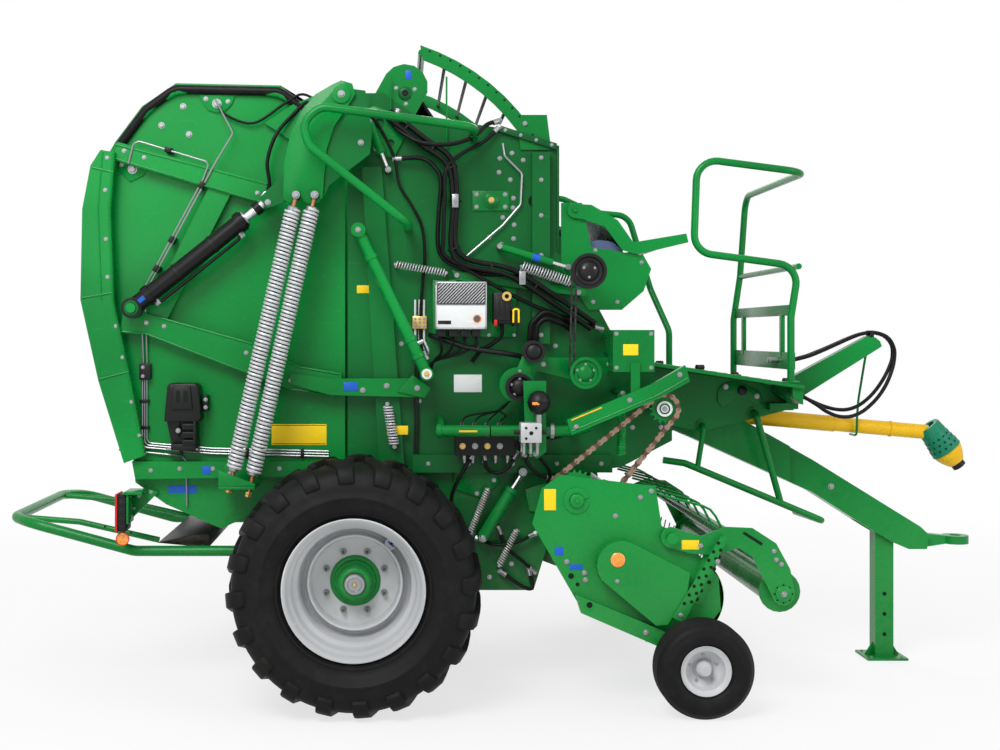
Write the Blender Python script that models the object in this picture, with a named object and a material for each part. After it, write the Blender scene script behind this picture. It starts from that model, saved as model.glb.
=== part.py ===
"""A round baler with its pickup, tailgate, drawbar and wheels, as separate closed solids.

Metres. X runs forward from the axle, Y to the left and Z up from the ground. Everything hangs on one
empty, which moves the origin from the axle to the middle of the baler's length.
"""
import math

import bmesh
import bpy
from mathutils import Matrix, Vector

# Driving dimensions of the whole machine
CHAMBER_HALF = 0.615     # half the bale chamber's clear width
WALL = 0.010             # chamber wall thickness
RIB_OUT = 0.060          # how far the pressed ribs stand out from a wall
FIT = 0.0003             # gap between pieces that touch
SINK = 0.003             # how far fused shapes reach into each other

# Main wheels
TYRE_RADIUS = 0.540      # out to the tips of the lugs
TYRE_WIDTH = 0.550
RIM_RADIUS = 0.300
BEAD_RADIUS = 0.288      # where the tyre sits on the rim
WHEEL_SIDES = 32
LUG_COUNT = 20           # lugs in each half of the tread
LUG_HEIGHT = 0.024
LUG_POINTS = (0.0, 0.08, 0.50, 0.58)   # where a lug's flanks begin and end, in parts of the pitch
HUB_RADIUS = 0.100
AXLE_Z = TYRE_RADIUS
AXLE_HALF = 0.050        # half the square of the axle beam
STUB_RADIUS = 0.035

# Gauge wheels at the pickup's ends
GAUGE_RADIUS = 0.205
GAUGE_WIDTH = 0.160
GAUGE_RIM = 0.105
GAUGE_X = 1.463

# Tailgate hinge, and the split between the tailgate and the front of the chamber
HINGE_X = -0.065
HINGE_Z = 2.660
HINGE_PIN = 0.030
SPLIT_X = -0.045
SPLIT_GAP = 0.012
PIN_PLAY = 0.0009        # running clearance round a pin

# Side planes, measured outwards from the middle of the baler
PLATE = 0.012
WALL_OUT = CHAMBER_HALF + WALL
RIB_Y = WALL_OUT + RIB_OUT
LATCH_Y = RIB_Y + 0.008
RAM_Y = RIB_Y + 0.065
RAM_RADIUS = 0.040
ROD_RADIUS = 0.021
BRACKET_Y = RAM_Y + 0.050
LEVER_Y = BRACKET_Y + 0.022
SPRING_Y = LEVER_Y + 0.050
SPRING_RADIUS = 0.0375
STRUT_Y = SPRING_Y - 0.022
PULLEY_Y = WALL_OUT + 0.240
CHAIN_Y = WALL_OUT + 0.280
RAIL_Y = SPRING_Y + 0.063
WHEEL_Y = WALL_OUT + 0.375

# Tailgate ram, from its pin on the tailgate to its pin on the frame's bracket
RAM_FOOT = (-1.000, 1.720)
RAM_HEAD = (-0.391, 2.206)
RAM_BARREL = 0.640       # barrel length from its pin

# Pickup
PICKUP_X = 0.950
PICKUP_Z = 0.890
PICKUP_PIN = 0.030
PICKUP_Y = WALL_OUT + 0.360   # inner face of a side plate
REEL_X = 1.420
REEL_Z = 0.450
REEL_TIP = 0.250
REEL_BAR = 0.130
REEL_HALF = PICKUP_Y - 0.055
TINE_COUNT = 16
TINE_WIDTH = 0.008
BAND_RADIUS = 0.195
BAND_SLOT = 0.020        # the slot between two bands, which the tines pass through

# Wind guard in front of the pickup
GUARD_X = 1.352
GUARD_Z = 0.735
GUARD_PIN = 0.018
GUARD_Y = PICKUP_Y + 0.027
GAUGE_Y = PICKUP_Y + 0.160
GUARD_ROLLER_X = 1.831
GUARD_ROLLER_Z = 0.494
GUARD_ROLLER = 0.090
ROD_REACH = GUARD_Y - 0.162   # the outermost comb rods

# Feed rotor between the pickup and the chamber
ROTOR_X = 0.790
ROTOR_Z = 0.660
ROTOR_TIP = 0.170

# Front of the machine
DRAWBAR_HALF = 0.130
CHANNEL_HALF = 0.085     # half the channel in the drawbar that the drive shaft runs in
ARM_Y = 0.200            # inner face of the front frame's arms
EYE_X = 2.955
EYE_Z = 0.585
EYE_RADIUS = 0.065
EYE_HOLE = 0.028
STAND_X = EYE_X - 0.365
STAND_Z = 0.610
STAND_HALF = 0.045
STAND_FOOT = 0.100
SHAFT_X = 1.830
SHAFT_Z = 1.205
SHAFT_RADIUS = 0.040
SHAFT_DROP = math.radians(5.1)
SHAFT_LENGTH = 1.000
JOINT_BALL = 0.020       # the joint that the drive shaft turns and tilts on
DECK_HALF = 0.600
DECK_REAR = (1.250, 1.490)
DECK_FRONT = (2.040, 1.370)
RAILING_Y = DECK_HALF - 0.030
TUBE = 0.017             # radius of the hand rails

# Net wrap unit
LID_X = 0.985
LID_Z = 2.165
LID_PIN = 0.010
NET_RADIUS = 0.140
NET_X = 1.105
TROUGH_Z = 1.760

# Bale kicker behind the axle
KICKER_X = -0.500
KICKER_Z = 0.614
KICKER_HALF = CHAMBER_HALF - 0.020
KICKER_TUBE = 0.024
KICKER_REAR = -1.620
RAIL_HALF = CHAMBER_HALF - 0.070   # inner face of a lower frame rail
RAIL_THICK = 0.020

LENGTH_MIDDLE = (EYE_X + EYE_RADIUS + KICKER_REAR) / 2

SIDES = (("right", -1), ("left", 1))

# x, z and radius of the rollers across the tailgate
TAILGATE_ROLLERS = ((-0.400, 2.580, 0.080), (-0.930, 1.110, 0.070), (-0.450, 0.860, 0.070))

# Each moving body's parent, and the point of its axis at rest
BODIES = {
    "tailgate": ("chassis", (HINGE_X, 0, HINGE_Z)),
    "ram_right": ("tailgate", (RAM_FOOT[0], -RAM_Y, RAM_FOOT[1])),
    "ram_left": ("tailgate", (RAM_FOOT[0], RAM_Y, RAM_FOOT[1])),
    "rod_right": ("ram_right", (RAM_HEAD[0], -RAM_Y, RAM_HEAD[1])),
    "rod_left": ("ram_left", (RAM_HEAD[0], RAM_Y, RAM_HEAD[1])),
    "wheel_right": ("chassis", (0, -WHEEL_Y, AXLE_Z)),
    "wheel_left": ("chassis", (0, WHEEL_Y, AXLE_Z)),
    "pickup": ("chassis", (PICKUP_X, 0, PICKUP_Z)),
    "reel": ("pickup", (REEL_X, 0, REEL_Z)),
    "gauge_right": ("pickup", (GAUGE_X, -GAUGE_Y, GAUGE_RADIUS)),
    "gauge_left": ("pickup", (GAUGE_X, GAUGE_Y, GAUGE_RADIUS)),
    "wind_guard": ("pickup", (GUARD_X, 0, GUARD_Z)),
    "crop_roller": ("wind_guard", (GUARD_ROLLER_X, 0, GUARD_ROLLER_Z)),
    "rotor": ("chassis", (ROTOR_X, 0, ROTOR_Z)),
    "stand": ("chassis", (STAND_X, 0, STAND_Z)),
    "drive_shaft": ("chassis", (SHAFT_X, 0, SHAFT_Z)),
    "net_lid": ("chassis", (LID_X, 0, LID_Z)),
    "kicker": ("chassis", (KICKER_X, 0, KICKER_Z)),
}

# The front hoses' radius, and the places that each runs through
FRONT_HOSE_RADIUS = 0.009
FRONT_HOSES = (
    ("front_hose_inner",
     (
      (2.0403, -0.330, 1.318), (2.078, -0.330, 1.318), (2.156, -0.327, 1.283), (2.211, -0.319, 1.261),
      (2.269, -0.311, 1.246), (2.328, -0.299, 1.245), (2.384, -0.287, 1.263), (2.433, -0.278, 1.297),
      (2.475, -0.269, 1.339), (2.511, -0.258, 1.386), (2.541, -0.248, 1.437), (2.562, -0.240, 1.493),
      (2.558, -0.239, 1.553), (2.519, -0.239, 1.597), (2.461, -0.239, 1.611), (2.402, -0.241, 1.603),
      (2.345, -0.245, 1.583), (2.290, -0.252, 1.560), (2.235, -0.260, 1.537), (2.179, -0.269, 1.515),
      (2.123, -0.281, 1.496), (2.050, -0.290, 1.480), (2.0043, -0.290, 1.480))),
    ("front_hose_outer",
     (
      (2.0403, -0.375, 1.318), (2.078, -0.375, 1.318), (2.156, -0.371, 1.274), (2.208, -0.365, 1.239),
      (2.266, -0.356, 1.216), (2.326, -0.341, 1.213), (2.383, -0.324, 1.231), (2.434, -0.311, 1.266),
      (2.478, -0.299, 1.309), (2.515, -0.284, 1.358), (2.543, -0.272, 1.412), (2.562, -0.264, 1.472),
      (2.564, -0.261, 1.534), (2.534, -0.261, 1.587), (2.476, -0.261, 1.611), (2.414, -0.263, 1.607),
      (2.355, -0.268, 1.587), (2.298, -0.278, 1.563), (2.241, -0.290, 1.539), (2.184, -0.304, 1.516),
      (2.127, -0.323, 1.497), (2.050, -0.335, 1.480), (2.0043, -0.335, 1.480))),
)

# Colour, roughness and metallic value of each finish
FINISHES = {
    "green_paint": ((0.010, 0.270, 0.050, 1), 0.35, 0.0),
    "dark_green": ((0.008, 0.120, 0.030, 1), 0.45, 0.0),
    "silver_paint": ((0.480, 0.490, 0.510, 1), 0.45, 0.2),
    "tyre_rubber": ((0.020, 0.020, 0.021, 1), 0.80, 0.0),
    "belt_rubber": ((0.018, 0.018, 0.018, 1), 0.70, 0.0),
    "black_paint": ((0.015, 0.015, 0.016, 1), 0.35, 0.0),
    "bright_steel": ((0.600, 0.600, 0.600, 1), 0.25, 1.0),
    "worn_steel": ((0.250, 0.180, 0.130, 1), 0.50, 0.8),
    "yellow_plastic": ((0.850, 0.500, 0.010, 1), 0.40, 0.0),
    "net_wrap": ((0.250, 0.300, 0.420, 1), 0.45, 0.0),
    "cast_alloy": ((0.550, 0.560, 0.570, 1), 0.40, 0.7),
    "lamp_red": ((0.500, 0.020, 0.015, 1), 0.30, 0.0),
}


# Shape helpers, all in the baler's own coordinates

def scratch(bm):
    """An unfinished object from a bmesh, to be fused or placed."""
    bmesh.ops.recalc_face_normals(bm, faces=bm.faces)
    mesh = bpy.data.meshes.new("scratch")
    bm.to_mesh(mesh)
    bm.free()
    obj = bpy.data.objects.new("scratch", mesh)
    bpy.context.scene.collection.objects.link(obj)
    return obj


def prism(outline, y_low, y_high):
    """An outline of (x, z) points, extruded from y_low to y_high."""
    bm = bmesh.new()
    face = bm.faces.new([bm.verts.new((x, y_low, z)) for x, z in outline])
    sides = bmesh.ops.extrude_face_region(bm, geom=[face])["geom"]
    moved = [v for v in sides if isinstance(v, bmesh.types.BMVert)]
    bmesh.ops.translate(bm, vec=(0, y_high - y_low, 0), verts=moved)
    return scratch(bm)


def box(x_span, y_span, z_span):
    """A block from three (low, high) spans."""
    bm = bmesh.new()
    bmesh.ops.create_cube(bm, size=1)
    spans = (x_span, y_span, z_span)
    middle = Vector([(low + high) / 2 for low, high in spans])
    bmesh.ops.scale(bm, vec=[abs(high - low) for low, high in spans], verts=bm.verts)
    bmesh.ops.translate(bm, vec=middle, verts=bm.verts)
    return scratch(bm)


def rod(start, end, radius, sides=12, end_radius=None):
    """A round bar between two points."""
    start, end = Vector(start), Vector(end)
    along = end - start
    bm = bmesh.new()
    turn = along.to_track_quat("Z", "Y").to_matrix().to_4x4()
    bmesh.ops.create_cone(
        bm, cap_ends=True, segments=sides, radius1=radius,
        radius2=radius if end_radius is None else end_radius, depth=along.length,
        matrix=Matrix.Translation((start + end) / 2) @ turn)
    return scratch(bm)


def disc(x, z, y_low, y_high, radius, sides=24):
    """A cylinder along Y."""
    return rod((x, y_low, z), (x, y_high, z), radius, sides)


def turned(profile, x, y, z, sides, closed=True):
    """A profile of (y, radius) points turned about the Y axis through (x, y, z)."""
    bm = bmesh.new()
    verts = [bm.verts.new((0, out, radius)) for out, radius in profile]
    pairs = list(zip(verts, verts[1:]))
    if closed:
        pairs.append((verts[-1], verts[0]))
    edges = [bm.edges.new(pair) for pair in pairs]
    bmesh.ops.spin(bm, geom=verts + edges, cent=(0, 0, 0), axis=(0, 1, 0), angle=math.tau,
                   steps=sides, use_merge=True, use_duplicate=False)
    bmesh.ops.remove_doubles(bm, verts=bm.verts, dist=1e-5)
    bmesh.ops.translate(bm, vec=(x, y, z), verts=bm.verts)
    return scratch(bm)


def bent(points, radius, steps=4):
    """Points along a route with its corners rounded."""
    points = [Vector(p) for p in points]
    route = [points[0]]
    for before, corner, after in zip(points, points[1:], points[2:]):
        back, on = (before - corner), (after - corner)
        reach = min(radius, back.length * 0.45, on.length * 0.45)
        start, end = corner + back.normalized() * reach, corner + on.normalized() * reach
        for i in range(steps + 1):
            t = i / steps
            route.append(start * (1 - t) ** 2 + corner * 2 * t * (1 - t) + end * t ** 2)
    route.append(points[-1])
    return route


def tube(points, radius, corner=0.06, sides=8, steps=2):
    """A round tube along a route with rounded corners."""
    return swept(bent(points, corner, steps), radius, sides)


def swept(route, radius, sides=8):
    """A round tube through the points of a route."""
    curve = bpy.data.curves.new("scratch", "CURVE")
    curve.dimensions = "3D"
    curve.bevel_depth = radius
    curve.bevel_resolution = sides // 2 - 2
    curve.use_fill_caps = True
    spline = curve.splines.new("POLY")
    spline.points.add(len(route) - 1)
    for point, place in zip(spline.points, route):
        point.co = (*place, 1)
    guide = bpy.data.objects.new("scratch", curve)
    bpy.context.scene.collection.objects.link(guide)
    bm = bmesh.new()
    bm.from_mesh(evaluated(guide))
    bpy.data.objects.remove(guide)
    bmesh.ops.remove_doubles(bm, verts=bm.verts, dist=1e-5)
    return scratch(bm)


def evaluated(obj):
    """The mesh of an object with its modifiers applied."""
    bpy.context.view_layer.update()
    graph = bpy.context.evaluated_depsgraph_get()
    return bpy.data.meshes.new_from_object(obj.evaluated_get(graph))


def strip(path, thickness, y_low, y_high):
    """A sheet that follows a path of (x, z) points, bent to one thickness."""
    left, right = [], []
    for i, (x, z) in enumerate(path):
        before, after = path[max(i - 1, 0)], path[min(i + 1, len(path) - 1)]
        along = Vector((after[0] - before[0], after[1] - before[1])).normalized()
        left.append((x - along.y * thickness / 2, z + along.x * thickness / 2))
        right.append((x + along.y * thickness / 2, z - along.x * thickness / 2))
    return prism(left + right[::-1], y_low, y_high)


def arc(x, z, radius, start, end, steps):
    """Points of (x, z) on an arc, its angles in degrees from +X towards +Z."""
    angles = [math.radians(start + (end - start) * i / steps) for i in range(steps + 1)]
    return [(x + radius * math.cos(a), z + radius * math.sin(a)) for a in angles]


def group(*parts):
    """Several shapes that don't touch, as one object."""
    bm = bmesh.new()
    for part in parts:
        bm.from_mesh(part.data)
        bpy.data.objects.remove(part)
    return scratch(bm)


def combine(base, others, operation):
    """A shape after Booleans with the others, which are removed."""
    for other in others:
        modifier = base.modifiers.new("boolean", "BOOLEAN")
        modifier.operation = operation
        modifier.object = other
    mesh = evaluated(base)
    for used in (base, *others):
        bpy.data.objects.remove(used)
    obj = bpy.data.objects.new("scratch", mesh)
    bpy.context.scene.collection.objects.link(obj)
    return obj


def fuse(*parts):
    """The union of overlapping shapes."""
    return combine(parts[0], parts[1:], "UNION")


def cut(base, *cutters):
    """A shape with others cut away."""
    return combine(base, cutters, "DIFFERENCE")


def span(side, near, far):
    """The (low, high) of Y for a span given by its distances from the middle."""
    return (min(side * near, side * far), max(side * near, side * far))


EMPTIES = {}
MATERIALS = {}


def frame_empties():
    """The empty at the origin and one on each body's axis."""
    root = bpy.data.objects.new("baler_origin", None)
    bpy.context.scene.collection.objects.link(root)
    root.location = (-LENGTH_MIDDLE, 0, 0)
    EMPTIES["chassis"] = (root, Vector((0, 0, 0)))
    for name, (parent, place) in BODIES.items():
        empty = bpy.data.objects.new(name + "_axis", None)
        bpy.context.scene.collection.objects.link(empty)
        holder, holder_place = EMPTIES[parent]
        empty.parent = holder
        empty.location = Vector(place) - holder_place
        EMPTIES[name] = (empty, Vector(place))


def place(name, obj, body, finish):
    """Names a finished piece, sets its material and hangs it on its body's axis."""
    empty, origin = EMPTIES[body]
    obj.name = name
    obj.data.name = name
    obj.data.transform(Matrix.Translation(-origin))
    obj.parent = empty
    if finish not in MATERIALS:
        colour, roughness, metallic = FINISHES[finish]
        material = bpy.data.materials.new(finish)
        material.use_nodes = True
        shader = material.node_tree.nodes["Principled BSDF"]
        shader.inputs["Base Color"].default_value = colour
        shader.inputs["Roughness"].default_value = roughness
        shader.inputs["Metallic"].default_value = metallic
        MATERIALS[finish] = material
    obj.data.materials.clear()
    obj.data.materials.append(MATERIALS[finish])
    obj.data.shade_smooth()
    obj.data.set_sharp_from_angle(angle=math.radians(35))


# Outlines of (x, z) points
HULL_BACK = [(-0.350, 2.735), (-0.825, 2.745), (-0.980, 2.640), (-1.100, 2.480), (-1.170, 2.360),
             (-1.200, 2.165), (-1.200, 1.758), (-1.125, 1.396), (-1.020, 1.035)]
TAILGATE_OUTLINE = ([(SPLIT_X - SPLIT_GAP, 2.440), (-0.130, 2.600), (-0.260, 2.660)] + HULL_BACK
                    + [(-1.010, 0.930), (-0.870, 0.830), (-0.620, 0.720), (-0.330, 0.850),
                       (SPLIT_X - SPLIT_GAP, 0.960)])
FRONT_OUTLINE = [(SPLIT_X, 2.440), (SPLIT_X + 0.04, 2.700), (0.120, 2.700), (0.260, 2.600),
                 (0.690, 2.535), (0.917, 2.460), (0.917, 2.060), (1.150, 1.620), (1.300, 1.470),
                 (1.430, 1.320), (1.430, 1.120), (1.200, 1.000), (1.060, 0.980), (1.060, 0.800),
                 (0.900, 0.760), (0.800, 0.440), (0.260, 0.440), (0.110, 0.610), (SPLIT_X, 0.610)]


def chamber_wall(name, side):
    """The front part of a chamber side: wall, ribs, hinge pin and the brackets it carries."""
    wall = prism(FRONT_OUTLINE, *span(side, CHAMBER_HALF, WALL_OUT))
    ribs = group(
        prism([(0.020, 2.360), (0.110, 2.360), (0.240, 0.660), (0.120, 0.660)],
              *span(side, WALL_OUT - SINK, RIB_Y - 0.020)),
        prism([(0.790, 2.425), (0.870, 2.425), (0.870, 1.560), (0.790, 1.560)],
              *span(side, WALL_OUT - SINK, RIB_Y - 0.010)),
        prism([(0.250, 1.060), (1.150, 1.060), (1.150, 0.980), (0.250, 0.980)],
              *span(side, WALL_OUT - SINK, RIB_Y)),
    )
    hinge_pin = disc(HINGE_X, HINGE_Z, *span(side, CHAMBER_HALF + SINK, LEVER_Y + PLATE + 0.006), HINGE_PIN,
                     20)
    hinge_boss = prism([(HINGE_X - 0.05, HINGE_Z - 0.04), (HINGE_X - 0.05, HINGE_Z + 0.04),
                        (0.060, 2.690), (0.060, 2.500), (SPLIT_X + 0.02, 2.440)],
                       *span(side, CHAMBER_HALF, WALL_OUT + 0.006))
    bracket = prism([(HINGE_X - 0.055, HINGE_Z + 0.04), (-0.180, 2.560), (-0.300, 2.330), (-0.430, 2.205),
                     (-0.395, 2.160), (-0.290, 2.195), (-0.150, 2.195), (-0.120, 2.260),
                     (0.060, 2.400), (0.070, 2.500), (0.040, 2.680)],
                    *span(side, BRACKET_Y, BRACKET_Y + PLATE))
    post = disc(0.020, 2.450, *span(side, CHAMBER_HALF + SINK, BRACKET_Y + SINK), 0.028, 12)
    ram_pin = disc(RAM_HEAD[0], RAM_HEAD[1], *span(side, RAM_Y + RAM_RADIUS - 0.004, BRACKET_Y + SINK),
                   0.024, 12)
    pickup_lug = disc(PICKUP_X, PICKUP_Z, *span(side, CHAMBER_HALF, WALL_OUT + 0.020), 0.080, 16)
    pickup_pin = disc(PICKUP_X, PICKUP_Z, *span(side, CHAMBER_HALF + SINK, PICKUP_Y + 0.025), PICKUP_PIN, 16)
    shape = fuse(wall, hinge_boss, ribs, hinge_pin, bracket, post, ram_pin, pickup_lug, pickup_pin)
    place(name, shape, "chassis", "green_paint")


def tailgate_wall(name, side):
    """A tailgate side: wall, pressed ribs, hinge plate, latch arm and ram pin."""
    wall = prism(TAILGATE_OUTLINE, *span(side, CHAMBER_HALF, WALL_OUT))
    ribs = group(
        prism([(-1.080, 2.470), (-0.370, 2.276), (-0.410, 2.186), (-1.100, 2.390)],
              *span(side, WALL_OUT - SINK, RIB_Y)),
        prism([(-1.050, 1.720), (-0.960, 1.703), (-0.480, 1.569), (-0.257, 1.460), (-0.070, 1.430),
               (-0.070, 1.320), (-0.300, 1.350), (-0.953, 1.600), (-1.070, 1.610)],
              *span(side, WALL_OUT - SINK, RIB_Y)),
        prism([(-1.015, 1.030), (-0.070, 1.030), (-0.070, 0.965), (-1.000, 0.950)],
              *span(side, WALL_OUT - SINK, RIB_Y)),
    )
    diagonal = prism([(-0.640, 2.330), (-0.540, 2.300), (-0.870, 1.650), (-0.960, 1.680)],
                     *span(side, WALL_OUT - SINK, RIB_Y - 0.015))
    hanger = cut(
        prism([(HINGE_X + 0.055, HINGE_Z - 0.02), (HINGE_X + 0.04, HINGE_Z + 0.05),
               (HINGE_X - 0.04, HINGE_Z + 0.06),
               (-0.300, 2.640), (-0.420, 2.560), (-0.300, 2.480), (HINGE_X, HINGE_Z - 0.06)],
              *span(side, WALL_OUT + 0.014, WALL_OUT + 0.030)),
        disc(HINGE_X, HINGE_Z, *span(side, WALL_OUT, WALL_OUT + 0.05), HINGE_PIN + PIN_PLAY, 20))
    spacer = prism([(-0.230, 2.620), (-0.400, 2.565), (-0.300, 2.500), (-0.230, 2.500)],
                   *span(side, WALL_OUT - SINK, WALL_OUT + 0.020))
    latch = prism([(-0.300, 1.430), (-0.120, 1.405), (0.260, 1.405), (0.330, 1.350), (0.300, 1.320),
                   (-0.120, 1.330), (-0.300, 1.380)], *span(side, RIB_Y - SINK, LATCH_Y + PLATE))
    latch_gap = box((-0.075, 0.4), span(side, RIB_Y - 0.02, LATCH_Y - 0.001), (1.25, 1.5))
    ram_pin = disc(RAM_FOOT[0], RAM_FOOT[1], *span(side, WALL_OUT - SINK, RAM_Y + RAM_RADIUS + 0.010),
                   0.022, 16)
    shape = fuse(wall, edge_seal(side), ribs, diagonal, spacer, hanger, cut(latch, latch_gap), ram_pin)
    place(name, shape, "tailgate", "green_paint")


def rear_cover():
    """The green cover round the back of the tailgate, with its side returns."""
    outer = [(-1.150, 2.430), (-1.195, 2.360), (-1.232, 2.165), (-1.240, 1.758), (-1.160, 1.396),
             (-1.045, 1.025)]
    inner = [(-1.020, 1.045), (-1.128, 1.400), (-1.208, 1.758), (-1.206, 2.165), (-1.172, 2.360),
             (-1.130, 2.430)]
    sheet_inner = [(x - FIT - 0.010, z) for x, z in inner]
    half = RIB_Y + 0.030
    back = prism(outer + sheet_inner, -half, half)
    returns = [
        prism(outer + [(-0.950, 1.060), (-1.015, 1.400), (-1.090, 1.758), (-1.105, 2.165), (-1.085, 2.420)],
              *span(side, RIB_Y + FIT, half + SINK)) for _, side in SIDES]
    place("rear_cover", fuse(back, *returns), "tailgate", "green_paint")


def tailgate_hull():
    """The curved sheet and cross tubes that join the two tailgate sides."""
    y = CHAMBER_HALF - FIT
    path = [(-0.370, 2.715)] + [(x + 0.02, z - 0.012) for x, z in HULL_BACK[1:]]
    sheet = strip(path, 0.008, -y, y)
    rollers = group(*[disc(x, z, -y, y, r, 20) for x, z, r in TAILGATE_ROLLERS])
    links = group(*[box((-0.420, -0.380), span(side, y - 0.015, y), (2.600, 2.716)) for _, side in SIDES],
                  *[prism([(-1.020, 1.050), (-0.900, 1.140), (-0.850, 1.050), (-0.950, 1.000)],
                          *span(side, y - 0.015, y)) for _, side in SIDES],
                  *[prism([(-0.980, 1.060), (-0.900, 1.060), (-0.480, 0.900), (-0.480, 0.830),
                           (-0.930, 1.020)],
                          *span(side, y - 0.010, y)) for _, side in SIDES])
    place("tailgate_hull", fuse(sheet, rollers, links), "tailgate", "dark_green")


def belt_loop(name, body, outer, inset):
    """A set of belts as one closed loop, seen from the side as a band round its rollers."""
    count = len(outer)
    area = sum(outer[i - 1][0] * z - x * outer[i - 1][1] for i, (x, z) in enumerate(outer))
    inset = math.copysign(inset, -area)
    inner = []
    for i, (x, z) in enumerate(outer):
        before, after = Vector(outer[i - 1]), Vector(outer[(i + 1) % count])
        along = (after - before).normalized()
        inner.append((x + along.y * inset, z - along.x * inset))
    y = CHAMBER_HALF - 0.020
    loop = cut(prism(outer, -y, y), prism(inner, -y - 0.01, y + 0.01))
    place(name, loop, body, "belt_rubber")


def edge_seal(side):
    """The seal along the top edge of a tailgate side."""
    path = [(-0.200, 2.590), (-0.350, 2.705), (-0.830, 2.715), (-0.960, 2.620), (-1.080, 2.460)]
    return tube([(x, side * (WALL_OUT + 0.012), z) for x, z in path], 0.0195, corner=0.08)


def springs(name, side):
    """Two long tension springs between a lever on the hinge pin and a foot on the tailgate."""
    y = side * SPRING_Y
    coils = []
    for foot, head in (((-0.540, 0.975), (-0.268, 2.180)), ((-0.455, 0.955), (-0.186, 2.180))):
        low, high = Vector((foot[0], y, foot[1])), Vector((head[0], y, head[1]))
        along = (high - low).normalized()
        coils.append(fuse(rod(low - along * (foot[1] - 0.905), high + along * 0.020, 0.010, 8),
                          rod(low, high - along * 0.05, SPRING_RADIUS, 16),
                          disc(head[0], head[1] + 0.030, *span(side, LEVER_Y + SINK, SPRING_Y + 0.014),
                               0.020, 12)))
    lever = cut(
        prism(arc(HINGE_X, HINGE_Z, 0.060, -20, 160, 6) + [(-0.280, 2.440), (-0.320, 2.240),
                                                           (-0.300, 2.180), (-0.150, 2.180)],
              *span(side, LEVER_Y, LEVER_Y + PLATE)),
        disc(HINGE_X, HINGE_Z, *span(side, LEVER_Y - 0.02, LEVER_Y + 0.04), HINGE_PIN + PIN_PLAY, 20))
    foot = group(box((-0.600, -0.440), span(side, RIB_Y + FIT, SPRING_Y + 0.020), (0.925, 0.940)))
    seat = box((-0.600, -0.440), span(side, RIB_Y + FIT, RIB_Y + 0.012), (0.930, 1.020))
    place("springs_" + name, fuse(lever, group(*coils), foot, seat), "tailgate", "bright_steel")


def ram(name, side):
    """A tailgate ram: the barrel turns on the tailgate, and the rod slides in it."""
    foot = Vector((RAM_FOOT[0], side * RAM_Y, RAM_FOOT[1]))
    head = Vector((RAM_HEAD[0], side * RAM_Y, RAM_HEAD[1]))
    along = (head - foot).normalized()
    mouth = foot + along * RAM_BARREL
    body = fuse(rod(foot + along * 0.020, mouth, RAM_RADIUS, 16),
                disc(foot.x, foot.z, *span(side, RAM_Y - RAM_RADIUS + 0.004, RAM_Y + RAM_RADIUS - 0.004),
                     0.046, 16))
    eye_hole = disc(foot.x, foot.z, *span(side, RAM_Y - 0.06, RAM_Y + 0.06), 0.022 + PIN_PLAY, 16)
    bore = rod(foot + along * 0.080, mouth + along * 0.01, ROD_RADIUS + PIN_PLAY, 16)
    place("ram_barrel_" + name, cut(body, eye_hole, bore), "ram_" + name, "black_paint")
    shaft = fuse(rod(foot + along * 0.100, head, ROD_RADIUS, 16),
                 disc(head.x, head.z, *span(side, RAM_Y - 0.030, RAM_Y + 0.030), 0.036, 16))
    place("ram_rod_" + name, shaft, "rod_" + name, "bright_steel")


def bridge(bm, first, second):
    """Joins two rings of (turn, vertex) that may differ in their number of points, by triangles."""
    i = j = 0
    while i < len(first) or j < len(second):
        ahead = [ring[k + 1][0] if k + 1 < len(ring) else ring[0][0] + 1.0 if k < len(ring) else 9.0
                 for ring, k in ((first, i), (second, j))]
        a, b = first[i % len(first)][1], second[j % len(second)][1]
        if ahead[0] <= ahead[1]:
            i += 1
            bm.faces.new((a, b, first[i % len(first)][1]))
        else:
            j += 1
            bm.faces.new((a, b, second[j % len(second)][1]))


def lugged_tyre(side):
    """A tyre whose lugs rise from its tread, the lugs of one half set between those of the other."""
    half = TYRE_WIDTH / 2
    # distance from the middle, radius, sweep of the lugs in radians, points of a lug or none
    table = ((0.020, TYRE_RADIUS, 0.045, LUG_POINTS), (0.190, TYRE_RADIUS - 0.004, -0.072, LUG_POINTS),
             (0.936 * half, 0.503, -0.094, LUG_POINTS), (half, 0.405, -0.100, (0.04, 0.54)),
             (0.205, RIM_RADIUS + 0.012, 0.0, None), (0.185, BEAD_RADIUS, 0.0, None))
    bm = bmesh.new()
    halves = []
    for hand in (-1, 1):
        rings = []
        for y, radius, sweep, points in table:
            if points is None:
                turns = [(i / WHEEL_SIDES, radius) for i in range(WHEEL_SIDES)]
            else:
                turns = [((i + part) / LUG_COUNT + sweep / math.tau,
                          radius - (LUG_HEIGHT if len(points) == 4 and (k in (1, 2)) == (hand < 0) else 0))
                         for i in range(LUG_COUNT) for k, part in enumerate(points)]
            turns = sorted((turn % 1.0, r) for turn, r in turns)
            ring = []
            for turn, r in turns:
                angle = math.tau * turn
                point = (r * math.cos(angle), side * (WHEEL_Y + hand * y), AXLE_Z + r * math.sin(angle))
                ring.append((turn, bm.verts.new(point)))
            rings.append(ring)
        halves.append(rings)
    for rings in halves:
        for first, second in zip(rings, rings[1:]):
            bridge(bm, first, second)
    bridge(bm, halves[0][0], halves[1][0])
    bridge(bm, halves[0][-1], halves[1][-1])
    return scratch(bm)


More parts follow.
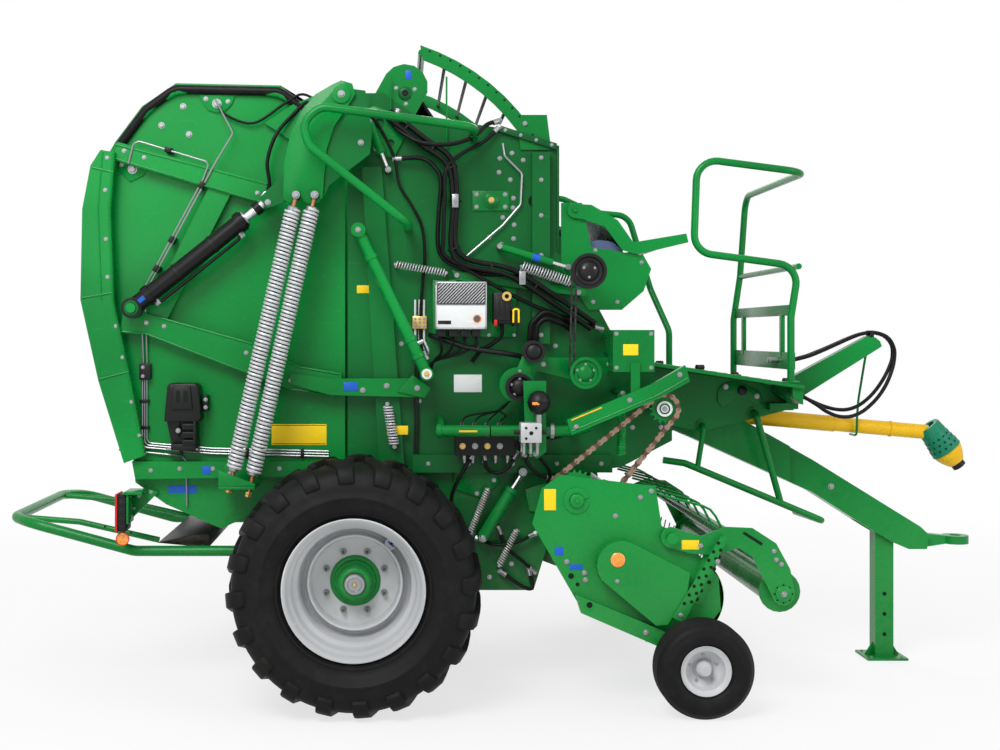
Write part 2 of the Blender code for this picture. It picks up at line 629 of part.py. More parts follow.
def main_wheel(name, side):
    """A lugged tyre, and the rim with its disc and hub."""
    place("tyre_" + name, lugged_tyre(side), "wheel_" + name, "tyre_rubber")
    out = side
    rim_profile = [(out * 0.120, 0.0), (out * 0.110, 0.048), (out * 0.030, 0.060), (out * 0.015, HUB_RADIUS),
                   (out * -0.085, HUB_RADIUS + 0.030), (out * -0.085, 0.190),
                   (out * 0.010, BEAD_RADIUS - 0.048), (out * 0.180, BEAD_RADIUS - 0.010),
                   (out * 0.225, RIM_RADIUS - 0.008),
                   (out * 0.225, RIM_RADIUS), (out * 0.187, BEAD_RADIUS - FIT),
                   (out * -0.187, BEAD_RADIUS - FIT),
                   (out * -0.215, RIM_RADIUS), (out * -0.100, 0.235),
                   (out * -0.100, STUB_RADIUS + 0.025), (out * -0.060, STUB_RADIUS + 0.020),
                   (out * -0.060, 0.0)]
    rim = turned(rim_profile, 0, side * WHEEL_Y, AXLE_Z, WHEEL_SIDES, closed=False)
    place("rim_" + name, rim, "wheel_" + name, "silver_paint")


def gauge_wheel(name, side):
    """A small pickup wheel with its tyre, rim and hub."""
    half = GAUGE_WIDTH / 2
    out = side
    profile = [(out * 0.055, 0.0), (out * 0.050, 0.030), (0.0, 0.045), (out * 0.010, 0.085),
               (out * 0.055, GAUGE_RIM),
               (out * half, GAUGE_RIM + 0.040), (out * half, GAUGE_RADIUS - 0.030),
               (out * 0.045, GAUGE_RADIUS),
               (out * -0.045, GAUGE_RADIUS), (out * -half, GAUGE_RADIUS - 0.030),
               (out * -half, GAUGE_RIM + 0.040),
               (out * -0.055, GAUGE_RIM), (out * -0.035, 0.030), (out * -0.035, 0.0)]
    wheel = turned(profile, GAUGE_X, side * GAUGE_Y, GAUGE_RADIUS, 20, closed=False)
    place("gauge_wheel_" + name, wheel, "gauge_" + name, "tyre_rubber")


def axle_and_rails():
    """The axle beam with its stubs, and the lower rails behind it."""
    beam_half = WHEEL_Y - 0.130
    inner_stub = WHEEL_Y - 0.100 - 0.010
    beam = box((-AXLE_HALF, AXLE_HALF), (-beam_half + 0.02, beam_half - 0.02),
               (AXLE_Z - AXLE_HALF, AXLE_Z + AXLE_HALF))
    stubs = [disc(0, AXLE_Z, *span(side, beam_half - 0.05, WHEEL_Y - 0.060 - FIT), STUB_RADIUS, 16) for _,
             side in SIDES]
    rails = [prism([(0.090, 0.600), (0.090, 0.500), (-0.480, 0.560), (-0.560, 0.580), (-0.560, 0.650),
                    (-0.480, 0.660)],
                   *span(side, RAIL_HALF, RAIL_HALF + RAIL_THICK)) for _, side in SIDES]
    pins = [disc(KICKER_X, KICKER_Z, *span(side, RAIL_HALF + SINK, KICKER_HALF + 0.012), 0.012, 12) for _,
            side in SIDES]
    ties = [box((-0.030, 0.030), span(side, RAIL_HALF + SINK, CHAMBER_HALF - FIT),
                (AXLE_Z - 0.03, AXLE_Z + 0.16))
            for _, side in SIDES]
    place("axle", fuse(beam, *stubs, *rails, *pins, *ties), "chassis", "dark_green")


def kicker():
    """The tube frame that pushes the bale clear, on two pins behind the axle."""
    y, z = KICKER_HALF, KICKER_Z
    route = [(KICKER_X - 0.02, -y, z), (-1.020, -y, z), (-1.500, -y, z + 0.130),
             (KICKER_REAR + KICKER_TUBE, -y + 0.12, z + 0.140),
             (KICKER_REAR + KICKER_TUBE, y - 0.12, z + 0.140), (-1.500, y, z + 0.130), (-1.020, y, z),
             (KICKER_X - 0.02, y, z)]
    bar = tube(route, KICKER_TUBE, corner=0.14)
    cross = tube([(-0.720, -y, z), (-0.720, y, z)], 0.016)
    lugs = [cut(prism(arc(KICKER_X, z, 0.030, -90, 90, 6) + arc(KICKER_X - 0.06, z, 0.018, 90, 270, 4),
                      *span(side, y - 0.008, y + 0.008)),
                disc(KICKER_X, z, *span(side, y - 0.05, y + 0.05), 0.012 + PIN_PLAY, 12)) for _,
                side in SIDES]
    ramp = prism([(-0.930, z + 0.022), (-0.760, z + 0.060), (-0.690, z + 0.060), (-0.690, z + 0.004),
                  (-0.740, z + 0.004)],
                 -y + 0.10, y - 0.10)
    place("bale_kicker", fuse(bar, cross, ramp, *lugs), "kicker", "green_paint")


def pickup_side(name, side):
    """A pickup side plate with its gauge wheel arm and the wind guard's perforated strap."""
    plate = prism([(0.760, 0.790), (0.800, 0.940), (0.880, 1.000), (1.290, 0.950), (1.316, 0.780),
                   (1.400, 0.745),
                   (1.560, 0.560), (1.570, 0.420), (1.470, 0.300), (1.200, 0.340), (1.020, 0.450),
                   (0.950, 0.460)],
                  *span(side, PICKUP_Y, PICKUP_Y + WALL))
    hole = disc(PICKUP_X, PICKUP_Z, *span(side, PICKUP_Y - 0.02, PICKUP_Y + 0.03), PICKUP_PIN + PIN_PLAY, 16)
    arm = prism([(0.940, 0.495), (0.965, 0.415), (1.300, 0.270), (1.430, 0.165), (1.510, 0.165),
                 (1.510, 0.240),
                 (1.290, 0.350)], *span(side, PICKUP_Y + WALL - SINK, PICKUP_Y + 0.055))
    stub = disc(GAUGE_X, GAUGE_RADIUS, *span(side, PICKUP_Y + 0.04, GAUGE_Y - 0.035 - FIT), 0.020, 12)
    strap = prism([(1.510, 0.700), (1.580, 0.700), (1.490, 0.440), (1.420, 0.460)],
                  *span(side, PICKUP_Y + WALL - SINK, PICKUP_Y + WALL + 0.006))
    guard_pin = disc(GUARD_X, GUARD_Z, *span(side, PICKUP_Y + SINK, GUARD_Y + PLATE + 0.006), GUARD_PIN, 12)
    rib = [cut(plate, hole), arm, stub, strap, guard_pin]
    place("pickup_side_" + name, fuse(*rib), "pickup", "green_paint")


def pickup_bands():
    """The stripper bands round the reel, on the two beams that join the pickup sides."""
    half = PICKUP_Y - FIT
    beams = group(disc(1.080, 0.440, -half, half, 0.045, 12), disc(1.180, 0.850, -half, half, 0.035, 12))
    path = [(1.080, 0.425)] + arc(REEL_X, REEL_Z, BAND_RADIUS, 235, 450, 6)
    path += [(1.300, 0.730), (1.180, 0.840)]
    pitch = 2 * REEL_HALF / TINE_COUNT
    width = pitch - BAND_SLOT
    bands = [strip(path, 0.006, y - width / 2, y + width / 2)
             for y in (-REEL_HALF + pitch * i for i in range(1, TINE_COUNT))]
    place("stripper_bands", fuse(beams, group(*bands)), "pickup", "green_paint")


def pickup_cover():
    """The rounded cover over the pickup drive on the right."""
    near, far = PICKUP_Y + WALL + FIT, PICKUP_Y + 0.075
    shape = prism(arc(1.135, 0.620, 0.105, 215, 70, 8) + [(1.425, 0.590), (1.412, 0.500), (1.330, 0.370),
                                                          (1.280, 0.366)],
                  *span(-1, near, far))
    arm = prism([(0.900, 0.520), (0.900, 0.360), (1.300, 0.200), (1.560, 0.120), (1.560, 0.260),
                 (1.290, 0.362)],
                *span(-1, near - 0.01, PICKUP_Y + 0.0565))
    place("pickup_drive_cover", cut(shape, arm), "pickup", "green_paint")


def reel():
    """The pickup reel: a shaft with two end discs and four combs of tines."""
    shaft = disc(REEL_X, REEL_Z, -PICKUP_Y + FIT, PICKUP_Y - FIT, 0.030, 12)
    discs = group(*[disc(REEL_X, REEL_Z, y - 0.005, y + 0.005, REEL_BAR + 0.02, 16)
                    for y in (-REEL_HALF - 0.025, 0.0, REEL_HALF + 0.025)])
    pitch = 2 * REEL_HALF / TINE_COUNT
    combs = []
    for turn in range(4):
        bm = bmesh.new()
        edge = [(-REEL_HALF - 0.028, REEL_BAR - 0.02), (-REEL_HALF - 0.028, REEL_BAR + 0.01)]
        for i in range(TINE_COUNT):
            y = -REEL_HALF + pitch * (i + 0.5)
            edge += [(y - TINE_WIDTH / 2, REEL_BAR + 0.01), (y - TINE_WIDTH / 2, REEL_TIP),
                     (y + TINE_WIDTH / 2, REEL_TIP), (y + TINE_WIDTH / 2, REEL_BAR + 0.01)]
        edge += [(REEL_HALF + 0.028, REEL_BAR + 0.01), (REEL_HALF + 0.028, REEL_BAR - 0.02)]
        face = bm.faces.new([bm.verts.new((-0.005, y, r)) for y, r in edge])
        new = bmesh.ops.extrude_face_region(bm, geom=[face])["geom"]
        bmesh.ops.translate(bm, vec=(0.010, 0, 0),
                            verts=[v for v in new if isinstance(v, bmesh.types.BMVert)])
        bmesh.ops.rotate(bm, cent=(0, 0, 0), matrix=Matrix.Rotation(math.radians(40 + 90 * turn), 3, "Y"),
                         verts=bm.verts)
        bmesh.ops.translate(bm, vec=(REEL_X, 0, REEL_Z), verts=bm.verts)
        combs.append(scratch(bm))
    place("pickup_reel", fuse(shaft, discs, group(*combs)), "reel", "worn_steel")


def wind_guard():
    """The curved arms, cross tubes and comb rods in front of the pickup, and the crop roller."""
    arms = []
    for _, side in SIDES:
        outline = arc(GUARD_X, GUARD_Z, 0.045, 90, 270, 6)
        outline += [(1.440, 0.665), (1.540, 0.660), (1.640, 0.690), (1.700, 0.650), (1.745, 0.560)]
        outline += arc(GUARD_ROLLER_X, GUARD_ROLLER_Z, 0.050, 190, 370, 6)
        outline += [(1.860, 0.600), (1.800, 0.710), (1.700, 0.775), (1.580, 0.780), (1.480, 0.740)]
        plate = prism(outline, *span(side, GUARD_Y, GUARD_Y + PLATE))
        hole = disc(GUARD_X, GUARD_Z, *span(side, GUARD_Y - 0.02, GUARD_Y + 0.04), GUARD_PIN + PIN_PLAY, 12)
        pin = disc(GUARD_ROLLER_X, GUARD_ROLLER_Z, *span(side, GUARD_Y - 0.064, GUARD_Y + 0.004), 0.014, 12)
        arms.append(fuse(cut(plate, hole), pin))
    half = GUARD_Y + 0.004
    tubes = group(disc(1.615, 0.735, -half, half, 0.024, 12), disc(1.800, 0.600, -half, half, 0.020, 12))
    rods = group(*[tube([(1.615, y, 0.735), (1.560, y, 0.840), (1.330, y, 0.900)], 0.006, corner=0.04,
                        sides=6, steps=2)
                   for y in (ROD_REACH * (i / 3.5 - 1) for i in range(8))])
    place("wind_guard", fuse(arms[0], tubes, arms[1], rods), "wind_guard", "green_paint")
    y = GUARD_Y - 0.050
    roller = turned([(-y, 0.0), (-y, GUARD_ROLLER), (-y + 0.010, GUARD_ROLLER), (-y + 0.010, 0.070),
                     (y - 0.010, 0.070), (y - 0.010, GUARD_ROLLER), (y, GUARD_ROLLER), (y, 0.0)],
                    GUARD_ROLLER_X, 0, GUARD_ROLLER_Z, 20, closed=False)
    bores = [disc(GUARD_ROLLER_X, GUARD_ROLLER_Z, *span(side, y - 0.020, y + 0.02), 0.014 + PIN_PLAY,
                  12) for _, side in SIDES]
    place("crop_roller", cut(roller, *bores), "crop_roller", "green_paint")


def feed_rotor():
    """The rotor that feeds crop from the pickup into the chamber."""
    y = CHAMBER_HALF - FIT
    shaft = disc(ROTOR_X, ROTOR_Z, -y, y, 0.060, 12)
    stars = []
    for i in range(5):
        middle = (CHAMBER_HALF - 0.055) * (i / 2 - 1)
        points = []
        for k in range(8):
            angle = math.radians(45 * k + 5 * i)
            radius = ROTOR_TIP if k % 2 else 0.075
            points.append((ROTOR_X + radius * math.cos(angle), ROTOR_Z + radius * math.sin(angle)))
        stars.append(prism(points, middle - 0.004, middle + 0.004))
    place("feed_rotor", fuse(shaft, group(*stars)), "rotor", "dark_green")


def front_frame():
    """The cross beam in front of the chamber and the arms that carry the drawbar and deck."""
    y = CHAMBER_HALF - FIT
    beam = box((1.200, 1.340), (-y, y), (1.200, 1.380))
    top = [(x, deck_line(x, 0.018) - FIT) for x in (1.2505, 2.055)]
    outline = [top[0], (1.2505, 1.180), (1.520, 1.160), (1.640, 1.130), (1.720, 1.150), (2.055, 1.235),
               top[1]]
    arms = [fuse(prism(outline, *span(side, ARM_Y, ARM_Y + PLATE)),
                 disc(1.679, 1.205, *span(side, DRAWBAR_HALF + FIT, ARM_Y + SINK), 0.035, 14)) for _,
                 side in SIDES]
    place("front_frame", fuse(beam, *arms), "chassis", "green_paint")


def drawbar():
    """The tapered beam from the front frame down to the hitch, open on top for the drive shaft."""
    side_view = [(1.340 + FIT, 1.310), (1.340 + FIT, 1.205), (1.515, 1.145), (2.226, 0.825),
                 (EYE_X - 0.455, 0.650),
                 (EYE_X - 0.342, 0.583), (EYE_X - 0.255, 0.545), (EYE_X - 0.165, 0.545),
                 (EYE_X - 0.155, 0.615),
                 (EYE_X - 0.196, 0.655), (2.226, 0.985), (1.795, 1.227), (1.600, 1.300)]
    body = prism(side_view, -DRAWBAR_HALF, DRAWBAR_HALF)
    channel = box((1.300, 2.300), (-CHANNEL_HALF, CHANNEL_HALF), (1.105, 1.500))
    taper = [prism([(2.100, 1.500), (EYE_X + 0.045, 1.500), (EYE_X + 0.045, 0.300), (2.100, 0.300)],
                   *span(side, 0.075, DRAWBAR_HALF + 0.020)) for _, side in SIDES]
    slot = box((STAND_X - 0.190, STAND_X + 0.090), (-STAND_HALF - 0.006, STAND_HALF + 0.006),
               (0.450, STAND_Z + 0.075))
    mouth = box((EYE_X - 0.255, EYE_X - 0.055), (-0.031, 0.031), (0.450, 0.750))
    pin = disc(STAND_X, STAND_Z, -0.070, 0.070, 0.014, 12)
    place("drawbar", fuse(cut(body, channel, *taper, slot, mouth), pin), "chassis", "green_paint")


def hitch_eye():
    """The forged eye at the front of the drawbar."""
    rear = EYE_X - 0.255 + FIT
    shank = prism([(rear, 0.560), (rear, 0.610), (EYE_X - 0.155, 0.615), (EYE_X - 0.055, 0.605),
                   (EYE_X - 0.055, 0.565), (EYE_X - 0.155, 0.550)], -0.030, 0.030)
    ring = rod((EYE_X, 0, EYE_Z - 0.020), (EYE_X, 0, EYE_Z + 0.020), EYE_RADIUS, 24)
    hole = rod((EYE_X, 0, EYE_Z - 0.040), (EYE_X, 0, EYE_Z + 0.040), EYE_HOLE, 20)
    place("hitch_eye", cut(fuse(shank, ring), hole), "chassis", "green_paint")


def stand():
    """The parking stand, swung down on its pin under the drawbar."""
    leg = box((STAND_X - STAND_HALF, STAND_X + STAND_HALF), (-STAND_HALF, STAND_HALF),
              (0.006, STAND_Z + 0.040))
    foot = box((STAND_X - STAND_FOOT, STAND_X + STAND_FOOT), (-STAND_FOOT, STAND_FOOT), (0.0, 0.012))
    hole = disc(STAND_X, STAND_Z, -0.1, 0.1, 0.014 + PIN_PLAY, 12)
    place("stand", cut(fuse(leg, foot), hole), "stand", "green_paint")


def gearbox():
    """The gearbox between the drawbar's cheeks, with the input that carries the drive shaft."""
    y = CHANNEL_HALF - FIT
    case = box((1.340 + FIT, 1.620), (-y, y), (1.130, 1.330))
    nose = rod((1.610, 0, SHAFT_Z + 0.012), (SHAFT_X - 0.065, 0, SHAFT_Z + 0.004), 0.060, 16,
               end_radius=0.045)
    neck = rod((SHAFT_X - 0.080, 0, SHAFT_Z), (SHAFT_X, 0, SHAFT_Z), 0.010, 10)
    bm = bmesh.new()
    bmesh.ops.create_uvsphere(bm, u_segments=14, v_segments=8, radius=JOINT_BALL)
    bmesh.ops.translate(bm, vec=(SHAFT_X, 0, SHAFT_Z), verts=bm.verts)
    place("gearbox", fuse(case, nose, neck, scratch(bm)), "chassis", "dark_green")


def drive_shaft():
    """The guarded drive shaft, resting in its hook, with its end guards."""
    start = Vector((SHAFT_X, 0, SHAFT_Z))
    along = Vector((math.cos(SHAFT_DROP), 0, -math.sin(SHAFT_DROP)))
    end = start + along * SHAFT_LENGTH
    hang = Vector((0.62, 0, -0.78)).normalized()
    bell = end + along * 0.020
    shape = fuse(
        rod(start + along * 0.01, end, SHAFT_RADIUS, 16),
        rod(start - along * 0.035, start + along * 0.10, 0.055, 16, end_radius=0.050),
        rod(bell - hang * 0.045, bell + hang * 0.110, 0.060, 16, end_radius=0.078),
        rod(bell + hang * 0.100, bell + hang * 0.190, 0.074, 16, end_radius=0.040),
        rod(bell + hang * 0.180, bell + hang * 0.215, 0.034, 16))
    socket = rod(start - along * 0.060, start + along * (JOINT_BALL + FIT), 0.028, 16)
    place("drive_shaft", cut(shape, socket), "drive_shaft", "yellow_plastic")


def deck_line(x, drop=0.0):
    """The height of the deck's top at x, less a drop."""
    (x0, z0), (x1, z1) = DECK_REAR, DECK_FRONT
    return z0 + (z1 - z0) * (x - x0) / (x1 - x0) - drop


def platform():
    """The sloping deck above the drawbar."""
    outline = [(DECK_REAR[0], deck_line(DECK_REAR[0])), (DECK_FRONT[0], deck_line(DECK_FRONT[0])),
               (DECK_FRONT[0], deck_line(DECK_FRONT[0], 0.018)),
               (DECK_REAR[0], deck_line(DECK_REAR[0], 0.018))]
    deck = prism(outline, -DECK_HALF, DECK_HALF)
    lip = [prism([(1.990, deck_line(1.99, 0.010)), (2.040, deck_line(2.04, 0.010)),
                  (2.040, deck_line(2.04, 0.090)),
                  (1.990, deck_line(1.99, 0.060))],
                  *span(side, ARM_Y + PLATE + 0.004, DECK_HALF - 0.02)) for _, side in SIDES]
    place("platform", fuse(deck, *lip), "chassis", "green_paint")


def railing():
    """The hand rails at the front of the deck and the one up to the net box on the left."""
    y = RAILING_Y
    foot = deck_line(1.985 - TUBE) + FIT
    top = tube([(1.985, y, foot), (1.985, y, foot + 0.3), (2.020, y, 1.915), (2.050, y, 2.343),
                (2.050, -y, 2.345), (1.555, -y, 2.410),
                (1.540, -y, 1.980), (2.022, -y, 1.915), (1.985, -y, foot + 0.3), (1.985, -y, foot)], TUBE,
                corner=0.09)
    rails = group(tube([(2.022, -y, 1.915), (2.022, y, 1.912)], TUBE - 0.003),
                  box((1.990, 2.014), (-y, y), (1.690, 1.740)),
                  box((1.984, 2.004), (-y, y), (1.440, 1.520)),)
    posts = group(*[box((1.986, 2.004), (yy - 0.02, yy + 0.02), (1.500, 1.700)) for yy in (-0.38, 0.38)])
    place("railing", fuse(top, rails, posts), "chassis", "green_paint")
    out, inner = RIB_Y + 0.025, DECK_HALF - 0.025
    left = tube([(0.840, RIB_Y - 0.010 + FIT, 2.346), (0.840, out, 2.346), (1.080, out, 2.346),
                 (1.240, out - 0.006, 2.270), (1.440, out - 0.010, 2.250), (1.560, out - 0.016, 1.850),
                 (1.640, inner, 1.620), (1.640, inner, deck_line(1.640 - TUBE) + FIT)], TUBE, corner=0.09)
    place("hand_rail_left", left, "chassis", "green_paint")


def side_rail():
    """The bent rail that guards the hoses high on the right."""
    y = -RAIL_Y
    inner = -(WALL_OUT + FIT)
    route = [(0.520, inner, 2.500), (0.520, y, 2.500), (-0.150, y, 2.590), (-0.235, y, 2.520),
             (-0.200, y, 2.420),
             (0.230, y, 2.080), (0.230, inner, 2.080)]
    place("side_rail", tube(route, 0.019, corner=0.08), "chassis", "green_paint")


def belt_guard():
    """The curved grille over the belts: two arc plates with cross bars."""
    centre, outer, inner = (-0.020, 1.980), 0.985, 0.925
    bars, plates = [], []
    for _, side in SIDES:
        outline = arc(*centre, outer, 30, 72, 8) + arc(*centre, inner, 70, 32, 8)
        foot = [(0.720, 2.600), (0.860, 2.600), (0.880, 2.440), (0.740, 2.440)]
        y = span(side, WALL_OUT + FIT, WALL_OUT + 0.010)
        plates.append(fuse(prism(outline, *y), prism(foot, *y)))
    for angle in (71, 64, 57, 50, 43, 36):
        radius = 0.016 if angle == 71 else 0.007
        (x, z), = arc(*centre, (outer + inner) / 2, angle, angle, 1)[:1]
        bars.append(disc(x, z, -WALL_OUT - 0.006, WALL_OUT + 0.006, radius, 8))
    place("belt_guard", fuse(plates[0], group(*bars), plates[1]), "chassis", "green_paint")


def top_roller():
    """The roller that the belts pass over, on two rounded brackets."""
    y = CHAMBER_HALF - 0.012
    outline = [(-0.010, 2.560), (0.080, 2.700), (0.130, 2.790)]
    outline += arc(0.216, 2.730, 0.105, 120, -40, 6) + [(0.240, 2.560)]
    brackets = [prism(outline, *span(side, CHAMBER_HALF - 0.012, CHAMBER_HALF - FIT)) for _, side in SIDES]
    roller = disc(0.216, 2.730, -y - SINK, y + SINK, 0.060, 20)
    place("top_roller", fuse(brackets[0], roller, brackets[1]), "chassis", "green_paint")


def net_unit():
    """The net wrap box, its roll and its lid."""
    sides = []
    for _, side in SIDES:
        plate = prism([(0.925, 2.200), (1.020, 2.200), (1.060, 2.000), (1.300, 1.960), (1.334, 1.900),
                       (1.300, 1.800), (1.200, 1.714),
                       (1.050, 1.714), (0.925, 1.900)], *span(side, WALL_OUT + FIT, WALL_OUT + 0.008))
        pin = disc(LID_X, LID_Z, *span(side, WALL_OUT + 0.004, WALL_OUT + 0.034), LID_PIN, 12)
        sides.append(fuse(plate, pin))
    floor = TROUGH_Z - 0.004
    front = [(1.120, floor), (1.190, floor), (1.270, 1.830), (1.305, 1.905)]
    y = CHAMBER_HALF - FIT
    trough = fuse(strip(front, 0.008, -WALL_OUT - 0.004, WALL_OUT + 0.004),
                  strip([(1.010, floor), (1.150, floor)], 0.0079, -y, y))
    place("net_box", fuse(sides[0], trough, sides[1]), "chassis", "green_paint")
    half = CHAMBER_HALF - 0.030
    place("net_roll", disc(NET_X, TROUGH_Z + NET_RADIUS + FIT, -half, half, NET_RADIUS, 24), "chassis",
          "net_wrap")
    arms = []
    for _, side in SIDES:
        outline = arc(LID_X, LID_Z, 0.035, 260, 120, 5)
        outline += [(1.060, 2.190), (1.180, 2.120), (1.250, 2.020), (1.490, 2.060), (1.500, 2.020)]
        outline += [(1.270, 1.965), (1.200, 1.985), (1.120, 2.090), (1.020, 2.125)]
        plate = prism(outline, *span(side, WALL_OUT + 0.016, WALL_OUT + 0.026))
        hole = disc(LID_X, LID_Z, *span(side, WALL_OUT, WALL_OUT + 0.05), LID_PIN + PIN_PLAY, 12)
        arms.append(cut(plate, hole))
    y = WALL_OUT + 0.018
    bar = disc(1.470, 2.036, -y, y, 0.013, 10)
    sheet = strip([(1.040, 2.160), (1.120, 2.110), (1.205, 2.020), (1.225, 1.990)], 0.006, -y, y)
    place("net_lid", fuse(arms[0], bar, sheet, arms[1]), "net_lid", "green_paint")


def hose_arm():
    """The arm that holds the hoses up in front, with the hook for the drive shaft."""
    y = -0.250
    arm = prism([(2.0425, 1.300), (2.110, 1.300), (2.500, 1.545), (2.492, 1.570), (2.470, 1.588),
                 (2.430, 1.594), (2.0425, 1.385)], y - 0.030, y + 0.030)
    foot = box((1.960, 2.075), (y - 0.040, -ARM_Y - PLATE - FIT), (1.240, 1.275))
    wire, x = 0.006, 2.450
    rest = SHAFT_Z - (x - SHAFT_X) * math.tan(SHAFT_DROP) - SHAFT_RADIUS / math.cos(SHAFT_DROP) - wire - FIT
    hook = tube([(x, y + 0.020, 1.560), (x, y + 0.060, 1.500), (x, -0.078, 1.280), (x, -0.056, 1.180),
                 (x, -0.056, rest), (x, 0.056, rest)],
                wire, corner=0.03)
    neck = box((2.0425, 2.100), (y - 0.030, y + 0.030), (1.245, 1.340))
    place("hose_arm", fuse(arm, neck, foot, hook), "chassis", "green_paint")


def step_rail():
    """The bent bar beside the drawbar, on two struts."""
    y = -0.260
    face = -ARM_Y - PLATE - FIT
    bar = tube([(1.456, y, 1.000), (1.560, y, 0.985), (2.230, y, 0.705), (2.240, 0.290, 0.685)], 0.016,
               corner=0.07)
    struts = group(tube([(1.620, y, 0.960), (1.650, y - 0.010, 1.165), (1.650, face, 1.165)], 0.013,
                        corner=0.03),
                   tube([(2.020, y, 0.793), (1.900, y, 1.225), (1.900, face, 1.225)], 0.016, corner=0.03))
    place("step_rail", fuse(bar, struts), "chassis", "green_paint")


def sprocket_chain():
    """The chain from the gearbox's sprocket down to the rotor's, with both sprockets."""
    y = span(-1, CHAIN_Y, CHAIN_Y + 0.025)
    upper, lower, r_up, r_low = Vector((1.340, 1.280)), Vector((PICKUP_X, PICKUP_Z)), 0.058, 0.118
    along = (upper - lower).normalized()
    angle = math.degrees(math.atan2(along.y, along.x))

    def round_both(out):
        return (arc(upper.x, upper.y, r_up + out, angle + 90, angle - 90, 8)
                + arc(lower.x, lower.y, r_low + out, angle - 90, angle - 270, 10))

    chain = cut(prism(round_both(0.012), *y),
                prism(round_both(-0.006), *span(-1, CHAIN_Y - 0.1, CHAIN_Y + 0.1)))
    wheels = group(disc(upper.x, upper.y, *span(-1, CHAIN_Y + 0.005, CHAIN_Y + 0.020), r_up, 20),
                   disc(lower.x, lower.y, *span(-1, CHAIN_Y - 0.005, CHAIN_Y + 0.020), r_low, 24))
    shaft = disc(upper.x, upper.y, *span(-1, WALL_OUT + FIT, CHAIN_Y + 0.035), 0.024, 12)
    hole = disc(lower.x, lower.y, *span(-1, CHAIN_Y - 0.025, CHAIN_Y + 0.045), PICKUP_PIN + FIT, 16)
    place("chain_drive", cut(fuse(chain, wheels, shaft), hole), "chassis", "worn_steel")


def net_drive():
    """The belt pulleys of the net wrap drive on their bearer."""
    bearer = prism([(0.690, 1.340), (0.690, 1.400), (0.760, 1.560), (0.820, 1.560), (0.840, 1.500),
                    (1.160, 1.500), (1.160, 1.440), (0.960, 1.400), (0.800, 1.440), (0.760, 1.340)],
                   *span(-1, WALL_OUT + 0.145, WALL_OUT + 0.155))
    # x, z, radius and step inwards of each pulley, the top one last
    table = ((1.005, 1.434, 0.070, 0.0), (0.781, 1.526, 0.050, 0.030), (0.722, 1.369, 0.070, 0.060))
    pulleys = group(*[disc(x, z, *span(-1, PULLEY_Y - 0.018 - step, PULLEY_Y + 0.018 - step), r, 16)
                      for x, z, r, step in table])
    shafts = group(*[disc(x, z, *span(-1, WALL_OUT + FIT, PULLEY_Y + 0.021), 0.016, 10)
                     for x, z, *_ in table])
    top = fuse(disc(1.020, 1.880, *span(-1, PULLEY_Y - 0.018, PULLEY_Y + 0.018), 0.080, 20),
               disc(1.020, 1.880, *span(-1, WALL_OUT + 0.008 + FIT, PULLEY_Y + 0.025), 0.016, 10))
    belt = prism([(0.948, 1.880), (0.935, 1.440), (0.955, 1.430), (0.966, 1.880)],
                 *span(-1, PULLEY_Y - 0.012, PULLEY_Y + 0.012))
    place("net_drive", fuse(bearer, shafts, pulleys, top, belt), "chassis", "black_paint")


def shields():
    """The sheet covers over the drive on the right."""
    near, far = CHAIN_Y - 0.125, CHAIN_Y + 0.035
    cover = box((1.115, 1.295), span(-1, near, far), (1.440, 1.622))
    hollow = box((1.123, 1.287), span(-1, near - 0.080, far - 0.008), (1.430, 1.614))
    legs = box((1.117, 1.125), span(-1, WALL_OUT + FIT, near + 0.020), (1.520, 1.600))
    hanger = box((1.190, 1.230), span(-1, far - 0.005, far + 0.015), (1.330, 1.480))
    drive_box = fuse(cut(cover, hollow), legs, hanger)
    y = -(PULLEY_Y + 0.005)
    arm = tube([(0.590, y, 1.180), (0.760, y, 1.180), (0.960, y, 1.180), (1.020, y + 0.002, 1.205)], 0.026,
               corner=0.05, sides=8)
    channel = prism([(0.930, 1.170), (0.910, 1.235), (1.280, 1.390), (1.420, 1.470), (1.440, 1.400),
                     (1.290, 1.320)], *span(-1, far + 0.010, far + 0.045))
    post = prism([(0.730, 1.400), (0.830, 1.400), (0.830, 1.090), (0.790, 1.060), (0.740, 1.090)],
                 *span(-1, PULLEY_Y + 0.0255, PULLEY_Y + 0.037))
    leg = group(disc(0.640, 1.180, *span(-1, WALL_OUT + FIT, PULLEY_Y + 0.005), 0.020, 10),
                disc(0.950, 1.200, *span(-1, WALL_OUT + FIT, far + 0.020), 0.016, 10))
    place("drive_guard", fuse(arm, channel, post, leg, drive_box), "chassis", "green_paint")


def electrics():
    """The ribbed control box and the valve block below it."""
    plate = box((0.340, 0.720), span(-1, WALL_OUT + FIT, WALL_OUT + 0.030), (1.590, 1.850))
    case = box((0.350, 0.580), span(-1, WALL_OUT + 0.027, WALL_OUT + 0.155), (1.625, 1.838))
    relay = box((0.610, 0.690), span(-1, WALL_OUT + 0.027, WALL_OUT + 0.135), (1.650, 1.790))
    place("control_box", fuse(plate, case, relay), "chassis", "cast_alloy")
    block = box((0.440, 0.700), span(-1, WALL_OUT + FIT, WALL_OUT + 0.175), (1.066, 1.150))
    manifold = box((0.730, 0.820), span(-1, WALL_OUT + FIT, WALL_OUT + 0.195), (1.080, 1.190))
    link = box((0.690, 0.740), span(-1, WALL_OUT + 0.075, WALL_OUT + 0.115), (1.100, 1.130))
    ball_y = -(WALL_OUT + 0.105)
    ball = turned([(-0.036, 0.0), (-0.030, 0.024), (-0.010, 0.038), (0.010, 0.038), (0.030, 0.024),
                   (0.036, 0.0)],
                  0.806, ball_y, 1.290, 14, closed=False)
    neck = rod((0.796, ball_y, 1.180), (0.802, ball_y, 1.270), 0.014, 10)
    place("valve_block", fuse(block, manifold, link, neck, ball), "chassis", "black_paint")


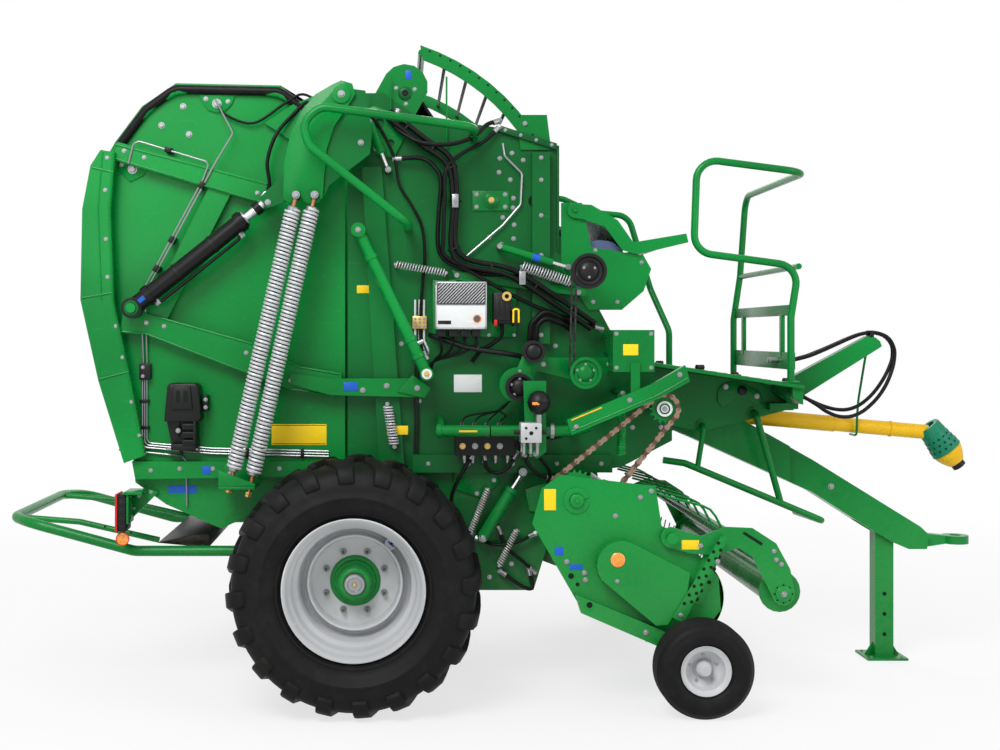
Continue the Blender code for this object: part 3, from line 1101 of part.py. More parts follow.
def tension_ram(name, side):
    """The belt tension ram on the front of the chamber side."""
    y, out = side * STRUT_Y, STRUT_Y + 0.035
    head, foot = (0.010, 2.060), (0.310, 1.430)
    shape = fuse(rod((head[0], y, head[1]), (foot[0], y, foot[1]), 0.026, 12),
                 disc(head[0], head[1], *span(side, RIB_Y - 0.020 + FIT, out), 0.032, 12),
                 disc(foot[0], foot[1], *span(side, WALL_OUT + FIT, out), 0.030, 12))
    place("tension_ram_" + name, shape, "chassis", "green_paint")


def tailgate_extras():
    """The lamps at the tailgate's lower corners and the wheel chock carried on its right side."""
    for name, side in SIDES:
        lamp = fuse(box((-1.075, -1.020), span(side, WALL_OUT + 0.015, WALL_OUT + 0.155), (0.720, 0.895)),
                    box((-1.035, -0.950), span(side, WALL_OUT + 0.005, WALL_OUT + 0.165), (0.890, 0.905)),
                    prism([(-1.030, 0.895), (-0.940, 0.900), (-0.900, 0.890), (-1.030, 0.760)],
                          *span(side, WALL_OUT + FIT, WALL_OUT + 0.020)),
                    disc(-1.045, 0.690, *span(side, WALL_OUT + 0.115, WALL_OUT + 0.127), 0.030, 12),
                    box((-1.055, -1.035), span(side, WALL_OUT + 0.110, WALL_OUT + 0.123), (0.690, 0.740)))
        place("lamp_" + name, lamp, "tailgate", "lamp_red")
    chock = prism([(-0.850, 1.290), (-0.720, 1.290), (-0.715, 1.080), (-0.830, 1.080), (-0.855, 1.200)],
                  *span(-1, WALL_OUT + FIT, WALL_OUT + 0.115))
    place("wheel_chock", chock, "tailgate", "black_paint")


def hoses():
    """The main hose bundle on the right side, clipped to the wall, and the hose loop held at the front."""
    # x, distance out from the wall, and z
    route = ((0.140, 0.035, 2.600), (0.300, 0.055, 2.470), (0.420, 0.080, 2.380), (0.440, 0.080, 2.200),
             (0.450, 0.080, 1.950), (0.700, 0.090, 1.880), (0.900, 0.090, 1.750), (1.060, 0.080, 1.640))
    bundle = tube([(x, -WALL_OUT - out, z) for x, out, z in route], 0.028, corner=0.12, steps=3)
    clips = group(*[box((x - 0.012, x + 0.012), span(-1, WALL_OUT + FIT, WALL_OUT + 0.080),
                        (z - 0.012, z + 0.012))
                    for x, z in ((0.440, 2.200), (0.740, 1.855))])
    place("hose_bundle", fuse(bundle, clips), "chassis", "belt_rubber")


def front_hoses():
    """Two hoses that leave the deck's lip, hang in a loop, and pass over the hose arm into the kick board."""
    for name, points in FRONT_HOSES:
        place(name, swept(points, FRONT_HOSE_RADIUS), "chassis", "belt_rubber")


def main():
    """Clears the scene and builds every piece."""
    for obj in list(bpy.data.objects):
        bpy.data.objects.remove(obj)
    frame_empties()
    for name, side in SIDES:
        chamber_wall("chamber_wall_" + name, side)
        tailgate_wall("tailgate_wall_" + name, side)
        springs(name, side)
        ram(name, side)
        main_wheel(name, side)
        gauge_wheel(name, side)
        pickup_side(name, side)
        tension_ram(name, side)
    rear_cover()
    tailgate_hull()
    belt_loop("belts_rear", "tailgate",
              arc(-0.400, 2.580, 0.0945, -60, 90, 7) + [(-0.800, 2.680), (-1.000, 2.500), (-1.110, 2.330),
                                                        (-1.140, 2.160),
                                                         (-1.140, 1.760), (-1.080, 1.400)]
              + arc(-0.930, 1.110, 0.0845, 180, 370, 8) + [(-0.900, 1.500), (-0.960, 1.760),
                                                           (-0.950, 2.100)], 0.012)
    belt_loop("belts_front", "chassis",
              arc(0.216, 2.730, 0.0745, 215, -30, 9) + [(0.620, 2.200), (0.860, 1.700),
               (0.860, 1.400), (0.780, 1.360), (0.700, 1.450), (0.620, 1.900), (0.300, 2.440)], 0.012)
    axle_and_rails()
    kicker()
    pickup_bands()
    pickup_cover()
    reel()
    wind_guard()
    feed_rotor()
    front_frame()
    drawbar()
    hitch_eye()
    stand()
    gearbox()
    drive_shaft()
    platform()
    railing()
    side_rail()
    belt_guard()
    top_roller()
    net_unit()
    hose_arm()
    step_rail()
    sprocket_chain()
    net_drive()
    shields()
    electrics()
    tailgate_extras()
    hoses()
    front_hoses()


main()
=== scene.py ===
"""The looks of a towed round baler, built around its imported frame.

Every place is given in metres from the axle (X forward, Y to the left, Z up) and moved into the row frame by
at(). The right side is the one that the picture shows, and like pieces on both sides come from one method.
"""
import logging
import math
from dataclasses import dataclass
from enum import Enum
from typing import Iterable, Sequence

import bmesh
import bpy
from mathutils import Euler, Matrix, Quaternion, Vector


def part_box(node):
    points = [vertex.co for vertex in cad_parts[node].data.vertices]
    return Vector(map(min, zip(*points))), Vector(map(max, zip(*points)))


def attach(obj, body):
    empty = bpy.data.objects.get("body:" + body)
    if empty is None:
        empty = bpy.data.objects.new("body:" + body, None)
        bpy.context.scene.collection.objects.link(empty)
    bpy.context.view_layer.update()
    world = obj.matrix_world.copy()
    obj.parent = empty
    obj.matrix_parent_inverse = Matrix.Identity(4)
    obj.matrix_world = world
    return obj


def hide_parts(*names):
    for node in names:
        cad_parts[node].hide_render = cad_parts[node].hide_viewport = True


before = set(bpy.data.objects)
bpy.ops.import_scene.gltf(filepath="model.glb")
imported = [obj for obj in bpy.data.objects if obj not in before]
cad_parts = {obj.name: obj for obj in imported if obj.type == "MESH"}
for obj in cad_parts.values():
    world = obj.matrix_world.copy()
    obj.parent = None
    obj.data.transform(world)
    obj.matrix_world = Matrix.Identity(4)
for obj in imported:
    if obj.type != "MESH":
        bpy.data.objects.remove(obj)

LOG = logging.getLogger("baler")
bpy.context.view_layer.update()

Colour = tuple[float, float, float]
Flat = tuple[float, float]
Place = tuple[float, float, float]


def middle(node: str) -> Vector:
    """The middle of a CAD node's box."""
    low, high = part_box(node)
    return (Vector(low) + Vector(high)) / 2


AXLE_X = middle("tyre_right").x
TYRE_Y = middle("tyre_left").y
WALL_Y = 0.625          # outer face of a chamber or tailgate side
RIB_Y = 0.685           # outer face of the ribs on it
STRUT_Y = 0.85          # the tension struts beside the wall
SPRING_Y = 0.872
PULLEY_Y = 0.865
CHAIN_Y = 0.9175
PICKUP_Y = 0.995        # outer face of a pickup side plate
GUARD_Y = 1.024         # outer face of a wind guard arm
SEAT_Y = 0.6253         # foot of what is fixed on a chamber wall, just off its face
ARM_Y = -0.87           # middle of the pipe arm over the right wheel
CREASE = math.radians(42)


def at(x: float, y: float, z: float) -> Vector:
    """A place given from the axle, in the row frame."""
    return Vector((x + AXLE_X, y, z))


def linked(name: str, data: bpy.types.ID) -> bpy.types.Object:
    """An object with its data, put into the scene."""
    obj = bpy.data.objects.new(name, data)
    bpy.context.scene.collection.objects.link(obj)
    return obj


class Way(Enum):
    """The direction that a copied part's own Z points in, as an Euler turn."""

    RIGHT = (math.pi / 2, 0.0, 0.0)
    LEFT = (-math.pi / 2, 0.0, 0.0)
    UP = (0.0, 0.0, 0.0)
    FRONT = (0.0, math.pi / 2, 0.0)


class Side(Enum):
    """The machine's two sides, with the sign of their Y."""

    RIGHT = -1
    LEFT = 1

    @property
    def way(self) -> Way:
        """The way straight out from this side."""
        return Way[self.name]


Aim = Way | Euler | Vector


@dataclass
class Sided:
    """What the machine carries on both sides, built once for each."""

    side: Side

    @property
    def out(self) -> int:
        """The sign of Y on this side."""
        return self.side.value

    @property
    def word(self) -> str:
        """The side's name as the CAD nodes end in it."""
        return self.side.name.lower()

    @property
    def way(self) -> Way:
        """The way straight out from this side."""
        return self.side.way

    def near(self, *values: float) -> tuple[float, ...]:
        """Distances from the middle plane as Y values on this side."""
        return tuple(self.out * value for value in values)

    def outward(self, reach: float) -> Vector:
        """A step straight out from this side."""
        return Vector((0, self.out * reach, 0))


# Shader graphs

class Wire:
    """A shader value, so that sums on it are written as plain expressions."""

    def __init__(self, graph: "Nodes", socket: bpy.types.NodeSocket) -> None:
        """Keeps the graph and the output socket."""
        self.graph = graph
        self.socket = socket

    def _math(self, operation: str, first: "Wire | float", second: "Wire | float") -> "Wire":
        """One Math node on two values."""
        return self.graph.node("ShaderNodeMath", {"operation": operation}, first, second)

    def __add__(self, other: "Wire | float") -> "Wire":
        """Sum."""
        return self._math("ADD", self, other)

    __radd__ = __add__

    def __sub__(self, other: "Wire | float") -> "Wire":
        """Difference."""
        return self._math("SUBTRACT", self, other)

    def __rsub__(self, other: "Wire | float") -> "Wire":
        """Difference from a number."""
        return self._math("SUBTRACT", other, self)

    def __mul__(self, other: "Wire | float") -> "Wire":
        """Product."""
        return self._math("MULTIPLY", self, other)

    __rmul__ = __mul__

    def step(self, low: float, high: float) -> "Wire":
        """A soft step from 0 at low to 1 at high."""
        return self.graph.node("ShaderNodeMapRange", {"interpolation_type": "SMOOTHSTEP"}, self, low, high)


class Nodes:
    """A tree of shader nodes."""

    def __init__(self, tree: bpy.types.NodeTree) -> None:
        """Keeps the tree."""
        self.tree = tree

    def feed(self, socket: bpy.types.NodeSocket, value: object) -> None:
        """Links a wire to a socket or sets its value."""
        if isinstance(value, Wire):
            self.tree.links.new(value.socket, socket)
        elif isinstance(value, tuple) and len(value) == 3 and socket.type == "RGBA":
            socket.default_value = (*value, 1.0)
        else:
            socket.default_value = value

    def node(self, kind: str, settings: dict, *values: object, out: int | str = 0, **named: object) -> Wire:
        """Makes any node.

        Args:
            kind: the node's type.
            settings: its own settings, set before its sockets.
            values: values or wires of its first sockets, in order.
            out: the output that is wanted.
            named: values or wires of sockets by name.

        Returns:
            The wanted output.
        """
        made = self.tree.nodes.new(kind)
        for key, value in settings.items():
            setattr(made, key, value)
        for socket, value in zip(made.inputs, values):
            self.feed(socket, value)
        for key, value in named.items():
            self.feed(made.inputs[key], value)
        return Wire(self, made.outputs[out])

    def rays(self) -> list[Wire]:
        """Which rays look from the camera, come by a gloss and come through glass."""
        return [self.node("ShaderNodeLightPath", {}, out=f"Is {kind} Ray")
                for kind in ("Camera", "Glossy", "Transmission")]


class Graph(Nodes):
    """A material and the nodes that feed its shader."""

    def __init__(self, name: str) -> None:
        """Starts a material with a Principled shader and Object coordinates.

        Args:
            name: the material's name.
        """
        self.material = bpy.data.materials.new(name)
        self.material.use_nodes = True
        super().__init__(self.material.node_tree)
        self.shader = self.tree.nodes["Principled BSDF"]
        self.place = self.node("ShaderNodeTexCoord", {}, out="Object")

    def noise(self, scale: float, detail: float = 3.0, stretch: Place = (1.0, 1.0, 1.0)) -> Wire:
        """A noise value on the object's own coordinates."""
        vector = self.place
        if stretch != (1.0, 1.0, 1.0):
            vector = self.node("ShaderNodeMapping", {}, self.place, Scale=stretch)
        return self.node("ShaderNodeTexNoise", {}, vector, Scale=scale, Detail=detail)

    def cells(self, scale: float) -> Wire:
        """The distance in a cell pattern."""
        return self.node("ShaderNodeTexVoronoi", {}, self.place, Scale=scale)

    def height(self) -> Wire:
        """The height above the floor."""
        return self.node("ShaderNodeSeparateXYZ", {}, self.place, out="Z")

    def mix(self, first: "Wire | Colour", second: "Wire | Colour", factor: "Wire | float") -> Wire:
        """A colour between two colours."""
        made = self.tree.nodes.new("ShaderNodeMix")
        made.data_type = "RGBA"
        for index, value in ((0, factor), (6, first), (7, second)):
            self.feed(made.inputs[index], value)
        return Wire(self, made.outputs[2])

    def bump(self, *layers: tuple[Wire, float]) -> None:
        """Feeds the shader's normal from heights, each with its depth in metres."""
        normal: Wire | None = None
        for height, depth in layers:
            inputs = {"Height": height, "Distance": depth, "Strength": 1.0}
            if normal is not None:
                inputs["Normal"] = normal
            normal = self.node("ShaderNodeBump", {}, **inputs)
        self.feed(self.shader.inputs["Normal"], normal)

    def set(self, **inputs: object) -> None:
        """Sets the shader's sockets, named with underscores for spaces."""
        for key, value in inputs.items():
            self.feed(self.shader.inputs[key.replace("_", " ")], value)


DUST: Colour = (0.23, 0.19, 0.13)
WHITE: Colour = (1.0, 1.0, 1.0)


@dataclass(frozen=True)
class Finish:
    """The finish of a surface: its name, its colour and the record's slot that it stands for."""

    name: str
    colour: Colour
    slot: str
    rough: float = 0.4

    def shade(self, factor: float) -> Colour:
        """The colour made darker or lighter."""
        return tuple(min(channel * factor, 1.0) for channel in self.colour)

    def dress(self, graph: Graph) -> None:
        """Feeds the shader. Each kind of finish has its own."""
        raise NotImplementedError

    def material(self) -> bpy.types.Material:
        """The finish's material, made on first use."""
        made = bpy.data.materials.get(self.name)
        if made is None:
            graph = Graph(self.name)
            self.dress(graph)
            made = graph.material
        return made


@dataclass(frozen=True)
class Paint(Finish):
    """Sprayed paint on sheet steel, wavy on large panels, with dust on what is low and broad patches that are partly
    random tone and partly painted reflection.
    """

    dust: float = 0.35
    coat: float = 0.04
    wave: float = 0.013

    def dress(self, graph: Graph) -> None:
        """Feeds colour, roughness and the panels' waves."""
        broad, fine = graph.noise(1.1, 2.0), graph.noise(34.0, 5.0)
        low = 1 - graph.height().step(0.15, 1.25)
        dust = (broad * 0.8 + fine * 0.5).step(0.5, 0.85) * low * self.dust
        scuff = graph.noise(9.0, 6.0, (1.0, 1.0, 7.0)).step(0.66, 0.74) * 0.22
        # broad darker and lighter patches: partly random tone, partly painted reflection and sheen of the panels
        tone = graph.mix(self.shade(0.66), self.shade(1.14), broad.step(0.3, 0.7))
        worn = graph.mix(tone, self.shade(1.9), scuff)
        graph.set(Base_Color=graph.mix(worn, DUST, dust), Roughness=fine * 0.1 + (self.rough - 0.05) + dust * 0.4,
                  Coat_Weight=self.coat, Coat_Roughness=0.12, Specular_IOR_Level=0.17)
        graph.bump((graph.noise(2.3, 1.0), self.wave), (graph.noise(260.0, 1.0), 0.00012))


@dataclass(frozen=True)
class Rubber(Finish):
    """Moulded rubber with a fine grain and pale dust in its hollows."""

    grain: float = 160.0
    dust: float = 0.5

    def dress(self, graph: Graph) -> None:
        """Feeds colour, roughness and the grain."""
        broad, fine = graph.noise(3.1, 4.0), graph.noise(self.grain, 3.0)
        streak = graph.noise(24.0, 5.0, (1.0, 0.25, 1.0))
        dust = (broad * 0.5 + streak * 0.6).step(0.5, 0.85) * self.dust
        tone = graph.mix(self.shade(0.7), self.shade(1.35), fine)
        graph.set(Base_Color=graph.mix(tone, (0.085, 0.072, 0.055), dust),
                  Roughness=dust * 0.25 + (self.rough - 0.05), Specular_IOR_Level=0.12)
        graph.bump((streak, 0.0012), (fine, 0.0005))


@dataclass(frozen=True)
class Belting(Rubber):
    """Belts side by side, with painted shade in the gaps between them, and a diamond grip."""

    pitch: float = 0.198

    def dress(self, graph: Graph) -> None:
        """Feeds colour and the grip."""
        super().dress(graph)
        across = graph.node("ShaderNodeSeparateXYZ", {}, graph.place, out="Y")
        # near-black in the gaps between the belts: painted shade
        belt = graph.node("ShaderNodeMath", {"operation": "PINGPONG"}, across, self.pitch / 2).step(0.003, 0.009)
        grip = graph.cells(46.0)
        tone = graph.mix(self.shade(0.8), self.shade(1.8), grip.step(0.2, 0.7))
        graph.set(Base_Color=graph.mix((0.002, 0.002, 0.002), tone, belt))
        graph.bump((belt, 0.006), (grip, 0.002))


@dataclass(frozen=True)
class Steel(Finish):
    """Bare, plated or galvanised metal, with stains of a second colour."""

    metal: float = 0.9
    stain: Colour = (0.16, 0.075, 0.03)
    stained: float = 0.25
    grain: float = 60.0

    def dress(self, graph: Graph) -> None:
        """Feeds colour, roughness and the drawn grain."""
        cloud, fine = graph.noise(14.0, 6.0), graph.noise(self.grain, 4.0)
        stain = (cloud * 0.7 + fine * 0.4).step(0.6, 0.78) * self.stained
        tone = graph.mix(self.shade(0.9), self.shade(1.06), graph.cells(self.grain * 2.5))
        graph.set(Base_Color=graph.mix(tone, self.stain, stain), Metallic=self.metal - stain * 0.6,
                  Roughness=fine * 0.12 + (self.rough - 0.06) + stain * 0.35)
        graph.bump((fine, 0.0003))


@dataclass(frozen=True)
class Plastic(Finish):
    """Moulded plastic or a printed sheet, lightly grained and scuffed."""

    grain: float = 220.0
    clear: float = 1.0

    def dress(self, graph: Graph) -> None:
        """Feeds colour, roughness, the grain and the sheet's cover."""
        broad, fine = graph.noise(5.0, 4.0), graph.noise(self.grain, 2.0)
        scuff = graph.noise(28.0, 6.0, (1.0, 1.0, 5.0)).step(0.62, 0.74) * 0.25
        tone = graph.mix(self.shade(0.85), self.shade(1.1), broad)
        graph.set(Base_Color=graph.mix(tone, self.shade(1.6), scuff), Roughness=scuff * 0.5 + self.rough,
                  Specular_IOR_Level=0.25)
        if self.clear < 1.0:
            graph.set(Alpha=(broad * 0.5 + (self.clear - 0.25)).step(0.0, 1.0))
        graph.bump((fine, 0.0002))


@dataclass(frozen=True)
class Lens(Finish):
    """A reflector or lamp lens, moulded in small prisms."""

    def dress(self, graph: Graph) -> None:
        """Feeds colour and the prisms."""
        prisms = graph.cells(150.0)
        graph.set(Base_Color=graph.mix(self.shade(0.6), self.shade(1.15), prisms.step(0.1, 0.6)),
                  Roughness=self.rough, Coat_Weight=1.0, Coat_Roughness=0.05)
        graph.bump((prisms, 0.0008))


GREEN = Paint("gloss_green", (0.001, 0.215, 0.034), "green_paint", 0.26, dust=0.1)
# a darker copy of the gloss green for the chamber walls: painted shade
GREEN_PAINTED_SHADE = Paint("inner_green", (0.001, 0.135, 0.024), "green_paint", 0.3, dust=0.15)
SHADE = Paint("shade_green", (0.001, 0.1, 0.02), "dark_green", 0.4, dust=0.5)
SILVER = Paint("rim_silver", (0.55, 0.56, 0.58), "silver_paint", 0.36, dust=0.12, wave=0.0015)
BLACK = Paint("black_enamel", (0.006, 0.006, 0.0065), "black_paint", 0.3, dust=0.3, wave=0.001)
TYRE = Rubber("tyre_rubber_worn", (0.0065, 0.0065, 0.007), "tyre_rubber", 0.6, dust=0.1)
HOSE = Rubber("hose_rubber", (0.005, 0.005, 0.0055), "belt_rubber", 0.42, grain=400.0, dust=0.12)
BELT = Belting("belt_rubber_ribbed", (0.02, 0.02, 0.02), "belt_rubber", 0.66, grain=90.0, dust=0.3)
ZINC = Steel("zinc_plate", (0.3, 0.31, 0.32), "bright_steel", 0.34, metal=0.75, stained=0.12)
COIL = Steel("galvanised_coil", (0.56, 0.57, 0.59), "bright_steel", 0.46, metal=0.35, stained=0.06, grain=120.0)
COPPER = Steel("coppery_thread", (0.42, 0.17, 0.07), "worn_steel", 0.4, metal=0.8, stained=0.2)
BRASS = Steel("yellow_passivated", (0.62, 0.44, 0.14), "cast_alloy", 0.36, metal=0.8, stained=0.15)
CHROME = Steel("hard_chrome", (0.68, 0.68, 0.69), "bright_steel", 0.14, metal=1.0, stained=0.04)
ALLOY = Steel("cast_aluminium", (0.46, 0.47, 0.48), "cast_alloy", 0.42, metal=0.45, stained=0.05, grain=90.0)
RUST = Steel("oiled_chain", (0.1, 0.055, 0.035), "worn_steel", 0.45, metal=0.5, stained=0.4)
WORN = Steel("worn_chain_plate", (0.3, 0.2, 0.14), "worn_steel", 0.38, metal=0.6, stained=0.5)
TINE = Steel("spring_tine", (0.33, 0.33, 0.34), "worn_steel", 0.34, metal=0.85, stained=0.3)
YELLOW = Plastic("guard_yellow", (0.8, 0.46, 0.004), "yellow_plastic", 0.36)
CONE = Plastic("guard_green", (0.004, 0.19, 0.1), "green_paint", 0.4)
DARK = Plastic("black_plastic_moulded", (0.006, 0.006, 0.0065), "black_plastic", 0.42, grain=140.0)
RED = Plastic("red_plastic", (0.55, 0.012, 0.01), "lamp_red", 0.35)
SIGN = Plastic("blank_sign_yellow", (0.88, 0.6, 0.01), "yellow_plastic", 0.4)
TAG = Plastic("blank_sign_blue", (0.01, 0.1, 0.5), "net_wrap", 0.4)
CARD = Plastic("blank_sign_white", (0.66, 0.68, 0.68), "cast_alloy", 0.42)
# dark grey: painted shade on the sheet under the control box's fins, and the disc centre's own colour
SLATE_AND_FIN_GAP_SHADE = Plastic("grey_fin_gap", (0.085, 0.087, 0.09), "cast_alloy", 0.5)
FILM = Plastic("wrap_film", (0.11, 0.16, 0.3), "net_wrap", 0.16, grain=30.0, clear=0.9)
AMBER = Lens("amber_reflector", (0.9, 0.26, 0.008), "lamp_red", 0.22)
LAMP = Lens("red_lamp", (0.42, 0.01, 0.01), "lamp_red", 0.18)
# near-black discs and sheets laid on faces where holes, slots and pockets are: painted shade
HOLE_SHADE = Plastic("drilled_hole", (0.004, 0.01, 0.005), "black_plastic", 0.9)

# The finish that each of the record's slots gets where its CAD solid is kept
SLOTS: dict[str, Finish] = {"green_paint": GREEN, "dark_green": SHADE, "silver_paint": SILVER, "black_paint": BLACK,
                            "tyre_rubber": TYRE, "belt_rubber": BELT, "bright_steel": ZINC, "worn_steel": RUST,
                            "yellow_plastic": YELLOW, "black_plastic": DARK, "net_wrap": FILM, "cast_alloy": ALLOY,
                            "lamp_red": LAMP,}


# Geometry Nodes trees

class Tree:
    """A Geometry Nodes tree with named inputs, run on a mesh and turned into a plain mesh."""

    def __init__(self, name: str, inputs: Sequence[tuple[str, str]]) -> None:
        """Starts a tree.

        Args:
            name: the tree's name.
            inputs: the name and socket type of each input after the geometry.
        """
        self.group = bpy.data.node_groups.new(name, "GeometryNodeTree")
        face = self.group.interface
        face.new_socket("Geometry", in_out="INPUT", socket_type="NodeSocketGeometry")
        face.new_socket("Geometry", in_out="OUTPUT", socket_type="NodeSocketGeometry")
        for word, kind in (*inputs, ("Finish", "NodeSocketMaterial")):
            face.new_socket(word, in_out="INPUT", socket_type=kind)
        self.entry = self.group.nodes.new("NodeGroupInput")

    def add(self, kind: str, settings: dict, **links: object) -> bpy.types.Node:
        """Makes a node. A link is a value, a node's first output, or a (node, output) pair.

        Returns:
            The node.
        """
        made = self.group.nodes.new(kind)
        for key, value in settings.items():
            setattr(made, key, value)
        for key, value in links.items():
            socket = made.inputs[key.replace("_", " ")]
            if isinstance(value, bpy.types.Node):
                self.group.links.new(value.outputs[0], socket)
            elif isinstance(value, tuple) and isinstance(value[0], bpy.types.Node):
                self.group.links.new(value[0].outputs[value[1]], socket)
            else:
                socket.default_value = value
        return made

    def close(self, last: bpy.types.Node) -> None:
        """Ends the tree in real meshes with the finish set."""
        real = self.add("GeometryNodeRealizeInstances", {}, Geometry=last)
        dressed = self.add("GeometryNodeSetMaterial", {}, Geometry=real, Material=(self.entry, "Finish"))
        output = self.group.nodes.new("NodeGroupOutput")
        self.group.links.new(dressed.outputs[0], output.inputs[0])

    def run(self, source: bpy.types.Mesh, **values: object) -> bpy.types.Mesh:
        """Runs the tree on a mesh.

        Args:
            source: the mesh that it starts from.
            values: the inputs by name.

        Returns:
            The finished mesh, with no modifier left.
        """
        obj = linked("grown", source)
        modifier = obj.modifiers.new("grow", "NODES")
        modifier.node_group = self.group
        for item in self.group.interface.items_tree:
            if item.in_out == "INPUT" and item.name in values:
                modifier[item.identifier] = values[item.name]
        bpy.context.view_layer.update()
        graph = bpy.context.evaluated_depsgraph_get()
        mesh = bpy.data.meshes.new_from_object(obj.evaluated_get(graph))
        obj.modifiers.remove(modifier)
        bpy.data.objects.remove(obj)
        return mesh


FLOAT, WHOLE = "NodeSocketFloat", "NodeSocketInt"


def sweep_tree() -> Tree:
    """Round tubes along routes of edges, with their corners rounded."""
    tree = Tree("sweep", (("Radius", FLOAT), ("Corner", FLOAT), ("Sides", WHOLE), ("Steps", WHOLE)))
    entry = tree.entry
    line = tree.add("GeometryNodeMeshToCurve", {}, Mesh=(entry, "Geometry"))
    eased = tree.add("GeometryNodeFilletCurve", {"mode": "POLY"}, Curve=line, Count=(entry, "Steps"),
                     Radius=(entry, "Corner"), Limit_Radius=True)
    ring = tree.add("GeometryNodeCurvePrimitiveCircle", {}, Resolution=(entry, "Sides"), Radius=(entry, "Radius"))
    tree.close(tree.add("GeometryNodeCurveToMesh", {}, Curve=eased, Profile_Curve=ring, Fill_Caps=True))
    return tree


def copies_tree() -> Tree:
    """Copies of a part on the points of a mesh, turned and scaled by its attributes."""
    tree = Tree("copies", (("Part", "NodeSocketObject"),))
    part = tree.add("GeometryNodeObjectInfo", {}, Object=(tree.entry, "Part"))
    turn = tree.add("GeometryNodeInputNamedAttribute", {"data_type": "FLOAT_VECTOR"}, Name="turn")
    size = tree.add("GeometryNodeInputNamedAttribute", {"data_type": "FLOAT_VECTOR"}, Name="size")
    spun = tree.add("FunctionNodeEulerToRotation", {}, Euler=turn)
    tree.close(tree.add("GeometryNodeInstanceOnPoints", {}, Points=(tree.entry, "Geometry"),
                        Instance=(part, "Geometry"), Rotation=spun, Scale=size))
    return tree


def coil_tree() -> Tree:
    """A coil spring that stands on the origin."""
    tree = Tree("coil", (("Radius", FLOAT), ("Height", FLOAT), ("Turns", FLOAT), ("Wire", FLOAT)))
    entry = tree.entry
    line = tree.add("GeometryNodeCurveSpiral", {}, Resolution=14, Rotations=(entry, "Turns"),
                    Start_Radius=(entry, "Radius"), End_Radius=(entry, "Radius"), Height=(entry, "Height"))
    ring = tree.add("GeometryNodeCurvePrimitiveCircle", {}, Resolution=6, Radius=(entry, "Wire"))
    tree.close(tree.add("GeometryNodeCurveToMesh", {}, Curve=line, Profile_Curve=ring, Fill_Caps=True))
    return tree


SWEEP, COPIES, COILS = sweep_tree(), copies_tree(), coil_tree()


# Solids, each given as a plain mesh

def recast(bm: bmesh.types.BMesh, bevel: float = 0.0) -> bpy.types.Mesh:
    """Turns a bmesh into a mesh with its faces outwards and its sharp edges eased.

    Args:
        bm: the solid, freed here.
        bevel: the width of the eased edges.
    """
    bmesh.ops.remove_doubles(bm, verts=bm.verts, dist=1e-6)
    bmesh.ops.recalc_face_normals(bm, faces=bm.faces)
    if bevel:
        sharp = [e for e in bm.edges if len(e.link_faces) == 2 and e.calc_face_angle(0.0) > CREASE]
        bmesh.ops.bevel(bm, geom=sharp, offset=bevel, segments=2, profile=0.5, affect="EDGES", clamp_overlap=True)
    mesh = bpy.data.meshes.new("solid")
    bm.to_mesh(mesh)
    bm.free()
    return mesh


def prism(bm: bmesh.types.BMesh, corners: Iterable[Vector | Place], depth: Vector | Place) -> None:
    """Adds a flat face drawn out along a vector."""
    face = bm.faces.new([bm.verts.new(corner) for corner in corners])
    new = bmesh.ops.extrude_face_region(bm, geom=[face])["geom"]
    bmesh.ops.translate(bm, vec=depth, verts=[v for v in new if isinstance(v, bmesh.types.BMVert)])


def lofted(rows: Iterable[Sequence[Place]], bevel: float = 0.0) -> bpy.types.Mesh:
    """A closed solid through rings of equally many points."""
    bm = bmesh.new()
    rings = [[bm.verts.new(point) for point in row] for row in rows]
    for low, high in zip(rings, rings[1:]):
        for i in range(len(low)):
            j = (i + 1) % len(low)
            bm.faces.new((low[i], low[j], high[j], high[i]))
    bm.faces.new(rings[0])
    bm.faces.new(rings[-1])
    return recast(bm, bevel)


def sticker(centre: Vector, along: Vector, up: Vector, wide: float, high: float, lift: Vector,
            bevel: float) -> bpy.types.Mesh:
    """A thin sheet at a place, given by its two directions, its sizes and its thickness."""
    bm = bmesh.new()
    prism(bm, [centre + along * a * wide / 2 + up * b * high / 2 for a, b in ((-1, -1), (1, -1), (1, 1), (-1, 1))],
          lift)
    return recast(bm, bevel)


def puck(radius: float, height: float) -> list[Flat]:
    """The profile of a plain disc."""
    return [(0.0, 0.0), (radius, 0.0), (radius, height), (0.0, height)]


def button(radius: float, edge: float, top: float, height: float) -> list[Flat]:
    """The profile of a disc with its rim taken off from one height to the top's radius."""
    return [(0.0, 0.0), (radius, 0.0), (radius, edge), (top, height), (0.0, height)]


def hoop(inner: float, outer: float, height: float) -> list[Flat]:
    """The profile of a plain ring."""
    return [(inner, 0.0), (outer, 0.0), (outer, height), (inner, height)]


def plate(outline: Sequence[Flat], near: float, far: float, bevel: float = 0.002,
          holes: Sequence[tuple[float, float, float]] = ()) -> bpy.types.Mesh:
    """A flat plate of an outline in X and Z, between two Y values.

    Args:
        outline: its corners from the axle.
        near: one face's Y.
        far: the other face's Y.
        bevel: the width of the eased edges.
        holes: centre and radius of round dark holes, cut as short wells.
    """
    bm = bmesh.new()
    prism(bm, [at(x, near, z) for x, z in outline], (0, far - near, 0))
    mesh = recast(bm, bevel)
    return bored(mesh, holes, near, far) if holes else mesh


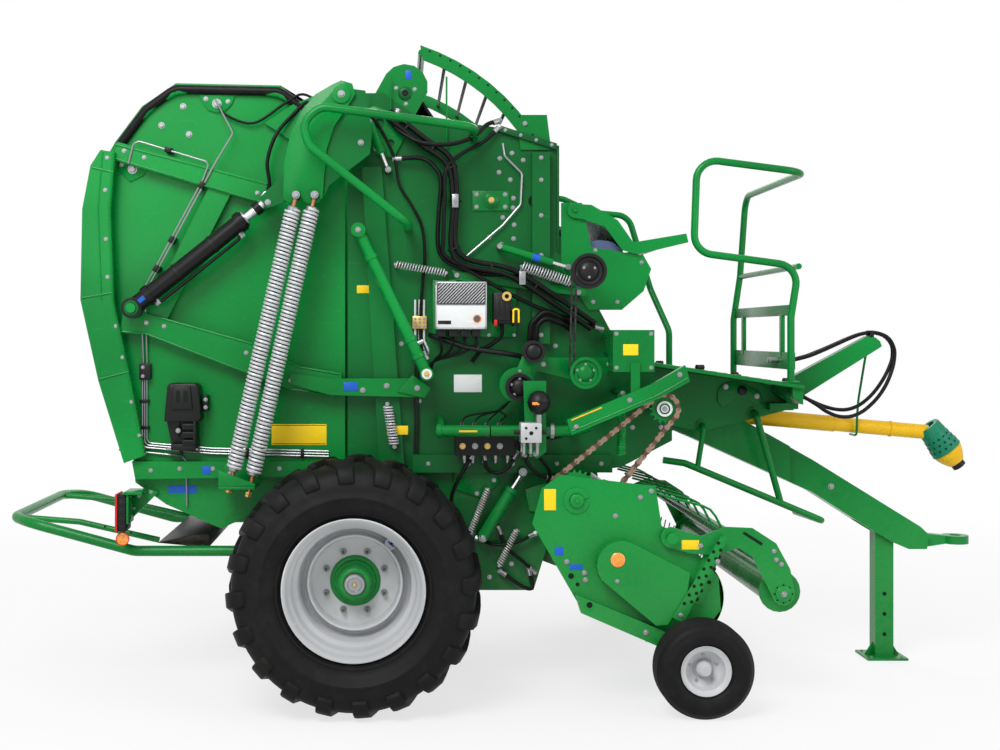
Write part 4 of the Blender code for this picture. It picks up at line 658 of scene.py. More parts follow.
def bored(mesh: bpy.types.Mesh, holes: Sequence[tuple[float, float, float]], near: float,
          far: float) -> bpy.types.Mesh:
    """Cuts round holes through a plate by a Boolean modifier."""
    cutters = Kit()
    for x, z, radius in holes:
        low, high = min(near, far) - 0.01, max(near, far) + 0.01
        cutters.pin(x, z, (low, high), radius, 14, GREEN)
    tool, obj = linked("cutters", cutters.mesh("cutters")), linked("bored", mesh)
    modifier = obj.modifiers.new("holes", "BOOLEAN")
    modifier.object, modifier.operation, modifier.solver = tool, "DIFFERENCE", "EXACT"
    bpy.context.view_layer.update()
    result = bpy.data.meshes.new_from_object(obj.evaluated_get(bpy.context.evaluated_depsgraph_get()))
    for each in (tool, obj):
        bpy.data.objects.remove(each)
    return result


def slab(x_span: Flat, y_span: Flat, z_span: Flat, bevel: float = 0.003) -> bpy.types.Mesh:
    """A block with eased edges, given by its spans from the axle."""
    outline = [(x_span[0], z_span[0]), (x_span[1], z_span[0]), (x_span[1], z_span[1]), (x_span[0], z_span[1])]
    return plate(outline, *y_span, bevel)


def lathe(profile: Sequence[Flat], steps: int = 24, loop: bool = False) -> bpy.types.Mesh:
    """A shape turned about Z.

    Args:
        profile: radius and height of each point.
        steps: points round it.
        loop: whether the last point joins the first.
    """
    bm = bmesh.new()
    rings = []
    for radius, height in profile:
        if radius < 1e-6:
            rings.append([bm.verts.new((0.0, 0.0, height))])
        else:
            rings.append([bm.verts.new((radius * math.cos(math.tau * i / steps),
                                        radius * math.sin(math.tau * i / steps), height)) for i in range(steps)])
    pairs = list(zip(rings, rings[1:])) + ([(rings[-1], rings[0])] if loop else [])
    for low, high in pairs:
        for i in range(steps):
            j = (i + 1) % steps
            corners = [low[i % len(low)], low[j % len(low)], high[j % len(high)], high[i % len(high)]]
            kept = list(dict.fromkeys(corners))
            if len(kept) > 2:
                bm.faces.new(kept)
    return recast(bm)


def facing(way: Aim) -> Euler | Quaternion:
    """The turn that points a part's own Z in a way, by Euler angles or along a vector."""
    if isinstance(way, Way):
        return Euler(way.value)
    return way if isinstance(way, Euler) else way.to_track_quat("Z", "Y")


def placed(mesh: bpy.types.Mesh, where: Vector, way: Aim = Way.UP, size: float = 1.0) -> bpy.types.Mesh:
    """Moves a mesh to a place with its Z turned."""
    mesh.transform(Matrix.Translation(where) @ facing(way).to_matrix().to_4x4() @ Matrix.Scale(size, 4))
    return mesh


def bar(start: Vector, end: Vector, radius: float, sides: int = 16, far: float | None = None,
        ease: float = 0.0) -> bpy.types.Mesh:
    """A round bar between two places, its ends eased, its far radius its own if given."""
    length = (end - start).length
    last = radius if far is None else far
    profile = [(0.0, 0.0), (radius - ease, 0.0), (radius, ease), (last, length - ease), (last - ease, length),
               (0.0, length)]
    if not ease:
        profile = [(0.0, 0.0), (radius, 0.0), (last, length), (0.0, length)]
    return placed(lathe(profile, sides), start, end - start)


def route(points: Iterable[Place], *more: Iterable[Place]) -> bpy.types.Mesh:
    """A mesh of edges through places from the axle, one run for each list."""
    verts, edges = [], []
    for run in (points, *more):
        first = len(verts)
        verts += [at(*p) for p in run]
        edges += [(i, i + 1) for i in range(first, len(verts) - 1)]
    mesh = bpy.data.meshes.new("route")
    mesh.from_pydata(verts, edges, [])
    return mesh


def pipe(points: Sequence[Place], radius: float, corner: float = 0.06, sides: int = 12,
         steps: int = 5) -> bpy.types.Mesh:
    """A round tube through places from the axle."""
    return SWEEP.run(route(points), Radius=radius, Corner=corner, Sides=sides, Steps=steps, Finish=GREEN.material())


def hose(points: Sequence[Place], radius: float, sides: int = 10) -> bpy.types.Mesh:
    """A hose on one smooth curve through places from the axle."""
    dense = smooth_route([Vector(p) for p in points])
    return SWEEP.run(route([tuple(p) for p in dense]), Radius=radius, Corner=0.0, Sides=sides, Steps=1,
                     Finish=HOSE.material())


def smooth_route(points: Sequence[Vector], each: int = 6) -> list[Vector]:
    """Points on one smooth curve through the given ones."""
    ends = [points[0] * 2 - points[1], *points, points[-1] * 2 - points[-2]]
    result = []
    for i in range(1, len(ends) - 2):
        p0, p1, p2, p3 = ends[i - 1:i + 3]
        for k in range(each):
            t = k / each
            result.append(0.5 * ((2 * p1) + (p2 - p0) * t + (2 * p0 - 5 * p1 + 4 * p2 - p3) * t * t
                                 + (3 * p1 - p0 - 3 * p2 + p3) * t ** 3))
    return result + [points[-1].copy()]


def coil(start: Vector, end: Vector, radius: float, wire: float, turns: float) -> bpy.types.Mesh:
    """A coil spring between two places."""
    length = (end - start).length
    mesh = COILS.run(bpy.data.meshes.new("seed"), Radius=radius - wire, Height=length, Turns=float(turns), Wire=wire,
                     Finish=COIL.material())
    return placed(mesh, start, end - start)


def copies(part: bpy.types.Mesh, spots: Sequence[tuple[Vector, Aim, float]]) -> bpy.types.Mesh:
    """Copies of a part, each with its place, the way of its Z, and its size."""
    seed = bpy.data.meshes.new("spots")
    seed.from_pydata([spot[0] for spot in spots], [], [])
    turns, sizes = [], []
    for _, way, size in spots:
        turn = facing(way)
        turns += list(turn if isinstance(turn, Euler) else turn.to_euler())
        sizes += [size] * 3
    seed.attributes.new("turn", "FLOAT_VECTOR", "POINT").data.foreach_set("vector", turns)
    seed.attributes.new("size", "FLOAT_VECTOR", "POINT").data.foreach_set("vector", sizes)
    obj = linked("part", part)
    mesh = COPIES.run(seed, Part=obj, Finish=GREEN.material())
    bpy.data.objects.remove(obj)
    return mesh


def bolt() -> bpy.types.Mesh:
    """A hexagon bolt on its washer, with a radius of 1."""
    washer = lathe(puck(1.35, 0.22), 14)
    head = lathe([(0.0, 0.22), (1.0, 0.22), (1.0, 0.82), (0.84, 0.95), (0.0, 0.95)], 6)
    return Kit().add(washer, ZINC).add(head, ZINC).mesh("bolt")


class Kit:
    """Meshes of several finishes gathered into one."""

    def __init__(self) -> None:
        """Starts empty."""
        self.bm = bmesh.new()
        self.finishes: list[Finish] = []

    def add(self, mesh: bpy.types.Mesh, finish: Finish) -> "Kit":
        if finish not in self.finishes:
            self.finishes.append(finish)
        index = self.finishes.index(finish)
        mesh.polygons.foreach_set("material_index", [index] * len(mesh.polygons))
        self.bm.from_mesh(mesh)
        bpy.data.meshes.remove(mesh)
        return self

    def turned(self, profile: Sequence[Flat], steps: int, where: Vector, way: Aim, finish: Finish,
               loop: bool = False) -> "Kit":
        """Adds a shape turned about its own Z."""
        return self.add(placed(lathe(profile, steps, loop), where, way), finish)

    def pin(self, x: float, z: float, y_span: Flat, radius: float, sides: int, finish: Finish,
            ease: float = 0.0) -> "Kit":
        """Adds a round bar that lies across the machine."""
        return self.add(bar(at(x, y_span[0], z), at(x, y_span[1], z), radius, sides, ease=ease), finish)

    def post(self, x: float, y: float, z_span: Flat, radius: float, sides: int, finish: Finish,
             ease: float = 0.0) -> "Kit":
        """Adds a round bar that stands upright."""
        return self.add(bar(at(x, y, z_span[0]), at(x, y, z_span[1]), radius, sides, ease=ease), finish)

    def box(self, x_span: Flat, y_span: Flat, z_span: Flat, finish: Finish, bevel: float = 0.003) -> "Kit":
        """Adds a block given by its spans from the axle."""
        return self.add(slab(x_span, y_span, z_span, bevel), finish)

    def plate(self, outline: Sequence[Flat], near: float, far: float, finish: Finish, bevel: float = 0.002,
              holes: Sequence[Place] = ()) -> "Kit":
        """Adds a flat plate between two Y values."""
        return self.add(plate(outline, near, far, bevel, holes), finish)

    def pipe(self, points: Sequence[Place], radius: float, corner: float, sides: int, finish: Finish,
             steps: int = 5) -> "Kit":
        """Adds a round tube through places from the axle."""
        return self.add(pipe(points, radius, corner, sides, steps), finish)

    def hose(self, points: Sequence[Place], radius: float, sides: int = 10) -> "Kit":
        """Adds a hose on one smooth curve."""
        return self.add(hose(points, radius, sides), HOSE)

    def mesh(self, name: str) -> bpy.types.Mesh:
        """The gathered mesh, smooth up to the crease angle."""
        made = bpy.data.meshes.new(name)
        for face in self.bm.faces:
            face.smooth = True
        self.bm.to_mesh(made)
        self.bm.free()
        for finish in self.finishes:
            made.materials.append(finish.material())
        made.set_sharp_from_angle(angle=CREASE)
        return made


class Piece(Kit):
    """A piece of the dressed machine that moves with one body."""

    def __init__(self, name: str, body: str) -> None:
        """Names the piece and its body."""
        super().__init__()
        self.name = name
        self.body = body

    def bolts(self, spots: Iterable[Place], way: Way, size: float = 0.01, finish: Finish | None = None) -> "Piece":
        """Adds hexagon bolts at places from the axle."""
        return self.add(copies(bolt(), [(at(*spot), way, size) for spot in spots]), finish or ZINC)

    def row(self, y: float, spots: Iterable[Flat], way: Way, size: float = 0.01,
            finish: Finish | None = None) -> "Piece":
        """Adds hexagon bolts on one face, given by X and Z."""
        return self.bolts([(x, y, z) for x, z in spots], way, size, finish)

    def done(self, *replaced: str) -> bpy.types.Object:
        """Makes the object, lets it ride on its body and stand for the CAD nodes that it replaces."""
        obj = linked(self.name, self.mesh(self.name))
        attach(obj, self.body)
        if replaced:
            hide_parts(*replaced)
        LOG.info("%s on %s, %d faces, for %s", self.name, self.body, len(obj.data.polygons), replaced or "-")
        return obj


def around(x: float, z: float, radius: float, angle: float) -> Flat:
    """A point on a circle, at an angle in degrees from +X towards +Z."""
    return x + radius * math.cos(math.radians(angle)), z + radius * math.sin(math.radians(angle))


def arc(x: float, z: float, radius: float, start: float, end: float, steps: int) -> list[Flat]:
    """Points on an arc, from one angle to another."""
    return [around(x, z, radius, start + (end - start) * i / steps) for i in range(steps + 1)]


# The solids that keep their shape

@dataclass
class KeptSolids:
    """The CAD solids that show as they are, with eased edges and their own finishes."""

    ease: float = 0.003
    sharp: float = 50.0
    weld: float = 1e-5
    flat: float = 0.5
    # the chamber walls take the darker copy of the green, which is painted shade
    unlike: tuple[tuple[str, Finish], ...] = (
        ("net_roll", FILM), ("hitch_eye", GREEN), ("gearbox", SHADE), ("chamber_wall_right", GREEN_PAINTED_SHADE),
        ("chamber_wall_left", GREEN_PAINTED_SHADE), ("ram_rod_right", CHROME), ("ram_rod_left", CHROME))
    softer: tuple[tuple[str, float], ...] = (("pickup_drive_cover", 0.012), ("rear_cover", 0.005),
                                             ("tailgate_hull", 0.005), ("drive_guard", 0.005))

    def smoothing(self) -> bpy.types.NodeTree:
        """A tree that smooths faces up to the sharp angle."""
        group = bpy.data.node_groups.new("smoothing", "GeometryNodeTree")
        group.interface.new_socket("Geometry", in_out="INPUT", socket_type="NodeSocketGeometry")
        group.interface.new_socket("Geometry", in_out="OUTPUT", socket_type="NodeSocketGeometry")
        add, link = group.nodes.new, group.links.new
        entry, leave = add("NodeGroupInput"), add("NodeGroupOutput")
        angle, less = add("GeometryNodeInputMeshEdgeAngle"), add("FunctionNodeCompare")
        less.data_type, less.operation = "FLOAT", "LESS_EQUAL"
        less.inputs["B"].default_value = math.radians(self.sharp)
        faces, edges = add("GeometryNodeSetShadeSmooth"), add("GeometryNodeSetShadeSmooth")
        faces.domain, edges.domain = "FACE", "EDGE"
        link(entry.outputs[0], faces.inputs["Geometry"])
        link(faces.outputs[0], edges.inputs["Geometry"])
        link(angle.outputs["Unsigned Angle"], less.inputs["A"])
        link(less.outputs[0], edges.inputs["Shade Smooth"])
        link(edges.outputs[0], leave.inputs[0])
        return group

    def dress(self) -> None:
        """Gives every CAD node that isn't replaced its finish and eased edges."""
        group = self.smoothing()
        special, softer = dict(self.unlike), dict(self.softer)
        for name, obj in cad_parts.items():
            for slot in obj.material_slots:
                old = slot.material.name.split(".")[0] if slot.material else "green_paint"
                slot.material = special.get(name, SLOTS.get(old, GREEN)).material()
            weld = obj.modifiers.new("weld", "WELD")
            weld.merge_threshold = self.weld
            flat = obj.modifiers.new("flat", "DECIMATE")
            flat.decimate_type, flat.angle_limit = "DISSOLVE", math.radians(self.flat)
            obj.modifiers.new("smooth", "NODES").node_group = group
            edge = obj.modifiers.new("edge", "BEVEL")
            edge.width, edge.segments, edge.limit_method = softer.get(name, self.ease), 2, "ANGLE"
            edge.angle_limit, edge.harden_normals = math.radians(self.sharp), True
            LOG.info("%s keeps its solid", name)


# Light, floor and camera

@dataclass
class Studio:
    """The pale floor, the soft light and the camera at the photograph's angle."""

    eye: Place = (-0.507, -7.2, 1.6)
    lens: float = 52.06
    shift: Flat = (0.1, -0.04)
    sensor: float = 36.0
    ambient: float = 0.6
    # name, place, aim, size and power; the sheen shows in reflections alone
    lamps: tuple[tuple[str, Place, Place, float, float], ...] = (
        ("key", (-2.5, -6.0, 6.5), (0.0, 0.0, 1.2), 4.0, 480.0),
        ("fill", (6.0, -5.0, 3.5), (0.5, 0.0, 1.0), 4.0, 110.0),
        ("sheen", (-3.3, -8.2, 3.1), (-0.6, 0.0, 1.5), 2.6, 35.0),
        ("back", (0.5, 6.0, 6.0), (0.0, 0.0, 1.4), 4.0, 150.0))

    def white(self, graph: Nodes) -> Wire:
        """1 for rays that see the background, straight, by a reflection or through glass."""
        camera, glossy, through = graph.rays()
        return graph.node("ShaderNodeMath", {"operation": "MINIMUM"}, camera + glossy + through, 1.0)

    def floor(self) -> None:
        """A pale floor whose far part glows as white as the background."""
        graph = Graph("floor_white")
        reach = graph.node("ShaderNodeVectorMath", {"operation": "LENGTH"}, graph.place, out="Value")
        graph.set(Base_Color=graph.mix((0.8, 0.8, 0.8), (0.84, 0.84, 0.84), graph.noise(1.5)), Roughness=0.55,
                  Emission_Color=WHITE, Emission_Strength=0.0)
        glow = graph.node("ShaderNodeEmission", {}, WHITE, 1.0)
        blend = graph.tree.nodes.new("ShaderNodeMixShader")
        factor = (reach.step(3.0, 7.5) * 0.28 + 0.72) * self.white(graph)
        graph.feed(blend.inputs[0], factor)
        graph.tree.links.new(graph.shader.outputs[0], blend.inputs[1])
        graph.tree.links.new(glow.socket, blend.inputs[2])
        output = next(n for n in graph.tree.nodes if n.type == "OUTPUT_MATERIAL")
        graph.tree.links.new(blend.outputs[0], output.inputs[0])
        bm = bmesh.new()
        bmesh.ops.create_circle(bm, cap_ends=True, segments=64, radius=60.0)
        bmesh.ops.translate(bm, vec=(0, 0, -0.0005), verts=bm.verts)
        mesh = bpy.data.meshes.new("floor")
        bm.to_mesh(mesh)
        bm.free()
        mesh.materials.append(graph.material)
        linked("floor", mesh)

    def world(self) -> None:
        """A world that looks white and lights plainly."""
        made = bpy.data.worlds.new("studio")
        bpy.context.scene.world = made
        made.use_nodes = True
        graph = Nodes(made.node_tree)
        level = graph.node("ShaderNodeMapRange", {}, self.white(graph), 0.0, 1.0, self.ambient, 1.0)
        for key, value in (("Color", WHITE), ("Strength", level)):
            graph.feed(made.node_tree.nodes["Background"].inputs[key], value)

    def lamp(self, name: str, place: Place, aim: Place, size: float, power: float) -> bpy.types.Object:
        """One soft area lamp aimed at a place."""
        light = bpy.data.lights.new(name, "AREA")
        light.shape, light.size, light.energy = "DISK", size, power
        obj = linked(name, light)
        obj.location = place
        obj.rotation_euler = (Vector(aim) - Vector(place)).to_track_quat("-Z", "Y").to_euler()
        return obj

    def build(self) -> None:
        """Builds the whole studio."""
        bpy.context.scene.view_settings.view_transform = "Standard"
        self.floor()
        self.world()
        for name, place, aim, size, power in self.lamps:
            self.lamp(name, place, aim, size, power).visible_diffuse = name != "sheen"
        camera = bpy.data.cameras.new("camera")
        camera.lens, camera.sensor_width = self.lens, self.sensor
        camera.shift_x, camera.shift_y = self.shift
        obj = linked("camera", camera)
        obj.location = self.eye
        obj.rotation_euler = (math.pi / 2, 0.0, 0.0)
        bpy.context.scene.camera = obj


# Running gear

@dataclass
class MainWheel(Sided):
    """A road wheel: a lugged tyre on a dished rim with its hub and bolts."""

    radius: float = 0.54
    lugs: int = 20
    bolt_circle: float = 0.135

    @property
    def centre(self) -> Vector:
        """The wheel's middle."""
        return Vector((AXLE_X, self.out * TYRE_Y, self.radius))

    def casing(self) -> bpy.types.Mesh:
        """The tyre's carcass below its lugs, with its sidewall beads."""
        base = self.radius - 0.024
        half = [(0.2885, 0.185), (0.3, 0.203), (0.312, 0.21), (0.318, 0.222), (0.326, 0.224), (0.332, 0.238),
                (0.36, 0.258), (0.385, 0.266), (0.389, 0.27), (0.397, 0.27), (0.402, 0.2665), (0.43, 0.266),
                (0.458, 0.258), (0.485, 0.244), (0.503, 0.225), (base - 0.006, 0.19), (base, 0.11), (base, 0.0)]
        profile = half + [(r, -y) for r, y in reversed(half[:-1])] + [(0.2885, 0.0)]
        return placed(lathe(profile, 96, True), self.centre, self.way)

    def lug(self, turn: float, hand: int) -> bpy.types.Mesh:
        """One curved lug from the tread's middle over the shoulder and down the sidewall.

        Args:
            turn: its place round the tyre in radians.
            hand: the half of the tread that it lies on, as the sign of Y.
        """
        top, wide = self.radius - 0.0008, self.out * TYRE_Y
        # distance from the middle, sweep back in radians, outer radius, foot radius, half width
        rows = [(-0.022, 0.045, top, 0.5, 0.02), (0.045, 0.02, top, 0.5, 0.026), (0.12, -0.035, top, 0.5, 0.031),
                (0.19, -0.072, top - 0.004, 0.495, 0.033), (0.236, -0.088, top - 0.018, 0.48, 0.034),
                (0.2575, -0.094, 0.503, 0.455, 0.034), (0.27, -0.098, 0.476, 0.44, 0.033),
                (0.2725, -0.1, 0.456, 0.43, 0.031)]
        rings = []
        for y, sweep, high, low, half in rows:
            ring = []
            for radius, across in ((low, -half - 0.006), (high, -half + 0.002), (high, half - 0.002),
                                   (low, half + 0.006)):
                inset = 0.03 if low < 0.46 and radius == low else 0.0
                angle = turn + sweep + across / radius
                ring.append((AXLE_X + radius * math.cos(angle), wide + hand * (y - inset),
                             self.radius + radius * math.sin(angle)))
            rings.append(ring)
        return lofted(rings, 0.004)

    def rim(self) -> bpy.types.Mesh:
        """The pressed rim with its stepped dish."""
        outer = [(0.04, -0.05), (0.176, -0.05), (0.186, -0.046), (0.19, -0.036), (0.191, 0.0), (0.196, 0.01),
                 (0.204, 0.012), (0.209, 0.004), (0.21, -0.03), (0.226, -0.034), (0.236, -0.026), (0.24, -0.01),
                 (0.241, 0.07), (0.246, 0.084), (0.256, 0.092), (0.262, 0.104), (0.264, 0.15), (0.268, 0.16),
                 (0.276, 0.17), (0.281, 0.186), (0.286, 0.212), (0.296, 0.221), (0.3005, 0.22), (0.3, 0.212),
                 (0.2935, 0.2), (0.288, 0.187)]
        inner = [(0.288, -0.187), (0.2935, -0.2), (0.3, -0.212), (0.296, -0.216), (0.284, -0.205), (0.27, -0.18),
                 (0.24, -0.1), (0.18, -0.075), (0.1, -0.068), (0.04, -0.066)]
        return placed(lathe(outer + inner, 96, True), self.centre, self.way)

    def build(self) -> None:
        """Builds the tyre and the rim."""
        out, c = self.out, self.centre
        tyre = Piece("tyre_lugged_" + self.word, "wheel_" + self.word).add(self.casing(), TYRE)
        pitch = math.tau / self.lugs
        for i in range(self.lugs):
            tyre.add(self.lug(i * pitch, 1), TYRE)
            tyre.add(self.lug((i + 0.5) * pitch, -1), TYRE)
        tyre.done("tyre_" + self.word)
        face = self.outward(-0.0505)
        rim = Piece("rim_dished_" + self.word, "wheel_" + self.word).add(self.rim(), SILVER)
        hub = [(0.0, -0.052), (0.109, -0.052), (0.109, -0.044), (0.104, -0.04), (0.092, -0.038), (0.088, -0.02),
               (0.076, -0.012), (0.071, 0.036), (0.064, 0.044), (0.054, 0.046), (0.05, 0.046), (0.05, 0.04),
               (0.0, 0.04)]
        rim.turned(hub, 40, c, self.way, GREEN)
        cap = [(0.0, 0.036), (0.046, 0.036), (0.046, 0.06), (0.042, 0.066), (0.03, 0.068), (0.028, 0.064),
               (0.0, 0.062)]
        rim.turned(cap, 32, c, self.way, ZINC)
        rim.turned(button(0.01, 0.008, 0.007, 0.011), 6, c + self.outward(0.062), self.way, BRASS)
        spots = [math.tau * (i + 0.5) / 8 for i in range(8)]
        ring = [Vector((math.cos(a), 0, math.sin(a))) for a in spots]
        for profile, sides, lift, finish in (([(0.0, 0.0), (0.015, 0.0), (0.013, 0.007), (0.0, 0.007)], 16, 0.0,
                                              ZINC), (button(0.0125, 0.014, 0.01, 0.017), 6, 0.006, ZINC),
                                             (button(0.0065, 0.016, 0.004, 0.02), 10, 0.018, SHADE)):
            nuts = [(c + v * self.bolt_circle + face + self.outward(lift), self.way, 1.0) for v in ring]
            rim.add(copies(lathe(profile, sides), nuts), finish)
        hub_ring = [Vector((math.cos(a + 0.39), 0, math.sin(a + 0.39))) for a in spots]
        rim.add(copies(bolt(), [(c + v * 0.082 + self.outward(-0.022), self.way, 0.006) for v in hub_ring]), GREEN)
        # the valve in its cup, and a blank label on the dish
        cup = c + Vector((0.152, out * 0.01, 0.166))
        rim.turned([(0.0, 0.0), (0.024, 0.0), (0.024, 0.012), (0.02, 0.012), (0.018, 0.004), (0.0, 0.004)], 20, cup,
                   self.way, SILVER)
        rim.add(bar(cup, cup + Vector((0.018, out * 0.04, 0.014)), 0.0055, 10, 0.0045, 0.001), DARK)
        angle = math.radians(47)
        radial, along = Vector((math.cos(angle), 0, math.sin(angle))), Vector((-math.sin(angle), 0, math.cos(angle)))
        slope = (radial + self.outward(0.9)).normalized()
        rim.add(sticker(c + radial * 0.222 + self.outward(0.014), along, slope, 0.034, 0.016,
                        along.cross(slope).normalized() * 0.002, 0.0004), TAG)
        rim.done("rim_" + self.word)


@dataclass
class GaugeWheel(Sided):
    """A small wheel beside the pickup, on its arm's stub."""

    radius: float = 0.205
    x: float = 1.463
    y: float = 1.145

    def build(self) -> None:
        """Builds tyre, rim and hub as one piece."""
        out = self.out
        c = at(self.x, out * self.y, self.radius)
        base = self.radius - 0.005
        half = [(0.1, 0.05), (0.109, 0.06), (0.116, 0.072), (0.124, 0.076), (0.14, 0.0795), (0.152, 0.08),
                (0.156, 0.077), (0.17, 0.0765), (0.184, 0.07), (0.192, 0.06), (0.1985, 0.05)]
        tread = []
        for i in range(5):
            y = 0.044 - i * 0.022
            tread += [(base + 0.0045, y), (base + 0.0045, y - 0.008), (base - 0.001, y - 0.01),
                      (base - 0.001, y - 0.018)]
        profile = half + tread[:-2] + [(r, -y) for r, y in reversed(half)] + [(0.097, 0.0)]
        wheel = Piece("gauge_wheel_dressed_" + self.word, "gauge_" + self.word)
        wheel.turned(profile, 64, c, self.way, TYRE, True)
        rim = [(0.0, -0.012), (0.04, -0.012), (0.052, 0.004), (0.07, 0.01), (0.078, 0.022), (0.083, 0.05),
               (0.094, 0.056), (0.1035, 0.066), (0.106, 0.063), (0.098, 0.05), (0.097, -0.05), (0.106, -0.062),
               (0.1, -0.062), (0.086, -0.03), (0.03, -0.034), (0.0, -0.034)]
        wheel.turned(rim, 48, c, self.way, SILVER)
        hub = [(0.0, -0.013), (0.034, -0.013), (0.034, 0.012), (0.03, 0.03), (0.026, 0.034), (0.026, 0.046),
               (0.021, 0.052), (0.0, 0.052)]
        wheel.turned(hub, 32, c, self.way, SILVER)
        wheel.turned([(0.0, 0.0), (0.02, 0.0), (0.02, 0.002), (0.0, 0.004)], 24, c + self.outward(0.05), self.way,
                     ALLOY)
        ring = [(math.cos(math.tau * (i + 0.3) / 5), math.sin(math.tau * (i + 0.3) / 5)) for i in range(5)]
        wheel.add(copies(bolt(), [(c + Vector((a * 0.058, out * 0.0045, b * 0.058)), self.way, 0.0065) for a,
                                  b in ring]), ZINC)
        wheel.done("gauge_wheel_" + self.word)


# Tailgate

@dataclass
class SpringPack(Sided):
    """Two long tension springs with threaded rods, their lobed lever and their foot."""

    radius: float = 0.0365
    wire: float = 0.0062
    pitch: float = 0.0165
    runs: tuple[tuple[Flat, Flat], ...] = (((-0.533, 1.016), (-0.276, 2.15)), ((-0.448, 0.997), (-0.194, 2.15)))

    def build(self) -> None:
        """Builds the pack as one piece on the tailgate."""
        out, y = self.out, self.out * SPRING_Y
        pack = Piece("spring_pack_" + self.word, "tailgate")
        lever = [(-0.103, 2.705), (-0.065, 2.722), (-0.018, 2.708), (-0.003, 2.662), (-0.03, 2.618), (-0.096, 2.52),
                 (-0.13, 2.42), (-0.14, 2.3), (-0.148, 2.205), (-0.166, 2.18), (-0.215, 2.176), (-0.238, 2.196),
                 (-0.256, 2.184), (-0.3, 2.18), (-0.322, 2.2), (-0.322, 2.25), (-0.318, 2.36), (-0.292, 2.48),
                 (-0.24, 2.59), (-0.18, 2.66)]
        pack.add(plate(lever, *self.near(0.822, 0.834), 0.003, holes=((-0.065, 2.66, 0.0309),)), GREEN)
        for (fx, fz), (hx, hz) in self.runs:
            low, high = at(fx, y, fz), at(hx, y, hz)
            along = (high - low).normalized()
            turns = (high - low).length / self.pitch
            pack.add(coil(low, high, self.radius, self.wire, turns), COIL)
            pack.add(bar(low + along * 0.004, high - along * 0.004, self.radius - 0.016, 12), SHADE)
            for end, way in ((low, -1), (high, 1)):
                pack.add(bar(end - along * way * 0.03, end + along * way * 0.012, self.radius - 0.011, 16,
                             ease=0.003), ZINC)
            foot_end = low - along * 0.11
            pack.add(bar(foot_end, low, 0.009, 12), COPPER)
            pack.add(bar(high, high + along * 0.062, 0.0095, 12), COPPER)
            for lift in (0.0, 0.012, 0.096, 0.107):
                spot = low - along * lift
                pack.turned(puck(0.0155, 0.009), 6, spot, along, BRASS)
            pin = high + along * 0.064
            pack.add(bar(Vector((pin.x, out * 0.828, pin.z)), Vector((pin.x, out * 0.886, pin.z)), 0.02, 20,
                         ease=0.002), SHADE)
            pack.bolts([(pin.x - AXLE_X, out * 0.886, pin.z)], self.way, 0.013)
        pack.box((-0.6, -0.44), self.near(0.6853, 0.892), (0.925, 0.937), GREEN)
        pack.box((-0.6, -0.44), self.near(0.6853, 0.697), (0.93, 1.02), GREEN)
        web = [(-0.6, 0.937), (-0.44, 0.937), (-0.44, 0.95), (-0.6, 1.01)]
        pack.add(plate(web, *self.near(0.884, 0.89)), GREEN)
        pack.bolts([(-0.57, out * 0.697, 0.975), (-0.47, out * 0.697, 0.975)], self.way, 0.01)
        pack.done("springs_" + self.word)


@dataclass
class TailgateRam(Sided):
    """The fittings of a tailgate cylinder: collars, gland, side pipe, eye and label."""

    foot: Flat = (-1.0, 1.72)
    head: Flat = (-0.391, 2.206)
    y: float = 0.75

    def build(self) -> None:
        """Builds the dressed barrel on its own body."""
        y = self.out * self.y
        foot, head = at(self.foot[0], y, self.foot[1]), at(self.head[0], y, self.head[1])
        along = (head - foot).normalized()
        up = Vector((-along.z, 0, along.x))
        parts = Piece("ram_fittings_" + self.word, "ram_" + self.word)
        ring = [(0.0415, 0.0), (0.0475, 0.0), (0.0475, 0.03), (0.0415, 0.03)]
        parts.turned(ring, 32, foot + along * 0.6, along, BLACK, True)
        parts.turned(ring, 32, foot + along * 0.078, along, BLACK, True)
        parts.turned(hoop(0.0225, 0.039, 0.006), 24, foot + along * 0.6405, along, ZINC, True)
        side_pipe = [foot + along * 0.1 + up * -0.04, foot + along * 0.112 + up * -0.056,
                     foot + along * 0.56 + up * -0.056, foot + along * 0.59 + up * -0.04]
        parts.add(SWEEP.run(route([tuple(p - Vector((AXLE_X, 0, 0))) for p in side_pipe]), Radius=0.008, Corner=0.02,
                            Sides=10, Steps=4, Finish=BLACK.material()), BLACK)
        for reach in (0.104, 0.585):
            parts.add(bar(foot + along * reach + up * -0.036, foot + along * reach + up * -0.062, 0.013, 6), ZINC)
        for reach in (0.25, 0.45):
            parts.turned(hoop(0.0405, 0.0425, 0.012), 28, foot + along * reach, along, DARK, True)
        parts.turned([(0.0235, 0.0), (0.0345, 0.0), (0.0325, 0.004), (0.0235, 0.004)], 24,
                     foot + self.outward(0.0362), self.way, SHADE, True)
        parts.add(sticker(foot + along * 0.07 + self.outward(0.0405), along, up, 0.052, 0.02, self.outward(0.0012),
                          0.00036), TAG)
        parts.done()
        rod = Piece("ram_rod_eye_" + self.word, "rod_" + self.word)
        rod.turned(hoop(0.0245, 0.034, 0.003), 24, head + self.outward(-0.0325), self.way, ZINC, True)
        rod.turned(hoop(0.0215, 0.03, 0.034), 24, head - along * 0.082, along, BLACK, True)
        rod.done()


# Drives

